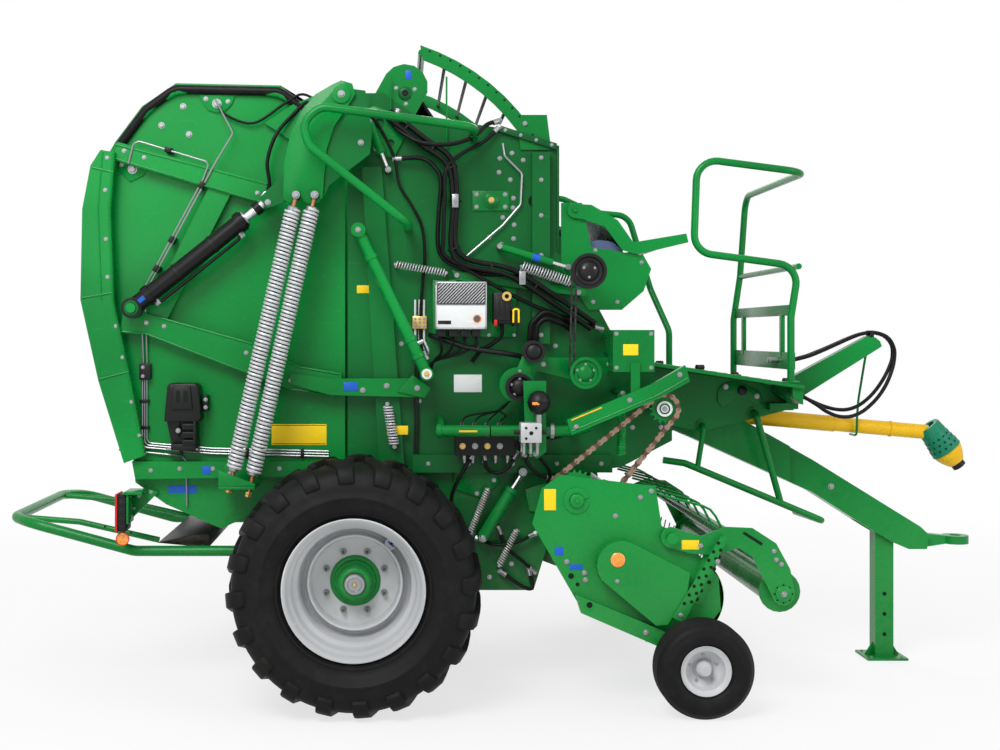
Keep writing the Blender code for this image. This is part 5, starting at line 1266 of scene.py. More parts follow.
@dataclass
class ChainDrive:
    """The main roller chain on its two sprockets."""

    upper: Flat = (1.34, 1.28)
    lower: Flat = (0.95, 0.89)
    small: float = 0.06
    large: float = 0.12
    pitch: float = 0.0318

    def path(self) -> list[tuple[Vector, Vector]]:
        """Evenly spaced places on the chain's loop, each with its direction."""
        up, low = Vector(self.upper), Vector(self.lower)
        along = (up - low).normalized()
        angle = math.degrees(math.atan2(along.y, along.x))
        loop = arc(up.x, up.y, self.small, angle + 90, angle - 90, 24)
        loop += arc(low.x, low.y, self.large, angle - 90, angle - 270, 40)
        loop.append(loop[0])
        lengths = [0.0]
        for a, b in zip(loop, loop[1:]):
            lengths.append(lengths[-1] + math.dist(a, b))
        count = round(lengths[-1] / self.pitch / 2) * 2
        spots, k = [], 0
        for i in range(count):
            want = lengths[-1] * i / count
            while lengths[k + 1] < want:
                k += 1
            a, b = Vector(loop[k]), Vector(loop[k + 1])
            spots.append((a.lerp(b, (want - lengths[k]) / (lengths[k + 1] - lengths[k])), (b - a).normalized()))
        return spots

    def link(self, gap: float) -> bpy.types.Mesh:
        """One link: two side plates shaped as an eight, with its rollers."""
        bm = bmesh.new()
        for y in (-gap, gap):
            outline = [(-0.019, 0.0), (-0.0165, 0.0075), (-0.01, 0.0098), (0.0, 0.0062), (0.01, 0.0098),
                       (0.0165, 0.0075), (0.019, 0.0), (0.0165, -0.0075), (0.01, -0.0098), (0.0, -0.0062),
                       (-0.01, -0.0098), (-0.0165, -0.0075)]
            prism(bm, [(x, y - 0.0012, z) for x, z in outline], (0, 0.0024, 0))
        for x, radius, reach in ((-0.0127, 0.0078, gap - 0.002), (0.0127, 0.0034, gap + 0.004)):
            made = bmesh.ops.create_cone(bm, cap_ends=True, segments=8, radius1=radius, radius2=radius,
                                         depth=2 * reach)
            bmesh.ops.rotate(bm, cent=(0, 0, 0), matrix=Matrix.Rotation(math.pi / 2, 3, "X"), verts=made["verts"])
            bmesh.ops.translate(bm, vec=(x, 0, 0), verts=made["verts"])
        return recast(bm)

    def sprocket(self, centre: Flat, radius: float, teeth: int) -> bpy.types.Mesh:
        """A toothed wheel under the chain."""
        outline = []
        for i in range(teeth):
            for part, reach in ((0.0, -0.007), (0.22, -0.006), (0.4, 0.006), (0.6, 0.006), (0.78, -0.006)):
                angle = math.tau * (i + part) / teeth
                outline.append((centre[0] + (radius + reach) * math.cos(angle),
                                centre[1] + (radius + reach) * math.sin(angle)))
        return plate(outline, -CHAIN_Y - 0.004, -CHAIN_Y + 0.004, 0.001)

    def build(self) -> None:
        """Builds the chain and its wheels as one piece."""
        drive = Piece("roller_chain", "chassis")
        for kind, gap in enumerate((0.0072, 0.01)):
            spots = []
            for place, way in self.path()[kind::2]:
                turn = Euler((0.0, -math.atan2(way.y, way.x), 0.0))
                spots.append((at(place.x, -CHAIN_Y, place.y), turn, 1.25))
            drive.add(copies(self.link(gap / 1.25), spots), WORN if kind else RUST)
        drive.add(self.sprocket(self.upper, self.small, 15), GREEN)
        drive.add(self.sprocket(self.lower, self.large, 30), GREEN)
        for (x, z), r in ((self.upper, 0.036), (self.lower, 0.075)):
            hub = bar(at(x, -CHAIN_Y + 0.012, z), at(x, -CHAIN_Y - 0.016, z), r, 28, ease=0.003)
            if r > 0.05:
                hub = plate(arc(x, z, r, 0, 348, 30), -CHAIN_Y + 0.012, -CHAIN_Y - 0.009, 0.002,
                            holes=((x, z, 0.0308),))
            drive.add(hub, SHADE)
        x, z = self.upper
        drive.pin(x, z, (-WALL_Y - 0.0003, -CHAIN_Y - 0.02), 0.024, 24, SHADE)
        drive.turned([(0.0, 0.0), (0.034, 0.0), (0.034, 0.003), (0.0, 0.005)], 28, at(x, -CHAIN_Y - 0.016, z),
                     Way.RIGHT, CARD)
        drive.bolts([(x, -CHAIN_Y - 0.019, z)], Way.RIGHT, 0.009)
        drive.done("chain_drive")


# Pickup

@dataclass
class PickupReel:
    """The tined reel: shaft, end discs, tine bars and double spring tines with their coils."""

    x: float = 1.42
    z: float = 0.45
    tip: float = 0.2485
    bar_ring: float = 0.128
    half: float = 0.93
    count: int = 16

    def tine(self) -> bpy.types.Mesh:
        """One wire tine with its coil round the bar: Z points outwards and Y runs along the bar."""
        kit = Kit()
        rise = self.tip - self.bar_ring
        points = [(0.01, 0.0, 0.016), (0.016, 0.0, 0.05), (0.006, 0.0, rise * 0.72), (-0.01, 0.0, rise - 0.0045)]
        mesh = bpy.data.meshes.new("wire")
        mesh.from_pydata(points, [(0, 1), (1, 2), (2, 3)], [])
        kit.add(SWEEP.run(mesh, Radius=0.0032, Corner=0.02, Sides=6, Steps=2, Finish=TINE.material()), TINE)
        for i in range(3):
            ring = lathe([(0.0125, -0.0028), (0.0155, 0.0), (0.0125, 0.0028)], 10, True)
            kit.add(placed(ring, Vector((0.0, -0.006 + 0.006 * i, 0.0)), Way.RIGHT), TINE)
        return kit.mesh("tine")

    def build(self) -> None:
        """Builds the reel as one piece."""
        reel = Piece("reel_tined", "reel")
        reel.pin(self.x, self.z, (-0.9845, 0.9845), 0.03, 24, SHADE)
        for y in (-0.955, -0.32, 0.32, 0.955):
            reel.pin(self.x, self.z, (y - 0.004, y + 0.004), self.bar_ring + 0.021, 40, SHADE, 0.001)
        pitch = 2 * self.half / self.count
        spots = []
        for turn in range(4):
            angle = math.radians(40 + 90 * turn)
            out = Vector((math.sin(angle), 0, math.cos(angle)))
            c = at(self.x, 0, self.z) + out * self.bar_ring
            reel.add(bar(c + Vector((0, -0.958, 0)), c + Vector((0, 0.958, 0)), 0.0125, 14), SHADE)
            for i in range(self.count):
                y = -self.half + pitch * (i + 0.5)
                spots.append((c + Vector((0, y, 0)), Euler((0.0, angle, 0.0)), 1.0))
        reel.add(copies(self.tine(), spots), TINE)
        reel.done("pickup_reel")


@dataclass
class StripperBands:
    """The curved sheet bands that the tines come up between, on their two beams."""

    x: float = 1.42
    z: float = 0.45
    radius: float = 0.194
    half: float = 0.93
    count: int = 16
    slot: float = 0.024

    def band(self, wide: float) -> bpy.types.Mesh:
        """One band with its edges turned in."""
        line = [(1.08, 0.425)] + arc(self.x, self.z, self.radius, 235, 450, 28) + [(1.3, 0.73), (1.18, 0.84)]
        across = [(-wide / 2, -0.01), (-wide / 2, -0.002), (-wide / 2 + 0.004, 0.0), (wide / 2 - 0.004, 0.0),
                  (wide / 2, -0.002), (wide / 2, -0.01)]
        rows = []
        for i, point in enumerate(line):
            before, after = Vector(line[max(i - 1, 0)]), Vector(line[min(i + 1, len(line) - 1)])
            along = (after - before).normalized()
            outward = Vector((along.y, -along.x))
            row = []
            for lift, thick in ((0.0, False), (-0.0016, True)):
                for y, drop in (across if not thick else reversed(across)):
                    shift = outward * (drop * 0.9 + lift)
                    row.append((point[0] + shift.x, y, point[1] + shift.y))
            rows.append(row)
        mesh = lofted(rows)
        mesh.transform(Matrix.Translation((AXLE_X, 0, 0)))
        return mesh

    def build(self) -> None:
        """Builds the bands as one piece."""
        bands = Piece("stripper_bands_pressed", "pickup")
        for x, z, radius in ((1.08, 0.44, 0.045), (1.18, 0.85, 0.035)):
            bands.pin(x, z, (-0.9845, 0.9845), radius, 28, GREEN)
        pitch = 2 * self.half / self.count
        spots = [(Vector((0, -self.half + pitch * i, 0)), Way.UP, 1.0) for i in range(1, self.count)]
        bands.add(copies(self.band(pitch - self.slot), spots), GREEN)
        screws = [(1.222, -self.half + pitch * i, 0.807) for i in range(1, self.count)]
        bands.bolts(screws, Euler((0.0, math.radians(40), 0.0)), 0.0055)
        bands.done("stripper_bands")


@dataclass
class PickupPlates(Sided):
    """Bolts, holes drawn as painted shade, labels and the reflector on the pickup's side plates and wind guard arms.
    """

    plate_bolts: tuple[Flat, ...] = ((1.117, 0.824), (1.193, 0.562), (0.908, 0.628), (0.984, 0.58), (0.988, 0.55),
                                     (1.224, 0.904), (1.271, 0.93))
    guard_bolts: tuple[Flat, ...] = ((1.477, 0.7), (1.56, 0.718), (1.79, 0.677), (1.822, 0.621), (1.8, 0.64))
    strap_holes: tuple[Flat, ...] = ((1.548, 0.682), (1.56, 0.65), (1.524, 0.619), (1.54, 0.597), (1.5, 0.566),
                                     (1.518, 0.54), (1.484, 0.505), (1.466, 0.468))

    def build(self) -> None:
        """Builds the details on the pickup and on the wind guard."""
        out, word = self.out, self.word
        face = out * PICKUP_Y
        kit = Piece("pickup_details_" + word, "pickup")
        kit.row(face, self.plate_bolts, self.way, 0.0085)
        for x, z in self.strap_holes:
            kit.pin(x, z, (out * 1.0012, out * 1.0022), 0.0085, 14, HOLE_SHADE)
        kit.plate([(0.95, 0.89 + 0.001)] + arc(0.95, 0.89, 0.056, 0, 350, 26)[1:], face, face + out * 0.006, GREEN,
                  0.001, holes=((0.95, 0.89, 0.0315),))
        kit.turned(button(0.029, 0.004, 0.024, 0.007), 24, at(0.95, out * 1.0098, 0.89), self.way, GREEN)
        kit.bolts([(0.95, out * 1.016, 0.89)], self.way, 0.01, GREEN)
        kit.pin(0.927, 0.566, (face - out * 0.001, face + out * 0.001), 0.0125, 20, HOLE_SHADE)
        kit.pin(0.955, 0.53, (face - out * 0.001, face + out * 0.001), 0.0085, 18, HOLE_SHADE)
        kit.box((0.811, 0.862), (face, face + out * 0.0012), (0.848, 0.939), SIGN, 0.0004)
        kit.box((0.857, 0.894), (face, face + out * 0.0012), (0.654, 0.691), TAG, 0.0004)
        kit.box((0.92, 0.976), (face, face + out * 0.0012), (0.592, 0.616), TAG, 0.0004)
        # the folded edge along the plate's top
        kit.pipe([(0.803, face - out * 0.004, 0.938), (0.882, face - out * 0.004, 0.996),
                  (1.288, face - out * 0.004, 0.947)], 0.0035, 0.01, 8, GREEN)
        if self.side is Side.RIGHT:
            kit.turned(button(0.031, 0.003, 0.027, 0.006), 32, at(1.118, -1.06, 0.645), Way.RIGHT, AMBER)
            kit.bolts([(1.115, -1.06, 0.555)], Way.RIGHT, 0.007)
            self.strap(kit)
        kit.turned(hoop(0.0135, 0.02, 0.003), 24, at(1.0, out * 1.0398, 0.45), self.way, GREEN, True)
        kit.pin(1.0, 0.45, (out * 1.038, out * 1.0408), 0.0133, 20, HOLE_SHADE)
        kit.bolts([(1.24, out * 1.04, 0.333)], self.way, 0.009)
        # the pivot pin of the wind guard
        kit.turned(puck(0.024, 0.004), 20, at(1.352, out * 1.0545, 0.735), self.way, GREEN)
        kit.done()
        guard = Piece("wind_guard_details_" + word, "wind_guard")
        arm = out * (GUARD_Y + 0.0001)
        guard.row(arm, self.guard_bolts, self.way, 0.008)
        guard.box((1.396, 1.47), (arm, arm + out * 0.0012), (0.684, 0.724), SIGN, 0.0004)
        slot_line = [(1.655, 0.752), (1.665, 0.76), (1.742, 0.712), (1.737, 0.7)]
        guard.plate(slot_line, arm, arm + out * 0.0008, HOLE_SHADE, 0.0)
        guard.turned(button(0.034, 0.005, 0.03, 0.008), 28, at(1.831, arm, 0.494), self.way, GREEN)
        guard.bolts([(1.831, arm + out * 0.0075, 0.494)], self.way, 0.01)
        for x, z in (around(1.831, 0.494, 0.038, 45 * i) for i in range(8)):
            guard.pin(x, z, (arm, arm + out * 0.0009), 0.004, 10, HOLE_SHADE)
        guard.done()

    def strap(self, kit: Piece) -> None:
        """Adds the perforated strap that stands beside the wind guard's arm.

        Args:
            kit: the piece that takes it.
        """
        foot, head = Vector((1.372, 0.39)), Vector((1.568, 0.738))
        along = (head - foot).normalized()
        across = Vector((along.y, -along.x)) * 0.026
        holes = []
        for k in range(8):
            for row, shift in ((-0.45, 0.0), (0.45, 0.021)):
                spot = head - along * (0.03 + 0.042 * k + shift) + across * row
                holes.append((spot.x, spot.y, 0.0075))
        edge = [foot - across, foot + across, head + across * 0.6, head + along * 0.01, head - across * 0.6]
        kit.plate([tuple(p) for p in edge], -1.062, -1.068, GREEN, 0.001)
        for x, z, radius in holes[:15]:
            kit.pin(x, z, (-1.0675, -1.0688), radius, 16, HOLE_SHADE)
        kit.pin(foot.x + 0.012, foot.y + 0.022, (-1.059, -1.0625), 0.014, 16, GREEN)
        kit.bolts([(foot.x + 0.012, -1.068, foot.y + 0.022), (1.54, -1.068, 0.64)], Way.RIGHT, 0.008)


# Frame tubes

@dataclass
class TubeWork:
    """The bent round tubes: railings, rails and the bale kicker, drawn smoother on their solids' routes."""

    deck_rear: Flat = (1.25, 1.49)
    deck_front: Flat = (2.04, 1.37)

    def deck(self, x: float) -> float:
        """The height of the deck's top at x."""
        (x0, z0), (x1, z1) = self.deck_rear, self.deck_front
        return z0 + (z1 - z0) * (x - x0) / (x1 - x0)

    def railing(self) -> None:
        """The railing round the deck's front with its kick boards."""
        y, tube = 0.57, 0.017
        foot = self.deck(1.985 - tube) + 0.0003
        rail = Piece("railing_bent", "chassis")
        rail.pipe([(1.985, y, foot), (1.985, y, foot + 0.3), (2.02, y, 1.915), (2.05, y, 2.343), (2.05, -y, 2.345),
                   (1.555, -y, 2.41), (1.54, -y, 1.98), (2.022, -y, 1.915), (1.985, -y, foot + 0.3),
                   (1.985, -y, foot)], tube, 0.09, 16, GREEN, 7)
        rail.pipe([(2.022, -y, 1.915), (2.022, y, 1.912)], tube - 0.003, 0.01, 14, GREEN)
        for low, high in ((1.69, 1.74), (1.44, 1.52)):
            rail.box((1.988, 2.006), (-y, y), (low, high), GREEN)
        for y_post in (-0.38, 0.38):
            rail.box((1.986, 2.004), (y_post - 0.02, y_post + 0.02), (1.5, 1.7), GREEN)
        rail.bolts([(2.006, side * yy, z) for side in (-1, 1) for yy in (0.5, 0.38, 0.12) for z in (1.48, 1.715)],
                   Way.FRONT, 0.007)
        for side in (-1, 1):
            rail.box((1.95, 2.02), (side * y - 0.03, side * y + 0.03), (foot, foot + 0.008), GREEN)
        rail.done("railing")
        inner, high = 0.575, 1.64
        left = Piece("hand_rail_bent", "chassis")
        left.pipe([(0.84, 0.6753, 2.346), (0.84, 0.71, 2.346), (1.08, 0.71, 2.346), (1.24, 0.704, 2.27),
                   (1.44, 0.7, 2.25), (1.56, 0.694, 1.85), (1.64, inner, 1.62),
                   (1.64, inner, self.deck(high - tube) + 0.0003)], tube, 0.09, 16, GREEN, 7)
        left.done("hand_rail_left")

    def side_rails(self) -> None:
        """The hose rail on the right, and the step bar by the drawbar."""
        y, inner = -0.935, -SEAT_Y
        rail = Piece("side_rail_bent", "chassis")
        rail.pipe([(0.52, inner, 2.5), (0.52, y, 2.5), (-0.15, y, 2.59), (-0.235, y, 2.52), (-0.2, y, 2.42),
                   (0.23, y, 2.08), (0.23, inner, 2.08)], 0.019, 0.08, 18, GREEN, 8)
        rail.bolts([(0.52, inner, 2.5)], Way.RIGHT, 0.012)
        rail.done("side_rail")
        y, face = -0.26, -0.2123
        step = Piece("step_bar", "chassis")
        step.pipe([(1.456, y, 1.0), (1.56, y, 0.985), (2.23, y, 0.705), (2.24, 0.29, 0.685)], 0.016, 0.07, 16, GREEN,
                  6)
        step.pipe([(1.62, y, 0.96), (1.65, y - 0.01, 1.165), (1.65, face, 1.165)], 0.013, 0.03, 12, GREEN)
        step.pipe([(2.02, y, 0.793), (1.9, y, 1.225), (1.9, face, 1.225)], 0.016, 0.03, 12, GREEN)
        for x, z in ((1.65, 1.165), (1.9, 1.225)):
            step.pin(x, z, (face, face - 0.006), 0.028, 24, GREEN, 0.001)
        step.done("step_rail")

    def kicker(self) -> None:
        """The bale kicker: bent frame, cross tube, side lugs, inner rails and ramp plates."""
        y, z, rear, tube, x0 = 0.595, 0.614, -1.6195, 0.024, -0.5
        frame_tube = [(x0 - 0.02, -y, z), (-1.02, -y, z), (-1.5, -y, z + 0.13), (rear + tube, -y + 0.12, z + 0.14),
                      (rear + tube, y - 0.12, z + 0.14), (-1.5, y, z + 0.13), (-1.02, y, z), (x0 - 0.02, y, z)]
        kicker = Piece("kicker_bent", "kicker")
        kicker.pipe(frame_tube, tube, 0.14, 18, GREEN, 9)
        kicker.pipe([(-0.72, -y, z), (-0.72, y, z)], 0.016, 0.01, 14, GREEN)
        for side in (-1, 1):
            lug = arc(x0, z, 0.03, -90, 90, 12) + arc(x0 - 0.06, z, 0.0235, 90, 270, 8)
            kicker.plate(lug, side * (y - 0.0085), side * (y + 0.0085), GREEN, 0.001, holes=((x0, z, 0.0129),))
            # inner rail with its drilled flat, the holes drawn as painted shade
            kicker.pipe([(-0.93, side * 0.455, z + 0.03), (-1.3, side * 0.455, z + 0.115),
                         (rear + tube, side * 0.455, z + 0.138)], 0.014, 0.1, 14, GREEN, 5)
            for x, h in ((-1.06, 0.075), (-1.12, 0.09), (-1.18, 0.103)):
                kicker.pin(x, z + h - 0.008, (side * 0.4695, side * 0.4705), 0.005, 8, HOLE_SHADE)
        ramp = [(-0.93, z + 0.022), (-0.76, z + 0.06), (-0.69, z + 0.06), (-0.69, z + 0.004), (-0.74, z + 0.004)]
        kicker.plate(ramp, -y + 0.1, y - 0.1, BLACK)
        kicker.plate([(-0.928, z + 0.024), (-0.76, z + 0.0618), (-0.69, z + 0.0618), (-0.69, z + 0.059),
                      (-0.76, z + 0.059)], -y + 0.1, y - 0.1, DARK, 0.0005)
        kicker.done("bale_kicker")

    def build(self) -> None:
        """Builds every tube piece."""
        self.railing()
        self.side_rails()
        self.kicker()


# Drive shaft and hose arm

@dataclass
class DriveShaft:
    """The guarded drive shaft: ribbed yellow guard, cone, perforated green sleeve with its holes in painted shade,
    and end bell.
    """

    x: float = 1.83
    z: float = 1.205
    drop: float = math.radians(5.1)
    length: float = 1.0

    def build(self) -> None:
        """Builds the shaft as one piece on its joint."""
        start = at(self.x, 0, self.z)
        along = Vector((math.cos(self.drop), 0, -math.sin(self.drop)))
        end = start + along * self.length
        hang = Vector((0.62, 0, -0.78)).normalized()
        bell = end + along * 0.02
        shaft = Piece("drive_shaft_guarded", "drive_shaft")
        shaft.turned([(0.0, 0.02), (0.0375, 0.02), (0.0395, 0.024), (0.0395, 0.52), (0.036, 0.526), (0.036, 0.99),
                      (0.0, 0.99)], 40, start, along, YELLOW)
        cuff = [(0.0285, -0.033), (0.054, -0.033), (0.055, -0.028), (0.05, 0.092), (0.048, 0.1), (0.0285, 0.1)]
        shaft.turned(cuff, 40, start, along, YELLOW, True)
        for i in range(5):
            shaft.turned([(0.05, 0.0), (0.0535, 0.002), (0.0535, 0.006), (0.05, 0.008)], 40,
                         start + along * (-0.024 + 0.02 * i), along, YELLOW, True)
        for reach in (0.3, 0.515, 0.8):
            shaft.turned([(0.035, 0.0), (0.0398, 0.001), (0.0398, 0.01), (0.035, 0.011)], 36, start + along * reach,
                         along, YELLOW, True)
        sleeve = [(0.036, -0.043), (0.056, -0.043), (0.0595, -0.036), (0.064, 0.02), (0.073, 0.08), (0.0775, 0.108),
                  (0.07, 0.11), (0.036, 0.06)]
        shaft.turned(sleeve, 44, bell, hang, CONE, True)
        spots = []
        side_one = hang.orthogonal().normalized()
        side_two = hang.cross(side_one)
        for k, (reach, radius) in enumerate(((0.004, 0.0612), (0.03, 0.0648), (0.056, 0.069), (0.082, 0.0732))):
            for i in range(14):
                angle = math.tau * (i + 0.5 * (k % 2)) / 14
                out = side_one * math.cos(angle) + side_two * math.sin(angle)
                spots.append((bell + hang * reach + out * radius, out, 1.0))
        shaft.add(copies(lathe([(0.0, -0.003), (0.0075, -0.003), (0.0085, 0.0016), (0.006, 0.0016), (0.005, -0.001),
                                (0.0, -0.001)], 10), spots), CONE)
        shaft.add(copies(lathe([(0.0, -0.004), (0.0056, -0.004), (0.0056, 0.001), (0.0, 0.001)], 10), spots), HOLE_SHADE)
        cone = [(0.0, 0.1), (0.072, 0.1), (0.0738, 0.104), (0.0725, 0.122), (0.062, 0.15), (0.05, 0.172),
                (0.0415, 0.186), (0.034, 0.186), (0.034, 0.18), (0.0, 0.18)]
        shaft.turned(cone, 44, bell, hang, YELLOW)
        for i in range(12):
            angle = math.tau * i / 12
            out = side_one * math.cos(angle) + side_two * math.sin(angle)
            shaft.add(bar(bell + hang * 0.112 + out * 0.0705, bell + hang * 0.168 + out * 0.0495, 0.0032, 6), YELLOW)
        shaft.turned([(0.024, 0.178), (0.0338, 0.178), (0.0338, 0.213), (0.03, 0.2149), (0.024, 0.2149)], 32, bell,
                     hang, DARK, True)
        shaft.turned([(0.0, 0.176), (0.025, 0.176), (0.025, 0.2), (0.0, 0.2)], 6, bell, hang, ZINC)
        shaft.done("drive_shaft")


# Hoses and pipes

@dataclass
class FrontHoses:
    """The two hoses that hang in a loop at the front, their clip and their couplings."""

    radius: float = 0.009
    inner: tuple[Place, ...] = ((2.0403, -0.33, 1.318), (2.078, -0.33, 1.318), (2.156, -0.327, 1.283),
                                (2.211, -0.319, 1.261), (2.269, -0.311, 1.246), (2.328, -0.299, 1.245),
                                (2.384, -0.287, 1.263), (2.433, -0.278, 1.297), (2.475, -0.269, 1.339),
                                (2.511, -0.258, 1.386), (2.541, -0.248, 1.437), (2.562, -0.24, 1.493),
                                (2.558, -0.239, 1.553), (2.519, -0.239, 1.597), (2.461, -0.239, 1.611),
                                (2.402, -0.241, 1.603), (2.345, -0.245, 1.583), (2.29, -0.252, 1.56),
                                (2.235, -0.26, 1.537), (2.179, -0.269, 1.515), (2.123, -0.281, 1.496),
                                (2.05, -0.29, 1.48), (2.0043, -0.29, 1.48))
    outer: tuple[Place, ...] = ((2.0403, -0.375, 1.318), (2.078, -0.375, 1.318), (2.156, -0.371, 1.274),
                                (2.208, -0.365, 1.239), (2.266, -0.356, 1.216), (2.326, -0.341, 1.213),
                                (2.383, -0.324, 1.231), (2.434, -0.311, 1.266), (2.478, -0.299, 1.309),
                                (2.515, -0.284, 1.358), (2.543, -0.272, 1.412), (2.562, -0.264, 1.472),
                                (2.564, -0.261, 1.534), (2.534, -0.261, 1.587), (2.476, -0.261, 1.611),
                                (2.414, -0.263, 1.607), (2.355, -0.268, 1.587), (2.298, -0.278, 1.563),
                                (2.241, -0.29, 1.539), (2.184, -0.304, 1.516), (2.127, -0.323, 1.497),
                                (2.05, -0.335, 1.48), (2.0043, -0.335, 1.48))

    def build(self) -> None:
        """Builds both cords, then the pieces that hold them."""
        for word, points in (("inner", self.inner), ("outer", self.outer)):
            cord = Piece("front_hose_smooth_" + word, "chassis").hose(points, self.radius, 14)
            obj = cord.done("front_hose_" + word)
            path = [at(*point) for point in points]
        ends = Piece("hose_couplings", "chassis")
        for y in (-0.33, -0.375):
            ends.add(bar(at(2.0405, y, 1.318), at(2.047, y, 1.318), 0.0165, 6), ZINC)
            ends.turned([(0.0094, 0.0), (0.0135, 0.0), (0.0135, 0.026), (0.0115, 0.032), (0.0094, 0.032)], 18,
                        at(2.047, y, 1.318), Way.FRONT, ZINC, True)
        for y, cap in ((-0.29, RED), (-0.335, TAG)):
            ends.add(bar(at(2.0045, y, 1.48), at(2.0115, y, 1.48), 0.0165, 6), ZINC)
            ends.turned([(0.0094, 0.0), (0.014, 0.0), (0.014, 0.03), (0.0115, 0.034), (0.0094, 0.034)], 18,
                        at(2.0115, y, 1.48), Way.FRONT, cap, True)
            ends.add(bar(at(1.95, y, 1.48), at(1.9885, y, 1.48), 0.0125, 16, ease=0.002), ZINC)
        ends.box((2.44, 2.462), (-0.281, -0.22), (1.5885, 1.6005), DARK, 0.002)
        for y in (-0.279, -0.2225):
            ends.box((2.442, 2.46), (y - 0.002, y + 0.002), (1.6, 1.622), DARK, 0.001)
        ends.done()


@dataclass
class HoseRuns:
    """The hydraulic hoses clipped to the right side, with their fittings and cable ties."""

    thick: float = 0.0115
    trunk: tuple[Place, ...] = ((0.14, -0.665, 2.6), (0.3, -0.683, 2.47), (0.415, -0.703, 2.375), (0.44, -0.705, 2.2),
                                (0.45, -0.705, 1.955), (0.69, -0.714, 1.88), (0.9, -0.714, 1.75),
                                (1.06, -0.705, 1.64))
    free: tuple[tuple[float, tuple[Place, ...]], ...] = (
        (0.01, ((0.18, -0.655, 2.61), (0.163, -0.665, 2.549), (0.25, -0.7, 2.481), (0.328, -0.715, 2.457),
                (0.425, -0.715, 2.457), (0.522, -0.7, 2.491), (0.585, -0.675, 2.549), (0.64, -0.65, 2.57))),
        (0.01, ((0.172, -0.66, 2.396), (0.289, -0.672, 2.398), (0.352, -0.69, 2.352), (0.377, -0.7, 2.289),
                (0.367, -0.7, 2.143), (0.367, -0.695, 1.985), (0.426, -0.69, 1.918), (0.552, -0.685, 1.879),
                (0.679, -0.68, 1.87), (0.76, -0.665, 1.85))),
        (0.009, ((0.64, -0.65, 2.54), (0.572, -0.67, 2.474), (0.465, -0.7, 2.412), (0.4, -0.722, 2.34),
                 (0.392, -0.722, 2.2), (0.387, -0.722, 2.035), (0.392, -0.715, 1.96), (0.48, -0.712, 1.905),
                 (0.61, -0.71, 1.825), (0.816, -0.7, 1.723), (1.098, -0.68, 1.626))),
        (0.007, ((-0.015, -0.652, 2.64), (0.066, -0.655, 2.588), (0.134, -0.662, 2.48), (0.172, -0.666, 2.38),
                 (0.19, -0.664, 2.28), (0.25, -0.662, 2.18), (0.292, -0.66, 2.09), (0.305, -0.66, 1.96),
                 (0.296, -0.652, 1.84), (0.286, -0.65, 1.7), (0.288, -0.65, 1.56), (0.312, -0.655, 1.5))),
        (0.009, ((0.52, -0.74, 1.072), (0.482, -0.745, 1.005), (0.443, -0.735, 0.93), (0.424, -0.7, 0.86),
                 (0.44, -0.665, 0.78), (0.52, -0.65, 0.7))),
        (0.0085, ((0.568, -0.75, 1.07), (0.578, -0.756, 1.01), (0.62, -0.758, 0.985), (0.675, -0.756, 1.01),
                  (0.713, -0.75, 1.072))),
        (0.0085, ((0.742, -0.76, 1.084), (0.768, -0.766, 1.018), (0.82, -0.758, 0.972), (0.872, -0.735, 0.96))),
        (0.0085, ((0.79, -0.76, 1.084), (0.835, -0.768, 1.03), (0.862, -0.757, 0.985), (0.85, -0.735, 0.905))),
        (0.008, ((0.545, -0.65, 0.678), (0.621, -0.668, 0.653), (0.718, -0.67, 0.664), (0.8, -0.655, 0.7))),
        (0.008, ((0.64, -0.65, 0.723), (0.675, -0.668, 0.64), (0.75, -0.67, 0.575), (0.8, -0.65, 0.53))),
        (0.009, ((0.65, -0.65, 0.53), (0.74, -0.676, 0.468), (0.79, -0.676, 0.462), (0.775, -0.655, 0.54))))

    def build(self) -> None:
        """Builds the trunk, the single hoses, their ties and fittings."""
        runs = Piece("hose_runs", "chassis")
        for dy, dz in ((-0.014, 0.012), (0.011, 0.012), (-0.014, -0.013), (0.011, -0.013)):
            line = [(x + dz * 0.7, y + dy, z + dz) for x, y, z in self.trunk]
            runs.hose(line, self.thick, 12)
        for radius, line in self.free:
            runs.hose(line, radius, 10)
        ties = smooth_route([Vector(p) for p in self.trunk])
        for k in range(3, len(ties) - 2, 5):
            along = (ties[k + 1] - ties[k - 1]).normalized()
            runs.turned([(0.0275, -0.003), (0.029, -0.003), (0.029, 0.003), (0.0275, 0.003)], 18, at(*ties[k]), along,
                        DARK, True)
        for radius, line in self.free:
            for end, other in ((line[0], line[1]), (line[-1], line[-2])):
                a, b = at(*end), at(*other)
                along = (b - a).normalized()
                runs.add(bar(a, a + along * 0.03, radius + 0.003, 14, ease=0.001), ZINC)
                runs.add(bar(a - along * 0.012, a + along * 0.002, radius + 0.0045, 6), ZINC)
        for x, z in ((0.44, 2.2), (0.74, 1.855)):
            runs.box((x - 0.012, x + 0.012), (-0.7045, -SEAT_Y), (z - 0.03, z + 0.03), DARK)
            runs.bolts([(x, -0.7405, z)], Way.RIGHT, 0.007)
            runs.box((x - 0.014, x + 0.014), (-0.7405, -0.7365), (z - 0.03, z + 0.03), ZINC, 0.001)
        runs.done("hose_bundle")


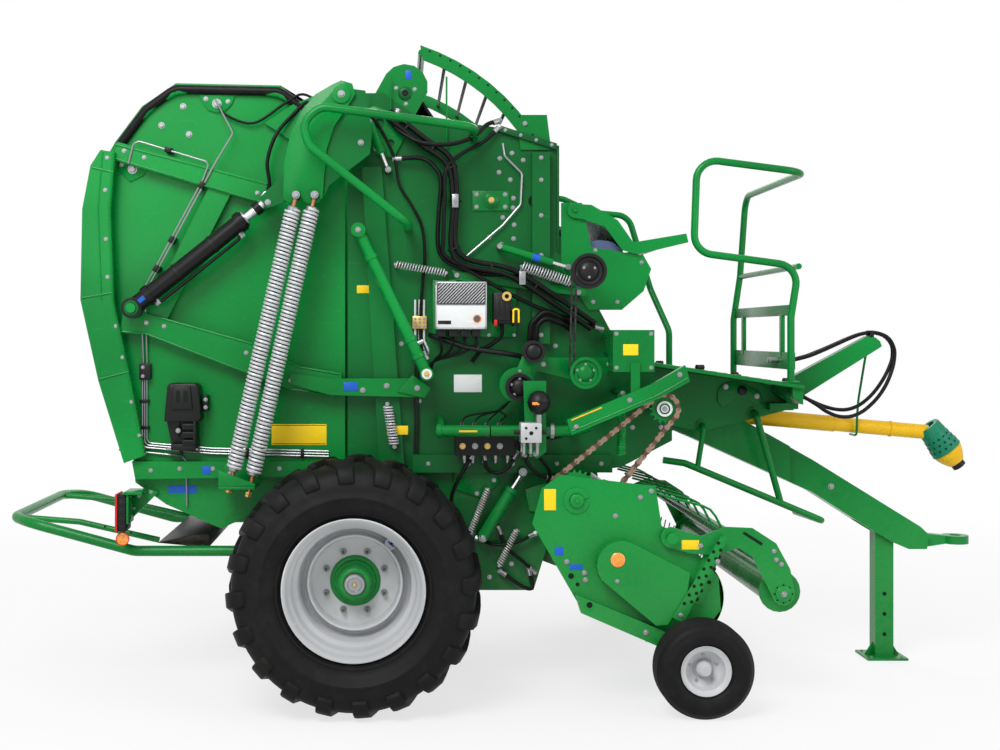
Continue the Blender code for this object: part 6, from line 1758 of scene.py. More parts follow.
@dataclass
class GatePipes:
    """The steel pipes, hoses and clips on the tailgate's right side."""

    y: float = -0.692
    lines: tuple[tuple[Flat, ...], ...] = (((-1.03, 2.371), (-1.007, 2.459), (-0.983, 2.472), (-0.68, 2.381),
                                            (-0.669, 2.366), (-0.695, 2.298), (-0.973, 1.781), (-0.972, 1.47)),
                                           ((-0.638, 2.66), (-0.597, 2.581), (-0.558, 2.508), (-0.632, 2.386),
                                            (-0.955, 1.785), (-0.955, 1.47)),
                                           ((-0.976, 1.396), (-0.976, 1.105), (-0.962, 1.09), (-0.661, 1.062),
                                            (-0.131, 1.049)),
                                           ((-0.966, 1.396), (-0.966, 1.115), (-0.952, 1.1), (-0.661, 1.074),
                                            (-0.131, 1.061)),
                                           ((-0.956, 1.396), (-0.956, 1.125), (-0.942, 1.11), (-0.661, 1.086),
                                            (-0.131, 1.073)),
                                           ((-0.959, 1.068), (-0.795, 1.051), (-0.778, 1.025), (-0.773, 0.823)))

    def build(self) -> None:
        """Builds the pipes as one piece and the hoses as another."""
        pipes = Piece("gate_pipes", "tailgate")
        for points in self.lines:
            level = self.y if points[0][1] > 1.5 else -0.638
            pipes.pipe([(x, level if z > 1.62 else -0.638, z) for x, z in points], 0.0042, 0.022, 8, ZINC, 4)
        pipes.box((-0.987, -0.935), (-0.662, -SEAT_Y), (1.398, 1.47), DARK)
        pipes.bolts([(-0.97, -0.662, z) for z in (1.454, 1.414)], Way.RIGHT, 0.006)
        clips = ((-0.85, 2.434, -0.22), (-0.835, 2.03, 1.07), (-0.7, 2.275, 1.07), (-0.905, 1.9, 1.07))
        for x, z, tilt in clips:
            block = slab((-0.016, 0.016), (self.y - 0.008, -SEAT_Y), (-0.011, 0.011), 0.002)
            block.transform(Matrix.Translation((-AXLE_X, 0, 0)))
            block.transform(Matrix.Translation(at(x, 0, z)) @ Matrix.Rotation(-tilt, 4, "Y"))
            pipes.add(block, DARK)
        for x, z in ((-0.966, 1.3), (-0.966, 1.18), (-0.8, 1.08), (-0.5, 1.066), (-0.25, 1.062)):
            wide, high = (0.022, 0.008) if z > 1.1 else (0.008, 0.022)
            pipes.box((x - wide, x + wide), (-0.646, -SEAT_Y), (z - high, z + high), DARK, 0.002)
        pipes.done()
        runs = Piece("gate_hoses", "tailgate")
        runs.hose([(-0.1, -0.64, 2.6), (-0.218, -0.65, 2.655), (-0.286, -0.665, 2.6), (-0.364, -0.7, 2.5),
                   (-0.402, -0.712, 2.38), (-0.393, -0.712, 2.283), (-0.41, -0.705, 2.225)], 0.0085)
        runs.hose([(-0.15, -0.64, 2.64), (-0.245, -0.65, 2.69), (-0.325, -0.655, 2.65), (-0.47, -0.65, 2.56),
                   (-0.6, -0.645, 2.6), (-0.638, -0.645, 2.655)], 0.006)
        runs.done()


# Sheet details on the walls

@dataclass
class WallDetails(Sided):
    """Bolts, bearing plates, rails and blank plates on a machine side."""

    gate_washers: tuple[Flat, ...] = ((-0.793, 2.639), (-0.891, 2.553), (-0.766, 2.512))
    gate_bolts: tuple[Flat, ...] = ((-0.3, 1.395), (-0.213, 1.39), (-0.95, 1.655), (-0.87, 1.64), (-0.5, 1.52),
                                    (-0.16, 1.385), (-1.05, 2.43), (-0.96, 2.4), (-0.45, 2.24), (-0.93, 0.99),
                                    (-0.8, 0.998), (-0.65, 0.998), (-0.35, 0.998), (-0.2, 0.998))
    wall_bolts: tuple[Flat, ...] = ((0.702, 2.427), (0.647, 2.403), (0.753, 2.395), (0.643, 2.34), (0.694, 2.306),
                                    (0.709, 2.222), (0.707, 2.178), (0.66, 2.134), (0.712, 2.101), (0.709, 2.038),
                                    (0.653, 2.012), (0.599, 2.045), (0.2, 1.56), (0.28, 1.3), (0.35, 0.9),
                                    (0.5, 0.62), (0.7, 0.56), (1.02, 1.03), (0.4, 0.5), (0.6, 0.5), (0.9, 1.55),
                                    (1.08, 1.48), (1.25, 1.18), (1.38, 1.18))
    bearings: tuple[tuple[Flat, ...], ...] = (
        ((-0.723, 2.7), (-0.551, 2.7), (-0.57, 2.649), (-0.6, 2.618), (-0.639, 2.608), (-0.68, 2.622),
         (-0.705, 2.655)),
        ((-1.085, 2.42), (-0.93, 2.38), (-0.974, 2.324), (-1.033, 2.296), (-1.083, 2.344)))

    def gate(self) -> None:
        """The tailgate's details."""
        out, y = self.out, self.out * WALL_Y
        kit = Piece("gate_details_" + self.word, "tailgate")
        for outline in self.bearings:
            kit.plate(outline, y, y + out * 0.01, GREEN, 0.002)
            x, z = sum(p[0] for p in outline) / len(outline), sum(p[1] for p in outline) / len(outline)
            kit.bolts([(x, y + out * 0.01, z)], self.way, 0.016)
            kit.bolts([(x - 0.05, y + out * 0.01, z + 0.022), (x + 0.05, y + out * 0.01, z + 0.01)], self.way, 0.008)
        kit.row(y, self.gate_washers, self.way, 0.011)
        kit.row(out * RIB_Y, self.gate_bolts, self.way, 0.0075)
        # the rubber over the gate's upper edge and the strip on top of it
        edge = [(-0.19, 2.583), (-0.35, 2.705), (-0.83, 2.715), (-0.96, 2.62), (-1.085, 2.452)]
        kit.pipe([(x, out * 0.637, z) for x, z in edge], 0.0212, 0.09, 16, HOSE, 8)
        kit.pipe([(x, out * 0.6375, z + 0.02) for x, z in edge[1:3]], 0.006, 0.01, 8, GREEN)
        # stiffening bends of the pressed ribs
        kit.pipe([(-1.095, out * 0.6855, 2.46), (-0.372, out * 0.6855, 2.27)], 0.0045, 0.01, 8, GREEN)
        kit.pipe([(-1.09, out * 0.6855, 2.395), (-0.412, out * 0.6855, 2.193)], 0.0045, 0.01, 8, GREEN)
        kit.pipe([(-1.045, out * 0.6855, 1.714), (-0.96, out * 0.6855, 1.697), (-0.482, out * 0.6855, 1.563),
                  (-0.26, out * 0.6855, 1.455), (-0.08, out * 0.6855, 1.424)], 0.0045, 0.03, 8, GREEN)
        kit.pipe([(-1.062, out * 0.6855, 1.616), (-0.951, out * 0.6855, 1.606), (-0.3, out * 0.6855, 1.356),
                  (-0.08, out * 0.6855, 1.326)], 0.0045, 0.03, 8, GREEN)
        # the latch end plates
        kit.plate([(0.18, 1.345), (0.25, 1.42), (0.33, 1.362), (0.304, 1.316)], out * 0.7055, out * 0.7135, GREEN,
                  0.002)
        kit.bolts([(0.27, out * 0.7135, 1.362), (0.133, out * 0.7055, 1.372), (0.026, out * 0.7055, 1.352)], self.way,
                  0.0095)
        if self.side is Side.RIGHT:
            kit.box((-0.391, -0.141), (y - 0.0012, y), (1.1, 1.195), SIGN, 0.0004)
            for low, high in ((1.104, 1.107), (1.188, 1.191)):
                kit.box((-0.387, -0.145), (y - 0.0014, y - 0.0012), (low, high), DARK, 0.00005)
            kit.box((-0.86, -0.732), (y - 0.0012, y), (0.88, 0.918), TAG, 0.0004)
            kit.box((-0.698, -0.661), (-RIB_Y - 0.0012, -RIB_Y), (0.972, 1.009), TAG, 0.0004)
            kit.box((-0.06, 0.004), (-0.7068, -0.7056), (1.35, 1.388), TAG, 0.0004)
        kit.done()

    def wall(self) -> None:
        """The chamber wall's details."""
        out, y = self.out, self.out * WALL_Y
        kit = Piece("wall_details_" + self.word, "chassis")
        kit.row(y, self.wall_bolts, self.way, 0.008)
        kit.bolts([(0.83, out * 0.675, z) for z in (1.6, 1.78, 1.96, 2.14, 2.3, 2.4)], self.way, 0.0075)
        kit.bolts([(x, out * RIB_Y, 1.02) for x in (0.32, 0.5, 0.7, 0.9, 1.1)], self.way, 0.0075)
        kit.pin(0.806, 2.209, (y, y + out * 0.0009), 0.03, 28, HOLE_SHADE)
        kit.box((0.521, 0.689), (y, y + out * 0.008), (2.164, 2.256), GREEN)
        kit.bolts([(x, y + out * 0.008, z) for x in (0.54, 0.67) for z in (2.182, 2.238)], self.way, 0.0075)
        hub = [(0.0, 0.0), (0.034, 0.0), (0.034, 0.012), (0.022, 0.018), (0.022, 0.034), (0.0, 0.036)]
        kit.turned(hub, 28, at(0.606, y + out * 0.008, 2.21), self.way, GREEN)
        kit.bolts([(0.606, y + out * 0.043, 2.21)], self.way, 0.01, BRASS)
        # bent flange along the wall's upper front edge
        kit.plate([(0.64, 2.552), (0.905, 2.468), (0.9, 2.44), (0.636, 2.524)], y, y + out * 0.026, SHADE, 0.002)
        kit.bolts([(x, y + out * 0.026, 2.538 - (x - 0.638) * 0.317) for x in (0.67, 0.74, 0.81, 0.88)], self.way,
                  0.006)
        kit.box((0.905, 0.912), (y, y + out * 0.022), (1.98, 2.44), SHADE, 0.001)
        # the pivot washers of the tension arm
        kit.turned([(0.0, 0.0), (0.04, 0.0), (0.04, 0.006), (0.0, 0.01)], 28, at(-0.065, out * 0.8375, 2.66),
                   self.way, GREEN)
        kit.bolts([(-0.065, out * 0.844, 2.66)], self.way, 0.012)
        kit.bolts([(-0.391, out * 0.812, 2.186), (0.02, out * 0.812, 2.45), (-0.2, out * 0.812, 2.3)], self.way, 0.01)
        # the top roller's bearing, and the two upright hooks
        ring = [(0.014, 0.0), (0.031, 0.0), (0.031, 0.004), (0.022, 0.01), (0.014, 0.01)]
        kit.turned(ring, 28, at(0.216, out * 0.6147, 2.7), self.way, SHADE, True)
        kit.pin(0.216, 2.7, (out * 0.612, out * 0.624), 0.0135, 16, BLACK, 0.002)
        kit.bolts([(0.216 + 0.048 * math.cos(a), out * 0.6147, 2.7 + 0.048 * math.sin(a)) for a in (0.4, 2.6, 4.8)],
                  self.way, 0.007)
        kit.box((0.218, 0.246), self.near(0.6145, 0.616), (2.765, 2.805), TAG, 0.0004)
        for x, low, high in ((0.15, 2.57, 2.775), (0.404, 2.44, 2.77)):
            kit.pipe([(x, y, low), (x, y + out * 0.02, low), (x, y + out * 0.024, high)], 0.0042, 0.01, 8, GREEN, 3)
        if self.side is Side.RIGHT:
            self.right_wall(kit)
        kit.done()

    def right_wall(self, kit: Piece) -> None:
        """What only the right wall carries: linkage, springs, pipes and plates."""
        y = -WALL_Y
        kit.pipe([(x, -0.645, z) for x, z in ((0.658, 2.469), (0.667, 2.411), (0.746, 2.332), (0.739, 2.19),
                                              (0.658, 2.097), (0.481, 1.945))], 0.005, 0.03, 8, ZINC)
        kit.plate([(0.425, 1.893), (1.03, 1.806), (1.03, 1.772), (0.445, 1.849)], -0.668, -0.66, GREEN, 0.002)
        for x, z in ((0.45, 1.87), (1.0, 1.792)):
            kit.pin(x, z, (y, -0.676), 0.012, 16, ZINC, 0.001)
        for (x0, z0), (x1, z1), wide in (((0.172, 1.918), (0.4, 1.88), 0.018), ((0.74, 1.909), (0.96, 1.84), 0.025)):
            a, b = at(x0, -0.69, z0), at(x1, -0.69, z1)
            kit.add(coil(a, b, wide, 0.003, (b - a).length / 0.0125), COIL)
            kit.add(bar(a, b, 0.006, 10), DARK)
            for x, z in ((x0, z0), (x1, z1)):
                kit.pin(x, z, (y, -0.702), 0.008, 12, ZINC, 0.001)
        a, b = at(0.138, -0.69, 1.281), at(0.167, -0.69, 1.106)
        kit.add(coil(a, b, 0.024, 0.0038, 14), COIL)
        kit.add(bar(a, b, 0.007, 10), DARK)
        for x, z in ((0.136, 1.29), (0.168, 1.098)):
            kit.pin(x, z, (y, -0.704), 0.01, 14, ZINC, 0.001)
        kit.box((0.438, 0.565), (y - 0.0012, y), (1.34, 1.42), CARD, 0.0004)
        kit.box((-0.003, 0.064), (y - 0.0012, y), (1.79, 1.826), SIGN, 0.0004)
        kit.box((0.135, 0.229), (-0.6668, -0.665), (1.15, 1.19), SIGN, 0.0004)
        # the wiring loom under the box, and two thick hoses that turn down beside it
        kit.pipe([(0.33, y, 1.6), (0.35, -0.69, 1.594), (0.485, -0.7, 1.546), (0.553, -0.7, 1.533),
                  (0.656, -0.705, 1.519), (0.723, -0.7, 1.508), (0.75, y, 1.5)], 0.0115, 0.05, 14, DARK, 4)
        for x in (0.42, 0.54, 0.64):
            kit.add(bar(at(x, -0.7, 1.5694 - (x - 0.42) * 0.24), at(x + 0.007, -0.7, 1.5677 - (x - 0.42) * 0.24),
                        0.0135, 16), BELT)
        for step in (0.0, 0.028):
            kit.pipe([(0.775 + step, y, 1.54), (0.775 + step, -0.7, 1.56), (0.78 + step, -0.705, 1.65 - step * 0.3),
                      (0.845, -0.705, 1.712 - step), (0.93, -0.7, 1.676 - step), (0.965, y, 1.655 - step)], 0.012,
                     0.05, 14, HOSE, 5)
        # the block that joins three pipes
        kit.box((0.249, 0.315), (y - 0.032, y), (1.628, 1.686), BRASS, 0.003)
        for i in range(3):
            x = 0.262 + 0.02 * i
            kit.pipe([(x, y - 0.016, 1.76), (x, y - 0.016, 1.575), (x + 0.02, y - 0.016, 1.53),
                      (x + 0.02, y + 0.004, 1.515)], 0.0052, 0.02, 10, CARD, 4)
            kit.bolts([(x, y - 0.032, 1.641 + 0.016 * k) for k in range(3)], Way.RIGHT, 0.0042)
        cylinder_a, cylinder_b = at(0.64, -0.7, 1.998), at(0.88, -0.7, 1.925)
        kit.add(bar(cylinder_a, cylinder_b, 0.017, 20, ease=0.003), GREEN)
        kit.add(bar(cylinder_a.lerp(cylinder_b, 0.62), cylinder_a.lerp(cylinder_b, 0.76), 0.0174, 20), TAG)
        kit.add(bar(cylinder_b, cylinder_b + (cylinder_b - cylinder_a).normalized() * 0.07, 0.009, 14), CHROME)
        for spot in (cylinder_a, cylinder_b + (cylinder_b - cylinder_a).normalized() * 0.07):
            kit.add(bar(Vector((spot.x, y, spot.z)), Vector((spot.x, -0.722, spot.z)), 0.013, 16, ease=0.002), ZINC)

    def build(self) -> None:
        """Builds the gate's and the wall's pieces."""
        self.gate()
        self.wall()


# Boxes and valves

@dataclass
class ControlBox:
    """The finned control box, its carrier plate, relay box, plugs and looms."""

    def build(self) -> None:
        """Builds the box as one piece."""
        box = Piece("control_box_finned", "chassis")
        y0, y1 = -SEAT_Y, -0.655
        box.box((0.34, 0.72), (y0, y1), (1.59, 1.85), GREEN, 0.003)
        box.box((0.35, 0.58), (y1 + 0.003, -0.768), (1.625, 1.838), ALLOY, 0.006)
        face = -0.768
        # a dark sheet under the fins: painted shade in the gaps between them
        box.box((0.356, 0.574), (face, face - 0.002), (1.735, 1.832), SLATE_AND_FIN_GAP_SHADE, 0.001)
        for i in range(21):
            start = 0.262 + 0.0145 * i
            low, high = max(start, 0.36), min(start + 0.0885, 0.566)
            if high - low > 0.006:
                z0, z1 = 1.741 + low - start, 1.741 + high - start
                box.plate([(low, z0), (low + 0.0055, z0), (high + 0.0055, z1), (high, z1)], face - 0.0015, -0.7785,
                          ALLOY, 0.0006)
        box.box((0.358, 0.572), (face, face - 0.0012), (1.633, 1.73), CARD, 0.0004)
        box.turned(hoop(0.015, 0.019, 0.0016), 24, at(0.536, face - 0.001, 1.672), Way.RIGHT, AMBER, True)
        box.turned(puck(0.0145, 0.0022), 24, at(0.536, face - 0.001, 1.672), Way.RIGHT, SLATE_AND_FIN_GAP_SHADE)
        box.box((0.362, 0.42), (face - 0.001, face - 0.0022), (1.648, 1.664), DARK, 0.0002)
        box.bolts([(x, face - 0.0002, z) for x in (0.357, 0.573) for z in (1.633, 1.83)], Way.RIGHT, 0.0045)
        for i in range(4):
            x = 0.378 + 0.052 * i
            box.box((x - 0.019, x + 0.019), (-0.672, -0.742), (1.592, 1.626), DARK, 0.003)
            box.hose([(x, -0.706, 1.594), (x, -0.708, 1.56), (x - 0.02 * i, -0.69, 1.52), (0.345, -0.665, 1.48),
                      (0.33, -0.645, 1.43)], 0.0062, 8)
        box.box((0.61, 0.69), (y1 + 0.003, -0.748), (1.65, 1.79), DARK, 0.006)
        box.box((0.616, 0.684), (-0.748, -0.758), (1.664, 1.776), DARK, 0.004)
        for i in range(3):
            box.box((0.622 + 0.021 * i, 0.638 + 0.021 * i), (-0.758, -0.7605), (1.69, 1.75), DARK, 0.001)
        box.pipe([(0.698, -0.758, 1.655), (0.698, -0.758, 1.715), (0.722, -0.758, 1.715), (0.722, -0.758, 1.655)],
                 0.0045, 0.008, 8, SIGN)
        box.box((0.699, 0.721), (y1 + 0.003, -0.756), (1.64, 1.708), DARK, 0.003)
        box.box((0.612, 0.626), (-0.758, -0.768), (1.64, 1.668), RED, 0.003)
        box.turned(hoop(0.01, 0.021, 0.012), 24, at(0.668, -0.7605, 1.772), Way.RIGHT, BRASS, True)
        box.hose([(0.65, -0.7, 1.65), (0.65, -0.7, 1.6), (0.61, -0.69, 1.56), (0.56, -0.67, 1.53),
                  (0.52, -0.645, 1.48)], 0.009, 10)
        box.row(y1, ((0.595, 1.6), (0.71, 1.6), (0.595, 1.84), (0.71, 1.84)), Way.RIGHT, 0.006)
        box.done("control_box")


@dataclass
class Valves:
    """Solenoids, plugs, gauges and fittings on the valve block and the manifold."""

    def build(self) -> None:
        """Builds the details round the kept block."""
        kit = Piece("valve_details", "chassis")
        for i, x in enumerate((0.47, 0.525, 0.58, 0.635)):
            kit.post(x, -0.745, (1.148, 1.196), 0.019, 20, DARK, 0.002)
            kit.post(x, -0.745, (1.195, 1.208), 0.01, 12, ZINC, 0.002)
            kit.box((x - 0.013, x + 0.013), (-0.764, -0.796), (1.156, 1.184), DARK, 0.003)
            kit.hose([(x, -0.79, 1.182), (x, -0.786, 1.215), (x + 0.03, -0.75, 1.24), (0.64, -0.7, 1.262),
                      (0.69, -0.65, 1.3)], 0.0042, 6)
            kit.add(placed(bolt(), at(x, -0.8002, 1.108), Way.RIGHT, 0.01), ZINC if i % 2 else BRASS)
        for x in (0.48, 0.518, 0.566, 0.619, 0.673):
            kit.post(x, -0.74, (1.0665, 1.046), 0.0115, 6, ZINC)
            kit.post(x, -0.74, (1.048, 1.028), 0.0085, 14, ZINC, 0.001)
        kit.box((0.726, 0.824), (-0.8185, -0.8205), (1.084, 1.186), ALLOY, 0.001)
        kit.bolts([(x, -0.8205, z) for x in (0.742, 0.808) for z in (1.1, 1.17)], Way.RIGHT, 0.007)
        for x in (0.742, 0.775, 0.806):
            kit.post(x, -0.76, (1.081, 1.06), 0.0125, 6, ZINC)
            kit.post(x, -0.76, (1.189, 1.206), 0.011, 6, BRASS)
        kit.turned(hoop(0.0135, 0.02, 0.014), 6, at(0.798, -0.73, 1.215), Way.UP, ZINC, True)
        kit.turned([(0.0375, -0.003), (0.0395, -0.003), (0.0395, 0.003), (0.0375, 0.003)], 32, at(0.806, -0.73, 1.29),
                   Way.RIGHT, ZINC, True)
        for reach, z0 in ((0.0, 1.178), (0.02, 1.15)):
            line = [(0.822, -0.8 - reach, z0), (0.891, -0.835 - reach, z0 + 0.004), (1.01, -0.86, 1.228 - reach),
                    (1.12, -0.862, 1.29), (1.21, -0.85, 1.345)]
            kit.hose(line, 0.0085)
        kit.done()


# Drives, lamps and covers

def wheel_on(centre: Flat, radius: float, half: float, grooves: int, hub: float) -> bpy.types.Mesh:
    """A turned pulley with its grooves and hub, across the machine's right side.

    Args:
        centre: forward and up, from the axle.
        radius: its outer radius.
        half: half its width.
        grooves: how many grooves its rim has.
        hub: its hub's radius.

    Returns:
        The mesh, its middle at the place's level.
    """
    pitch = 2 * (half - 0.002) / grooves
    rim = [(radius - 0.016, -half), (radius, -half)]
    for k in range(grooves):
        low = -half + 0.002 + pitch * k
        rim += [(radius, low), (radius - 0.009, low + pitch * 0.38), (radius - 0.009, low + pitch * 0.62),
                (radius, low + pitch)]
    profile = [*rim, (radius, half), (radius - 0.014, half), (radius - 0.019, half - 0.01),
               (hub + 0.01, half - 0.012), (hub, half - 0.002), (hub * 0.55, half + 0.004), (0.0, half + 0.004),
               (0.0, -half)]
    return placed(lathe(profile, 36), at(centre[0], -PULLEY_Y, centre[1]), Way.RIGHT)


@dataclass
class NetDrive:
    """The net feed's belt drive: its bearer, pulleys, belt and shafts."""

    bearer: tuple[Flat, ...] = ((0.69, 1.34), (0.69, 1.4), (0.76, 1.56), (0.82, 1.56), (0.84, 1.5), (1.16, 1.5),
                                (1.16, 1.44), (0.96, 1.4), (0.8, 1.44), (0.76, 1.34))
    belt: tuple[Flat, ...] = ((0.948, 1.88), (0.935, 1.44), (0.955, 1.43), (0.966, 1.88))

    def build(self) -> None:
        """Builds the drive in one piece, in place of its solid."""
        drive = Piece("net_belt_drive", "chassis")
        drive.plate(self.bearer, -0.77, -0.78, GREEN, 0.002)
        for (x, z), radius, step, finish, hub in (((1.005, 1.434), 0.07, 0.0, GREEN, ZINC),
                                                  ((0.781, 1.526), 0.05, 0.03, DARK, BRASS),
                                                  ((0.722, 1.369), 0.062, 0.06, DARK, BRASS)):
            middle_y = -PULLEY_Y + step
            wheel = wheel_on((x, z), radius, 0.017, 1 if finish is GREEN else 2, 0.03)
            wheel.transform(Matrix.Translation((0.0, step, 0.0)))
            drive.add(wheel, finish)
            drive.pin(x, z, (-WALL_Y, middle_y - 0.0205), 0.015, 18, hub, 0.002)
            for k in range(5):
                turn = math.tau * k / 5 + 0.3
                drive.bolts([(x + 0.036 * math.cos(turn), middle_y - 0.0052, z + 0.036 * math.sin(turn))], Way.RIGHT,
                            0.0055)
        drive.pin(0.712, 1.378, (-0.776, -0.784), 0.078, 40, GREEN, 0.002)
        drive.add(wheel_on((1.02, 1.88), 0.078, 0.018, 3, 0.036), DARK)
        drive.pin(1.02, 1.88, (-WALL_Y, -PULLEY_Y - 0.02), 0.016, 18, ZINC, 0.002)
        drive.bolts([(1.02 + 0.026 * math.cos(a), -PULLEY_Y - 0.0185, 1.88 + 0.026 * math.sin(a))
                     for a in (0.5, 2.6, 4.7)], Way.RIGHT, 0.005)
        for near_edge, far_edge in ((0, 1), (3, 2)):
            (x0, z0), (x1, z1) = self.belt[near_edge], self.belt[far_edge]
            drive.plate([(x0 - 0.004, z0), (x0 + 0.004, z0), (x1 + 0.004, z1), (x1 - 0.004, z1)], -0.856, -0.874,
                        BELT, 0.0015)
        for x, z in ((0.725, 1.44), (0.83, 1.47), (1.12, 1.47)):
            drive.pin(x, z, (-WALL_Y, -0.77), 0.01, 12, ZINC)
            drive.bolts([(x, -0.78, z)], Way.RIGHT, 0.008)
        drive.done("net_drive")


@dataclass
class GuardDetails:
    """Lines, plates and fasteners on the guard arm over the drives."""

    def build(self) -> None:
        kit = Piece("guard_details", "chassis")
        kit.pipe([(x, -0.9853, 0.4189 * x + 0.8438) for x in (0.93, 1.06)], 0.0036, 0.02, 6, YELLOW)
        kit.pipe([(x, -0.9855, z + 0.016) for x, z in ((0.93, 1.17), (1.29, 1.32), (1.43, 1.398))], 0.0035, 0.02, 6,
                 GREEN)
        kit.bolts([(0.95, -0.985, 1.205), (1.395, -0.985, 1.43), (1.18, -0.985, 1.32)], Way.RIGHT, 0.0085)
        kit.box((1.159, 1.224), (-0.94, -0.9412), (1.512, 1.56), SIGN, 0.0004)
        kit.bolts([(x, -0.94, z) for x in (1.13, 1.28) for z in (1.458, 1.605)], Way.RIGHT, 0.007)
        kit.bolts([(0.785, -0.902, 1.085)], Way.RIGHT, 0.01)
        # the bright valve block under the accumulator
        kit.box((0.7116, 0.802), (-0.902, -0.99), (1.136, 1.222), ALLOY, 0.004)
        for x, z, radius in ((0.735, 1.2, 0.006), (0.778, 1.2, 0.006), (0.757, 1.178, 0.009), (0.735, 1.155, 0.006)):
            kit.pin(x, z, (-0.989, -0.9908), radius, 16, HOLE_SHADE)
        for x in (0.728, 0.757, 0.786):
            kit.post(x, -0.95, (1.137, 1.118), 0.011, 6, ZINC)
            kit.post(x, -0.95, (1.119, 1.086), 0.008, 14, ZINC, 0.001)
        for x, way in ((0.712, -1), (0.8016, 1)):
            kit.add(bar(at(x, -0.95, 1.18), at(x + way * 0.026, -0.95, 1.18), 0.0115, 6), DARK)
        # the round accumulator on its clamp
        dome = [(0.0, 0.0), (0.016, 0.002), (0.036, 0.014), (0.047, 0.036), (0.0495, 0.05), (0.0495, 0.056),
                (0.0475, 0.068), (0.037, 0.088), (0.018, 0.101), (0.0, 0.103)]
        kit.turned(dome, 32, at(0.793, -0.955, 1.257), Way.UP, DARK)
        kit.turned([(0.0495, 0.0), (0.0515, 0.001), (0.0515, 0.005), (0.0495, 0.006)], 32, at(0.793, -0.955, 1.307),
                   Way.UP, BLACK, True)
        kit.post(0.793, -0.955, (1.258, 1.205), 0.014, 16, ZINC, 0.002)
        kit.pin(0.793, 1.225, (-0.9, -0.962), 0.012, 6, ZINC, 0.001)
        kit.box((0.76, 0.79), (-1.0035, -1.0055), (1.3, 1.312), AMBER, 0.0004)
        kit.add(bar(at(0.59, ARM_Y, 1.18), at(0.58, ARM_Y, 1.18), 0.0255, 20, ease=0.004), DARK)
        kit.turned(hoop(0.0265, 0.034, 0.016), 24, at(0.85, ARM_Y, 1.18), Way.FRONT, ZINC, True)
        kit.done()


@dataclass
class RearLamp(Sided):
    """A rear lamp block under its hood, with its round side reflector."""

    def build(self) -> None:
        """Builds the lamp in place of its solid."""
        out = self.out
        lamp = Piece("lamp_block_" + self.word, "tailgate")
        lamp.box((-1.062, -1.024), self.near(0.648, 0.778), (0.724, 0.891), DARK, 0.01)
        lamp.box((-1.0745, -1.0625), self.near(0.642, 0.778), (0.7215, 0.893), RED, 0.005)
        for k in range(3):
            low = 0.732 + 0.054 * k
            lamp.box((-1.075, -1.0738), self.near(0.65, 0.77), (low, low + 0.046), (LAMP, AMBER, CARD)[k], 0.0005)
        for k in range(5):
            z = 0.738 + 0.034 * k
            lamp.box((-1.056, -1.03), self.near(0.7782, 0.7798), (z, z + 0.018), DARK, 0.0006)
        lamp.box((-1.0345, -0.9505), self.near(0.6305, 0.7895), (0.8905, 0.904), GREEN, 0.004)
        lamp.box((-1.0235, -1.013), self.near(0.648, 0.778), (0.76, 0.8905), GREEN, 0.002)
        lamp.add(plate([(-1.03, 0.895), (-0.94, 0.9), (-0.9, 0.89), (-1.03, 0.76)], *self.near(0.6257, 0.6445),
                       0.002), GREEN)
        lamp.row(out * 0.6447, ((-0.935, 0.888), (-0.99, 0.87), (-1.015, 0.815)), self.way, 0.006)
        lamp.box((-1.054, -1.036), self.near(0.7, 0.74), (0.6905, 0.73), GREEN, 0.002)
        disc = [(0.0, 0.0), (0.03, 0.0), (0.03, 0.007), (0.0265, 0.0085), (0.0, 0.0085)]
        lamp.turned(disc, 32, at(-1.045, out * 0.7402, 0.69), self.way, AMBER)
        lamp.turned([(0.0266, 0.007), (0.03, 0.0068), (0.03, 0.01), (0.0266, 0.0102)], 32,
                    at(-1.045, out * 0.7402, 0.69), self.way, RED, True)
        lamp.box((-1.052, -1.038), self.near(0.73, 0.7401), (0.662, 0.718), DARK, 0.002)
        lamp.done("lamp_" + self.word)


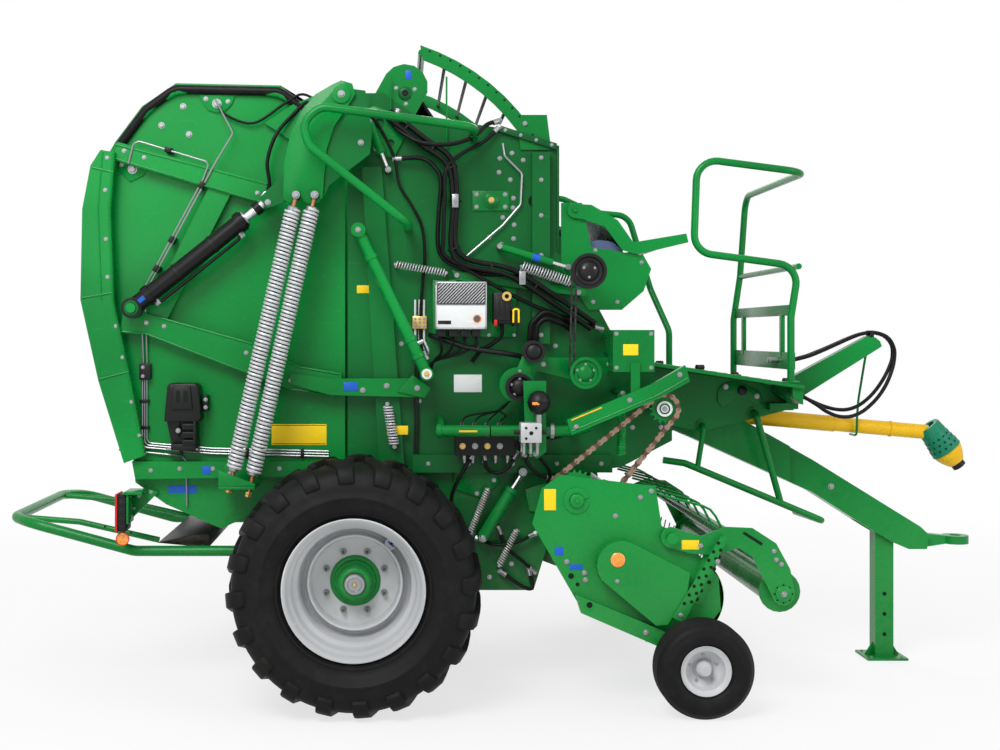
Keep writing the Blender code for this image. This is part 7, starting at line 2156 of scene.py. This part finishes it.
@dataclass
class Chock:
    """The folded wheel chock in its holder on the tailgate."""

    outline: tuple[Flat, ...] = ((-0.85, 1.289), (-0.722, 1.289), (-0.716, 1.082), (-0.828, 1.082), (-0.854, 1.2))

    def build(self) -> None:
        """Builds the chock's web, rims, ribs and holder."""
        chock = Piece("chock_folded", "tailgate")
        chock.plate(self.outline, -0.6258, -0.7, DARK, 0.006)
        inner = [(-0.842, 1.281), (-0.786, 1.281), (-0.792, 1.226), (-0.8, 1.14), (-0.838, 1.196)]
        chock.plate(inner, -0.7, -0.7125, DARK, 0.004)
        for k in range(3):
            z = 1.19 - 0.036 * k
            chock.box((-0.781, -0.727), (-0.7, -0.739), (z - 0.013, z + 0.013), DARK, 0.003)
            chock.box((-0.775, -0.732), (-0.739, -0.7395), (z - 0.006, z + 0.006), HOLE_SHADE, 0.0002)
        chock.box((-0.832, -0.722), (-0.7, -0.733), (1.084, 1.112), DARK, 0.004)
        chock.box((-0.732, -0.72), (-0.7, -0.739), (1.112, 1.23), DARK, 0.003)
        # the deep cap with its two pockets, drawn as painted shade
        chock.plate([(-0.862, 1.212), (-0.848, 1.368), (-0.838, 1.384), (-0.722, 1.384), (-0.708, 1.37),
                     (-0.696, 1.225), (-0.704, 1.212)], -0.6258, -0.742, DARK, 0.008)
        chock.plate([(-0.828, 1.268), (-0.82, 1.372), (-0.742, 1.372), (-0.732, 1.268)], -0.742, -0.757, DARK, 0.005)
        for x in (-0.806, -0.772):
            chock.box((x, x + 0.018), (-0.757, -0.7575), (1.3, 1.352), HOLE_SHADE, 0.0002)
        chock.box((-0.69, -0.672), (-0.6258, -0.7), (1.255, 1.33), DARK, 0.004)
        chock.bolts([(-0.681, -0.7, 1.275), (-0.681, -0.7, 1.31)], Way.RIGHT, 0.007)
        chock.box((-0.858, -0.714), (-0.64, -0.706), (1.082, 1.09), ZINC, 0.002)
        chock.pin(-0.8, 1.172, (-0.7, -0.73), 0.017, 20, DARK, 0.003)
        chock.bolts([(-0.8, -0.73, 1.172)], Way.RIGHT, 0.008)
        chock.done("wheel_chock")


@dataclass
class TensionRam(Sided):
    """Bosses, collars and ports of a belt tension ram."""

    head: Flat = (0.01, 2.06)
    foot: Flat = (0.31, 1.43)

    def build(self) -> None:
        out = self.out
        kit = Piece("tension_ram_details_" + self.word, "chassis")
        head, foot = at(self.head[0], out * STRUT_Y, self.head[1]), at(self.foot[0], out * STRUT_Y, self.foot[1])
        along = (foot - head).normalized()
        for spot, reach in ((0.12, 0.0292), (0.52, 0.0285), (0.6, 0.0292)):
            ring = [(0.0258, 0.0), (reach, 0.002), (reach, 0.02), (0.0258, 0.022)]
            kit.turned(ring, 28, head + along * spot, along, GREEN, True)
        for x, z in (self.head, self.foot):
            kit.turned([(0.0, 0.0), (0.0225, 0.0), (0.0225, 0.003), (0.0, 0.004)], 28, at(x, out * 0.885, z),
                       self.way, CARD if z < 2.0 else GREEN)
            kit.bolts([(x, out * 0.8888, z)], self.way, 0.009, BRASS if z < 2.0 else ZINC)
        port = head + along * 0.56
        kit.add(bar(port, port + Vector((0.045, 0.0, 0.02)), 0.011, 14, ease=0.002), ZINC)
        kit.done()


@dataclass
class NetRoll:
    """The wrapped roll of net in its box, its film loose and wrinkled."""

    centre: Flat = (1.105, 1.9)
    radius: float = 0.14
    half: float = 0.585

    def build(self) -> None:
        """Builds the roll and the box's fasteners."""
        rows = []
        turns, steps = 56, 90
        for j in range(steps + 1):
            y = -self.half + 2 * self.half * j / steps
            row = []
            for i in range(turns):
                a = math.tau * i / turns
                fold = math.sin(5 * a + 9.0 * y + 2.0 * math.sin(7.0 * y)) * 0.5 + math.sin(13 * a - 31.0 * y) * 0.3
                reach = self.radius - 0.005 + 0.004 * fold
                row.append(at(self.centre[0] + reach * math.cos(a), y, self.centre[1] + reach * math.sin(a)))
            rows.append(row)
        roll = Piece("net_roll_wrapped", "chassis").add(lofted(rows), FILM)
        for y in (-self.half - 0.001, self.half + 0.001):
            roll.pin(self.centre[0], self.centre[1], (y - 0.001, y + 0.001), 0.04, 28, CARD)
        roll.done("net_roll")
        kit = Piece("net_box_details", "chassis")
        for side in Side:
            out = side.value
            kit.row(out * 0.633, ((1.07, 1.75), (1.18, 1.75), (1.29, 1.93), (1.08, 1.985)), side.way, 0.007)
            kit.pin(0.985, 2.165, (out * 0.6335, out * 0.642), 0.016, 18, ZINC, 0.002)
        kit.done()


@dataclass
class Covers(Sided):
    """Flanges, steps and bolts of the rear cover and of the arch over the belts."""

    def build(self) -> None:
        """Builds the cover's kit and the arch's kit on one side."""
        out = self.out
        cover = Piece("cover_details_" + self.word, "tailgate")
        face = out * 0.7185
        edge = [(-1.085, 2.42), (-1.105, 2.165), (-1.09, 1.758), (-1.015, 1.4), (-0.95, 1.06)]
        cover.pipe([(x - 0.006, face, z) for x, z in edge], 0.0045, 0.02, 8, GREEN)
        cover.pipe([(x - 0.055, face, z) for x, z in edge[:3]], 0.0035, 0.02, 8, GREEN)
        for (x0, z0), (x1, z1) in (((-1.192, 2.352), (-1.092, 2.33)), ((-1.232, 1.766), (-1.096, 1.79)),
                                   ((-1.155, 1.402), (-1.022, 1.436))):
            cover.pipe([(x0, face, z0), (x1, face, z1)], 0.0048, 0.01, 8, GREEN)
        cover.row(face, ((-1.12, 2.395), (-1.128, 2.25), (-1.125, 2.03), (-1.118, 1.86), (-1.08, 1.64), (-1.05, 1.5),
                         (-1.01, 1.3), (-0.975, 1.15)), self.way, 0.007)
        cover.pipe([(x - 0.004, out * 0.6, z) for x, z in ((-1.236, 2.15), (-1.2425, 1.765))], 0.004, 0.01, 6, GREEN)
        cover.done()
        arch = Piece("arch_details_" + self.word, "chassis")
        near_y = out * (WALL_Y + 0.0105)
        holes = []
        for k in range(13):
            x, z = around(-0.02, 1.98, 0.972, 69 - 3.0 * k)
            holes.append((at(x, near_y, z), self.way, 1.0))
        arch.add(copies(lathe(puck(0.0052, 0.0006), 12), holes), HOLE_SHADE)
        if self.side is Side.RIGHT:
            for angle in (64, 57, 50, 43, 36):
                x, z = around(-0.02, 1.98, 0.955, angle)
                arch.pin(x, z, (-0.623, 0.623), 0.0082, 12, DARK)
        arch.bolts([(0.76, near_y, 2.56), (0.83, near_y, 2.48)], self.way, 0.008)
        arch.done()


@dataclass
class FrontDetails:
    """Tread, lobed plates, bolts and buffers on the deck and the drawbar."""

    lobed: tuple[Flat, ...] = ((1.724, 1.3), (1.728, 1.35), (1.745, 1.378), (1.782, 1.394), (1.815, 1.396),
                               (1.844, 1.389), (1.89, 1.368), (1.928, 1.347), (1.944, 1.31), (1.944, 1.268),
                               (1.9, 1.29), (1.865, 1.31), (1.83, 1.318), (1.803, 1.31), (1.775, 1.285),
                               (1.75, 1.268))

    def build(self) -> None:
        """Builds the front's kits."""
        kit = Piece("front_details", "chassis")
        deck = TubeWork()
        for odd, turn in ((0, 45), (1, -45)):
            spots = []
            for i in range(15):
                for k in range(21):
                    x, y = 1.29 + 0.05 * i, -0.56 + 0.056 * k
                    if (i + k) % 2 == odd:
                        spots.append((at(x, y, deck.deck(x) + 0.0001), Euler((0.0, math.radians(8.6), 0.0)), 1.0))
            lozenge = lathe([(0.0, 0.0), (0.013, 0.0), (0.007, 0.0022), (0.0, 0.0022)], 6)
            lozenge.transform(Matrix.Rotation(math.radians(turn), 4, "Z") @ Matrix.Diagonal((1.0, 0.32, 1.0, 1.0)))
            kit.add(copies(lozenge, spots), GREEN)
        for side in Side:
            out = side.value
            kit.plate([(x, z - 0.02) for x, z in self.lobed], out * 0.2125, out * 0.2215, GREEN, 0.002)
            kit.turned(button(0.022, 0.012, 0.016, 0.016), 24, at(1.844, out * 0.2215, 1.332), side.way, DARK)
            kit.row(out * 0.2215, ((1.765, 1.35), (1.915, 1.305)), side.way, 0.0095)
            kit.row(out * 0.1303, ((1.678, 1.19), (1.56, 1.2), (2.3, 0.86)), side.way, 0.011)
            for x in (1.578, 1.98):
                kit.turned([(0.0, 0.0), (0.02, 0.0), (0.023, 0.012), (0.018, 0.022), (0.0, 0.022)], 24,
                           at(x, out * 0.52, deck.deck(x) + 0.0005), Way.UP, DARK)
        kit.done()


@dataclass
class StandDetails:
    """The stand's pin holes drawn as painted shade, foot bolts and gussets."""

    def build(self) -> None:
        x, leg = middle("stand").x - AXLE_X, 0.045
        kit = Piece("stand_details", "stand")
        for z in (0.12, 0.22, 0.32):
            kit.pin(x, z, (-leg - 0.0001, -leg - 0.0008), 0.01, 20, HOLE_SHADE)
        kit.bolts([(x + dx, dy, 0.012) for dx in (-0.075, 0.075) for dy in (-0.075, 0.075)], Way.UP, 0.006)
        for dx in (-1, 1):
            kit.plate([(x + dx * (leg + 0.04), 0.0125), (x + dx * leg, 0.0125), (x + dx * leg, 0.075)], 0.004, -0.004,
                      GREEN, 0.001)
        kit.done()


# Works under the walls and plates at the back

@dataclass
class SideWorks(Sided):
    """The pickup's lift ram, the pipe arm's rear half, the tension linkage and small springs on a side."""

    def ram(self, kit: Piece, start: Flat, end: Flat, radius: float, level: float, rod: float) -> None:
        """Adds a small ram between two bosses on the wall.

        Args:
            kit: what it is added to.
            start: the barrel's boss, forward and up.
            end: the rod's boss.
            radius: the barrel's radius.
            level: how far out it lies.
            rod: the rod's share of the length.
        """
        out = self.out
        a, b = at(start[0], out * level, start[1]), at(end[0], out * level, end[1])
        neck = a.lerp(b, 1 - rod)
        kit.add(bar(a, neck, radius, 22, ease=0.003), GREEN)
        kit.add(bar(neck, b, radius * 0.5, 16), CHROME)
        ring = [(radius * 0.98, 0.0), (radius * 1.14, 0.002), (radius * 1.14, 0.018), (radius * 0.98, 0.02)]
        kit.turned(ring, 24, neck - (b - a).normalized() * 0.022, b - a, GREEN, True)
        for x, z in (start, end):
            kit.pin(x, z, (out * WALL_Y, out * (level + radius * 0.6)), radius * 0.85, 20, SHADE, 0.002)
            kit.bolts([(x, out * (level + radius * 0.6), z)], self.way, radius * 0.5)

    def build(self) -> None:
        """Builds the works on this side."""
        out = self.out
        kit = Piece("side_works_" + self.word, "chassis")
        self.ram(kit, (0.565, 0.69), (0.745, 0.985), 0.027, 0.7, 0.25)
        self.ram(kit, (0.055, 2.56), (0.14, 2.345), 0.02, 0.68, 0.34)
        for (x0, z0), (x1, z1) in (((0.475, 0.62), (0.59, 0.905)), ((0.64, 0.56), (0.72, 0.72))):
            a, b = at(x0, out * 0.672, z0), at(x1, out * 0.672, z1)
            kit.add(coil(a, b, 0.015, 0.0028, (b - a).length / 0.011), COIL)
            kit.add(bar(a, b, 0.005, 8), COPPER)
            for x, z in ((x0, z0), (x1, z1)):
                kit.pin(x, z, (out * WALL_Y, out * 0.684), 0.0075, 12, ZINC, 0.001)
        casting = [(-0.01, 2.6), (0.075, 2.64), (0.2, 2.6), (0.215, 2.5), (0.165, 2.4), (0.08, 2.42), (0.02, 2.5)]
        kit.plate(casting, out * WALL_Y, out * 0.641, GREEN, 0.004, holes=((0.1, 2.56, 0.024), (0.15, 2.47, 0.018)))
        kit.row(out * 0.641, ((0.01, 2.57), (0.08, 2.615), (0.18, 2.575), (0.085, 2.445)), self.way, 0.009)
        for outline in (((0.43, 1.01), (0.62, 1.01), (0.65, 0.93), (0.56, 0.86), (0.44, 0.9)),
                        ((0.76, 0.9), (0.95, 0.96), (1.01, 0.88), (0.9, 0.79), (0.78, 0.8))):
            kit.plate(list(outline), out * WALL_Y, out * 0.637, GREEN, 0.003)
            kit.bolts([(x * 0.86 + outline[0][0] * 0.14, out * 0.637, z * 0.86 + outline[0][1] * 0.14) for x,
                       z in outline[1:4]], self.way, 0.0075)
        if self.side is Side.RIGHT:
            kit.add(bar(at(0.35, ARM_Y, 1.18), at(0.589, ARM_Y, 1.18), 0.0255, 24, ease=0.005), GREEN)
            kit.add(bar(at(0.375, -WALL_Y, 1.225), at(0.375, -0.86, 1.19), 0.016, 20), GREEN)
            kit.turned([(0.0257, 0.0), (0.031, 0.002), (0.031, 0.022), (0.0257, 0.024)], 24, at(0.352, ARM_Y, 1.18),
                       Way.FRONT, GREEN, True)
            kit.box((0.45, 0.53), (-0.8945, -0.8962), (1.176, 1.184), YELLOW, 0.0005)
            a, b = at(1.166, -0.86, 1.345), at(1.163, -0.86, 1.075)
            kit.add(coil(a, b, 0.02, 0.0055, 24), GREEN)
            kit.add(bar(a, b, 0.017, 16), GREEN)
            kit.pin(1.166, 1.345, (-WALL_Y, -0.882), 0.014, 18, SHADE, 0.002)
            kit.bolts([(1.166, -0.882, 1.345)], Way.RIGHT, 0.008)
            for x0 in (0.262, 0.276):
                kit.pipe([(x0, -0.64, 1.5), (x0, -0.64, 1.18), (x0 - 0.01, -0.64, 0.9)], 0.0045, 0.02, 8, DARK)
        kit.done()


@dataclass
class BackPlates:
    """Blank plate, reflectors and pressed frames on the rear cover and the hull."""

    def build(self) -> None:
        kit = Piece("back_plates", "tailgate")
        slope = (1.16 - 1.045) / (1.396 - 1.025)

        def back(z: float) -> float:
            """The cover's rear face at a height in its lowest panel."""
            return -1.045 - slope * (z - 1.025)

        tilt = Euler((0.0, math.atan(slope), 0.0))
        for y, wide, high, z, finish in ((0.0, 0.26, 0.06, 1.12, CARD), (-0.56, 0.05, 0.05, 1.12, RED),
                                         (0.56, 0.05, 0.05, 1.12, RED)):
            mesh = slab((-0.0015, 0.0015), (-wide, wide), (-high, high), 0.001)
            mesh.transform(Matrix.Translation((-AXLE_X, 0.0, 0.0)))
            kit.add(placed(mesh, at(back(z) + 0.0012, y, z), tilt), finish)
        for y in (-0.4, 0.4):
            kit.pipe([(-1.205, y, 1.58), (-1.2385, y, 1.73)], 0.006, 0.01, 8, GREEN)
        kit.pipe([(-1.2405, -0.4, 1.77), (-1.2345, -0.4, 2.15), (-1.2345, 0.4, 2.15), (-1.2405, 0.4, 1.77),
                  (-1.2405, -0.4, 1.77)], 0.0045, 0.05, 8, GREEN, 4)
        kit.done()


ALONE = (Studio, FrontHoses, HoseRuns, GatePipes, ControlBox, Valves, NetDrive, GuardDetails, Chock, NetRoll,
         FrontDetails, StandDetails, BackPlates, ChainDrive, PickupReel, StripperBands, TubeWork, DriveShaft)
PAIRED = (WallDetails, RearLamp, TensionRam, Covers, SideWorks, MainWheel, GaugeWheel, SpringPack, TailgateRam,
          PickupPlates)


def main() -> None:
    """Builds the studio and then each sub-assembly in order."""
    logging.basicConfig(level=logging.INFO, format="%(name)s: %(message)s")
    for kind in ALONE:
        kind().build()
    for side in Side:
        for kind in PAIRED:
            kind(side).build()
    KeptSolids().dress()


if __name__ == "__main__":
    main()
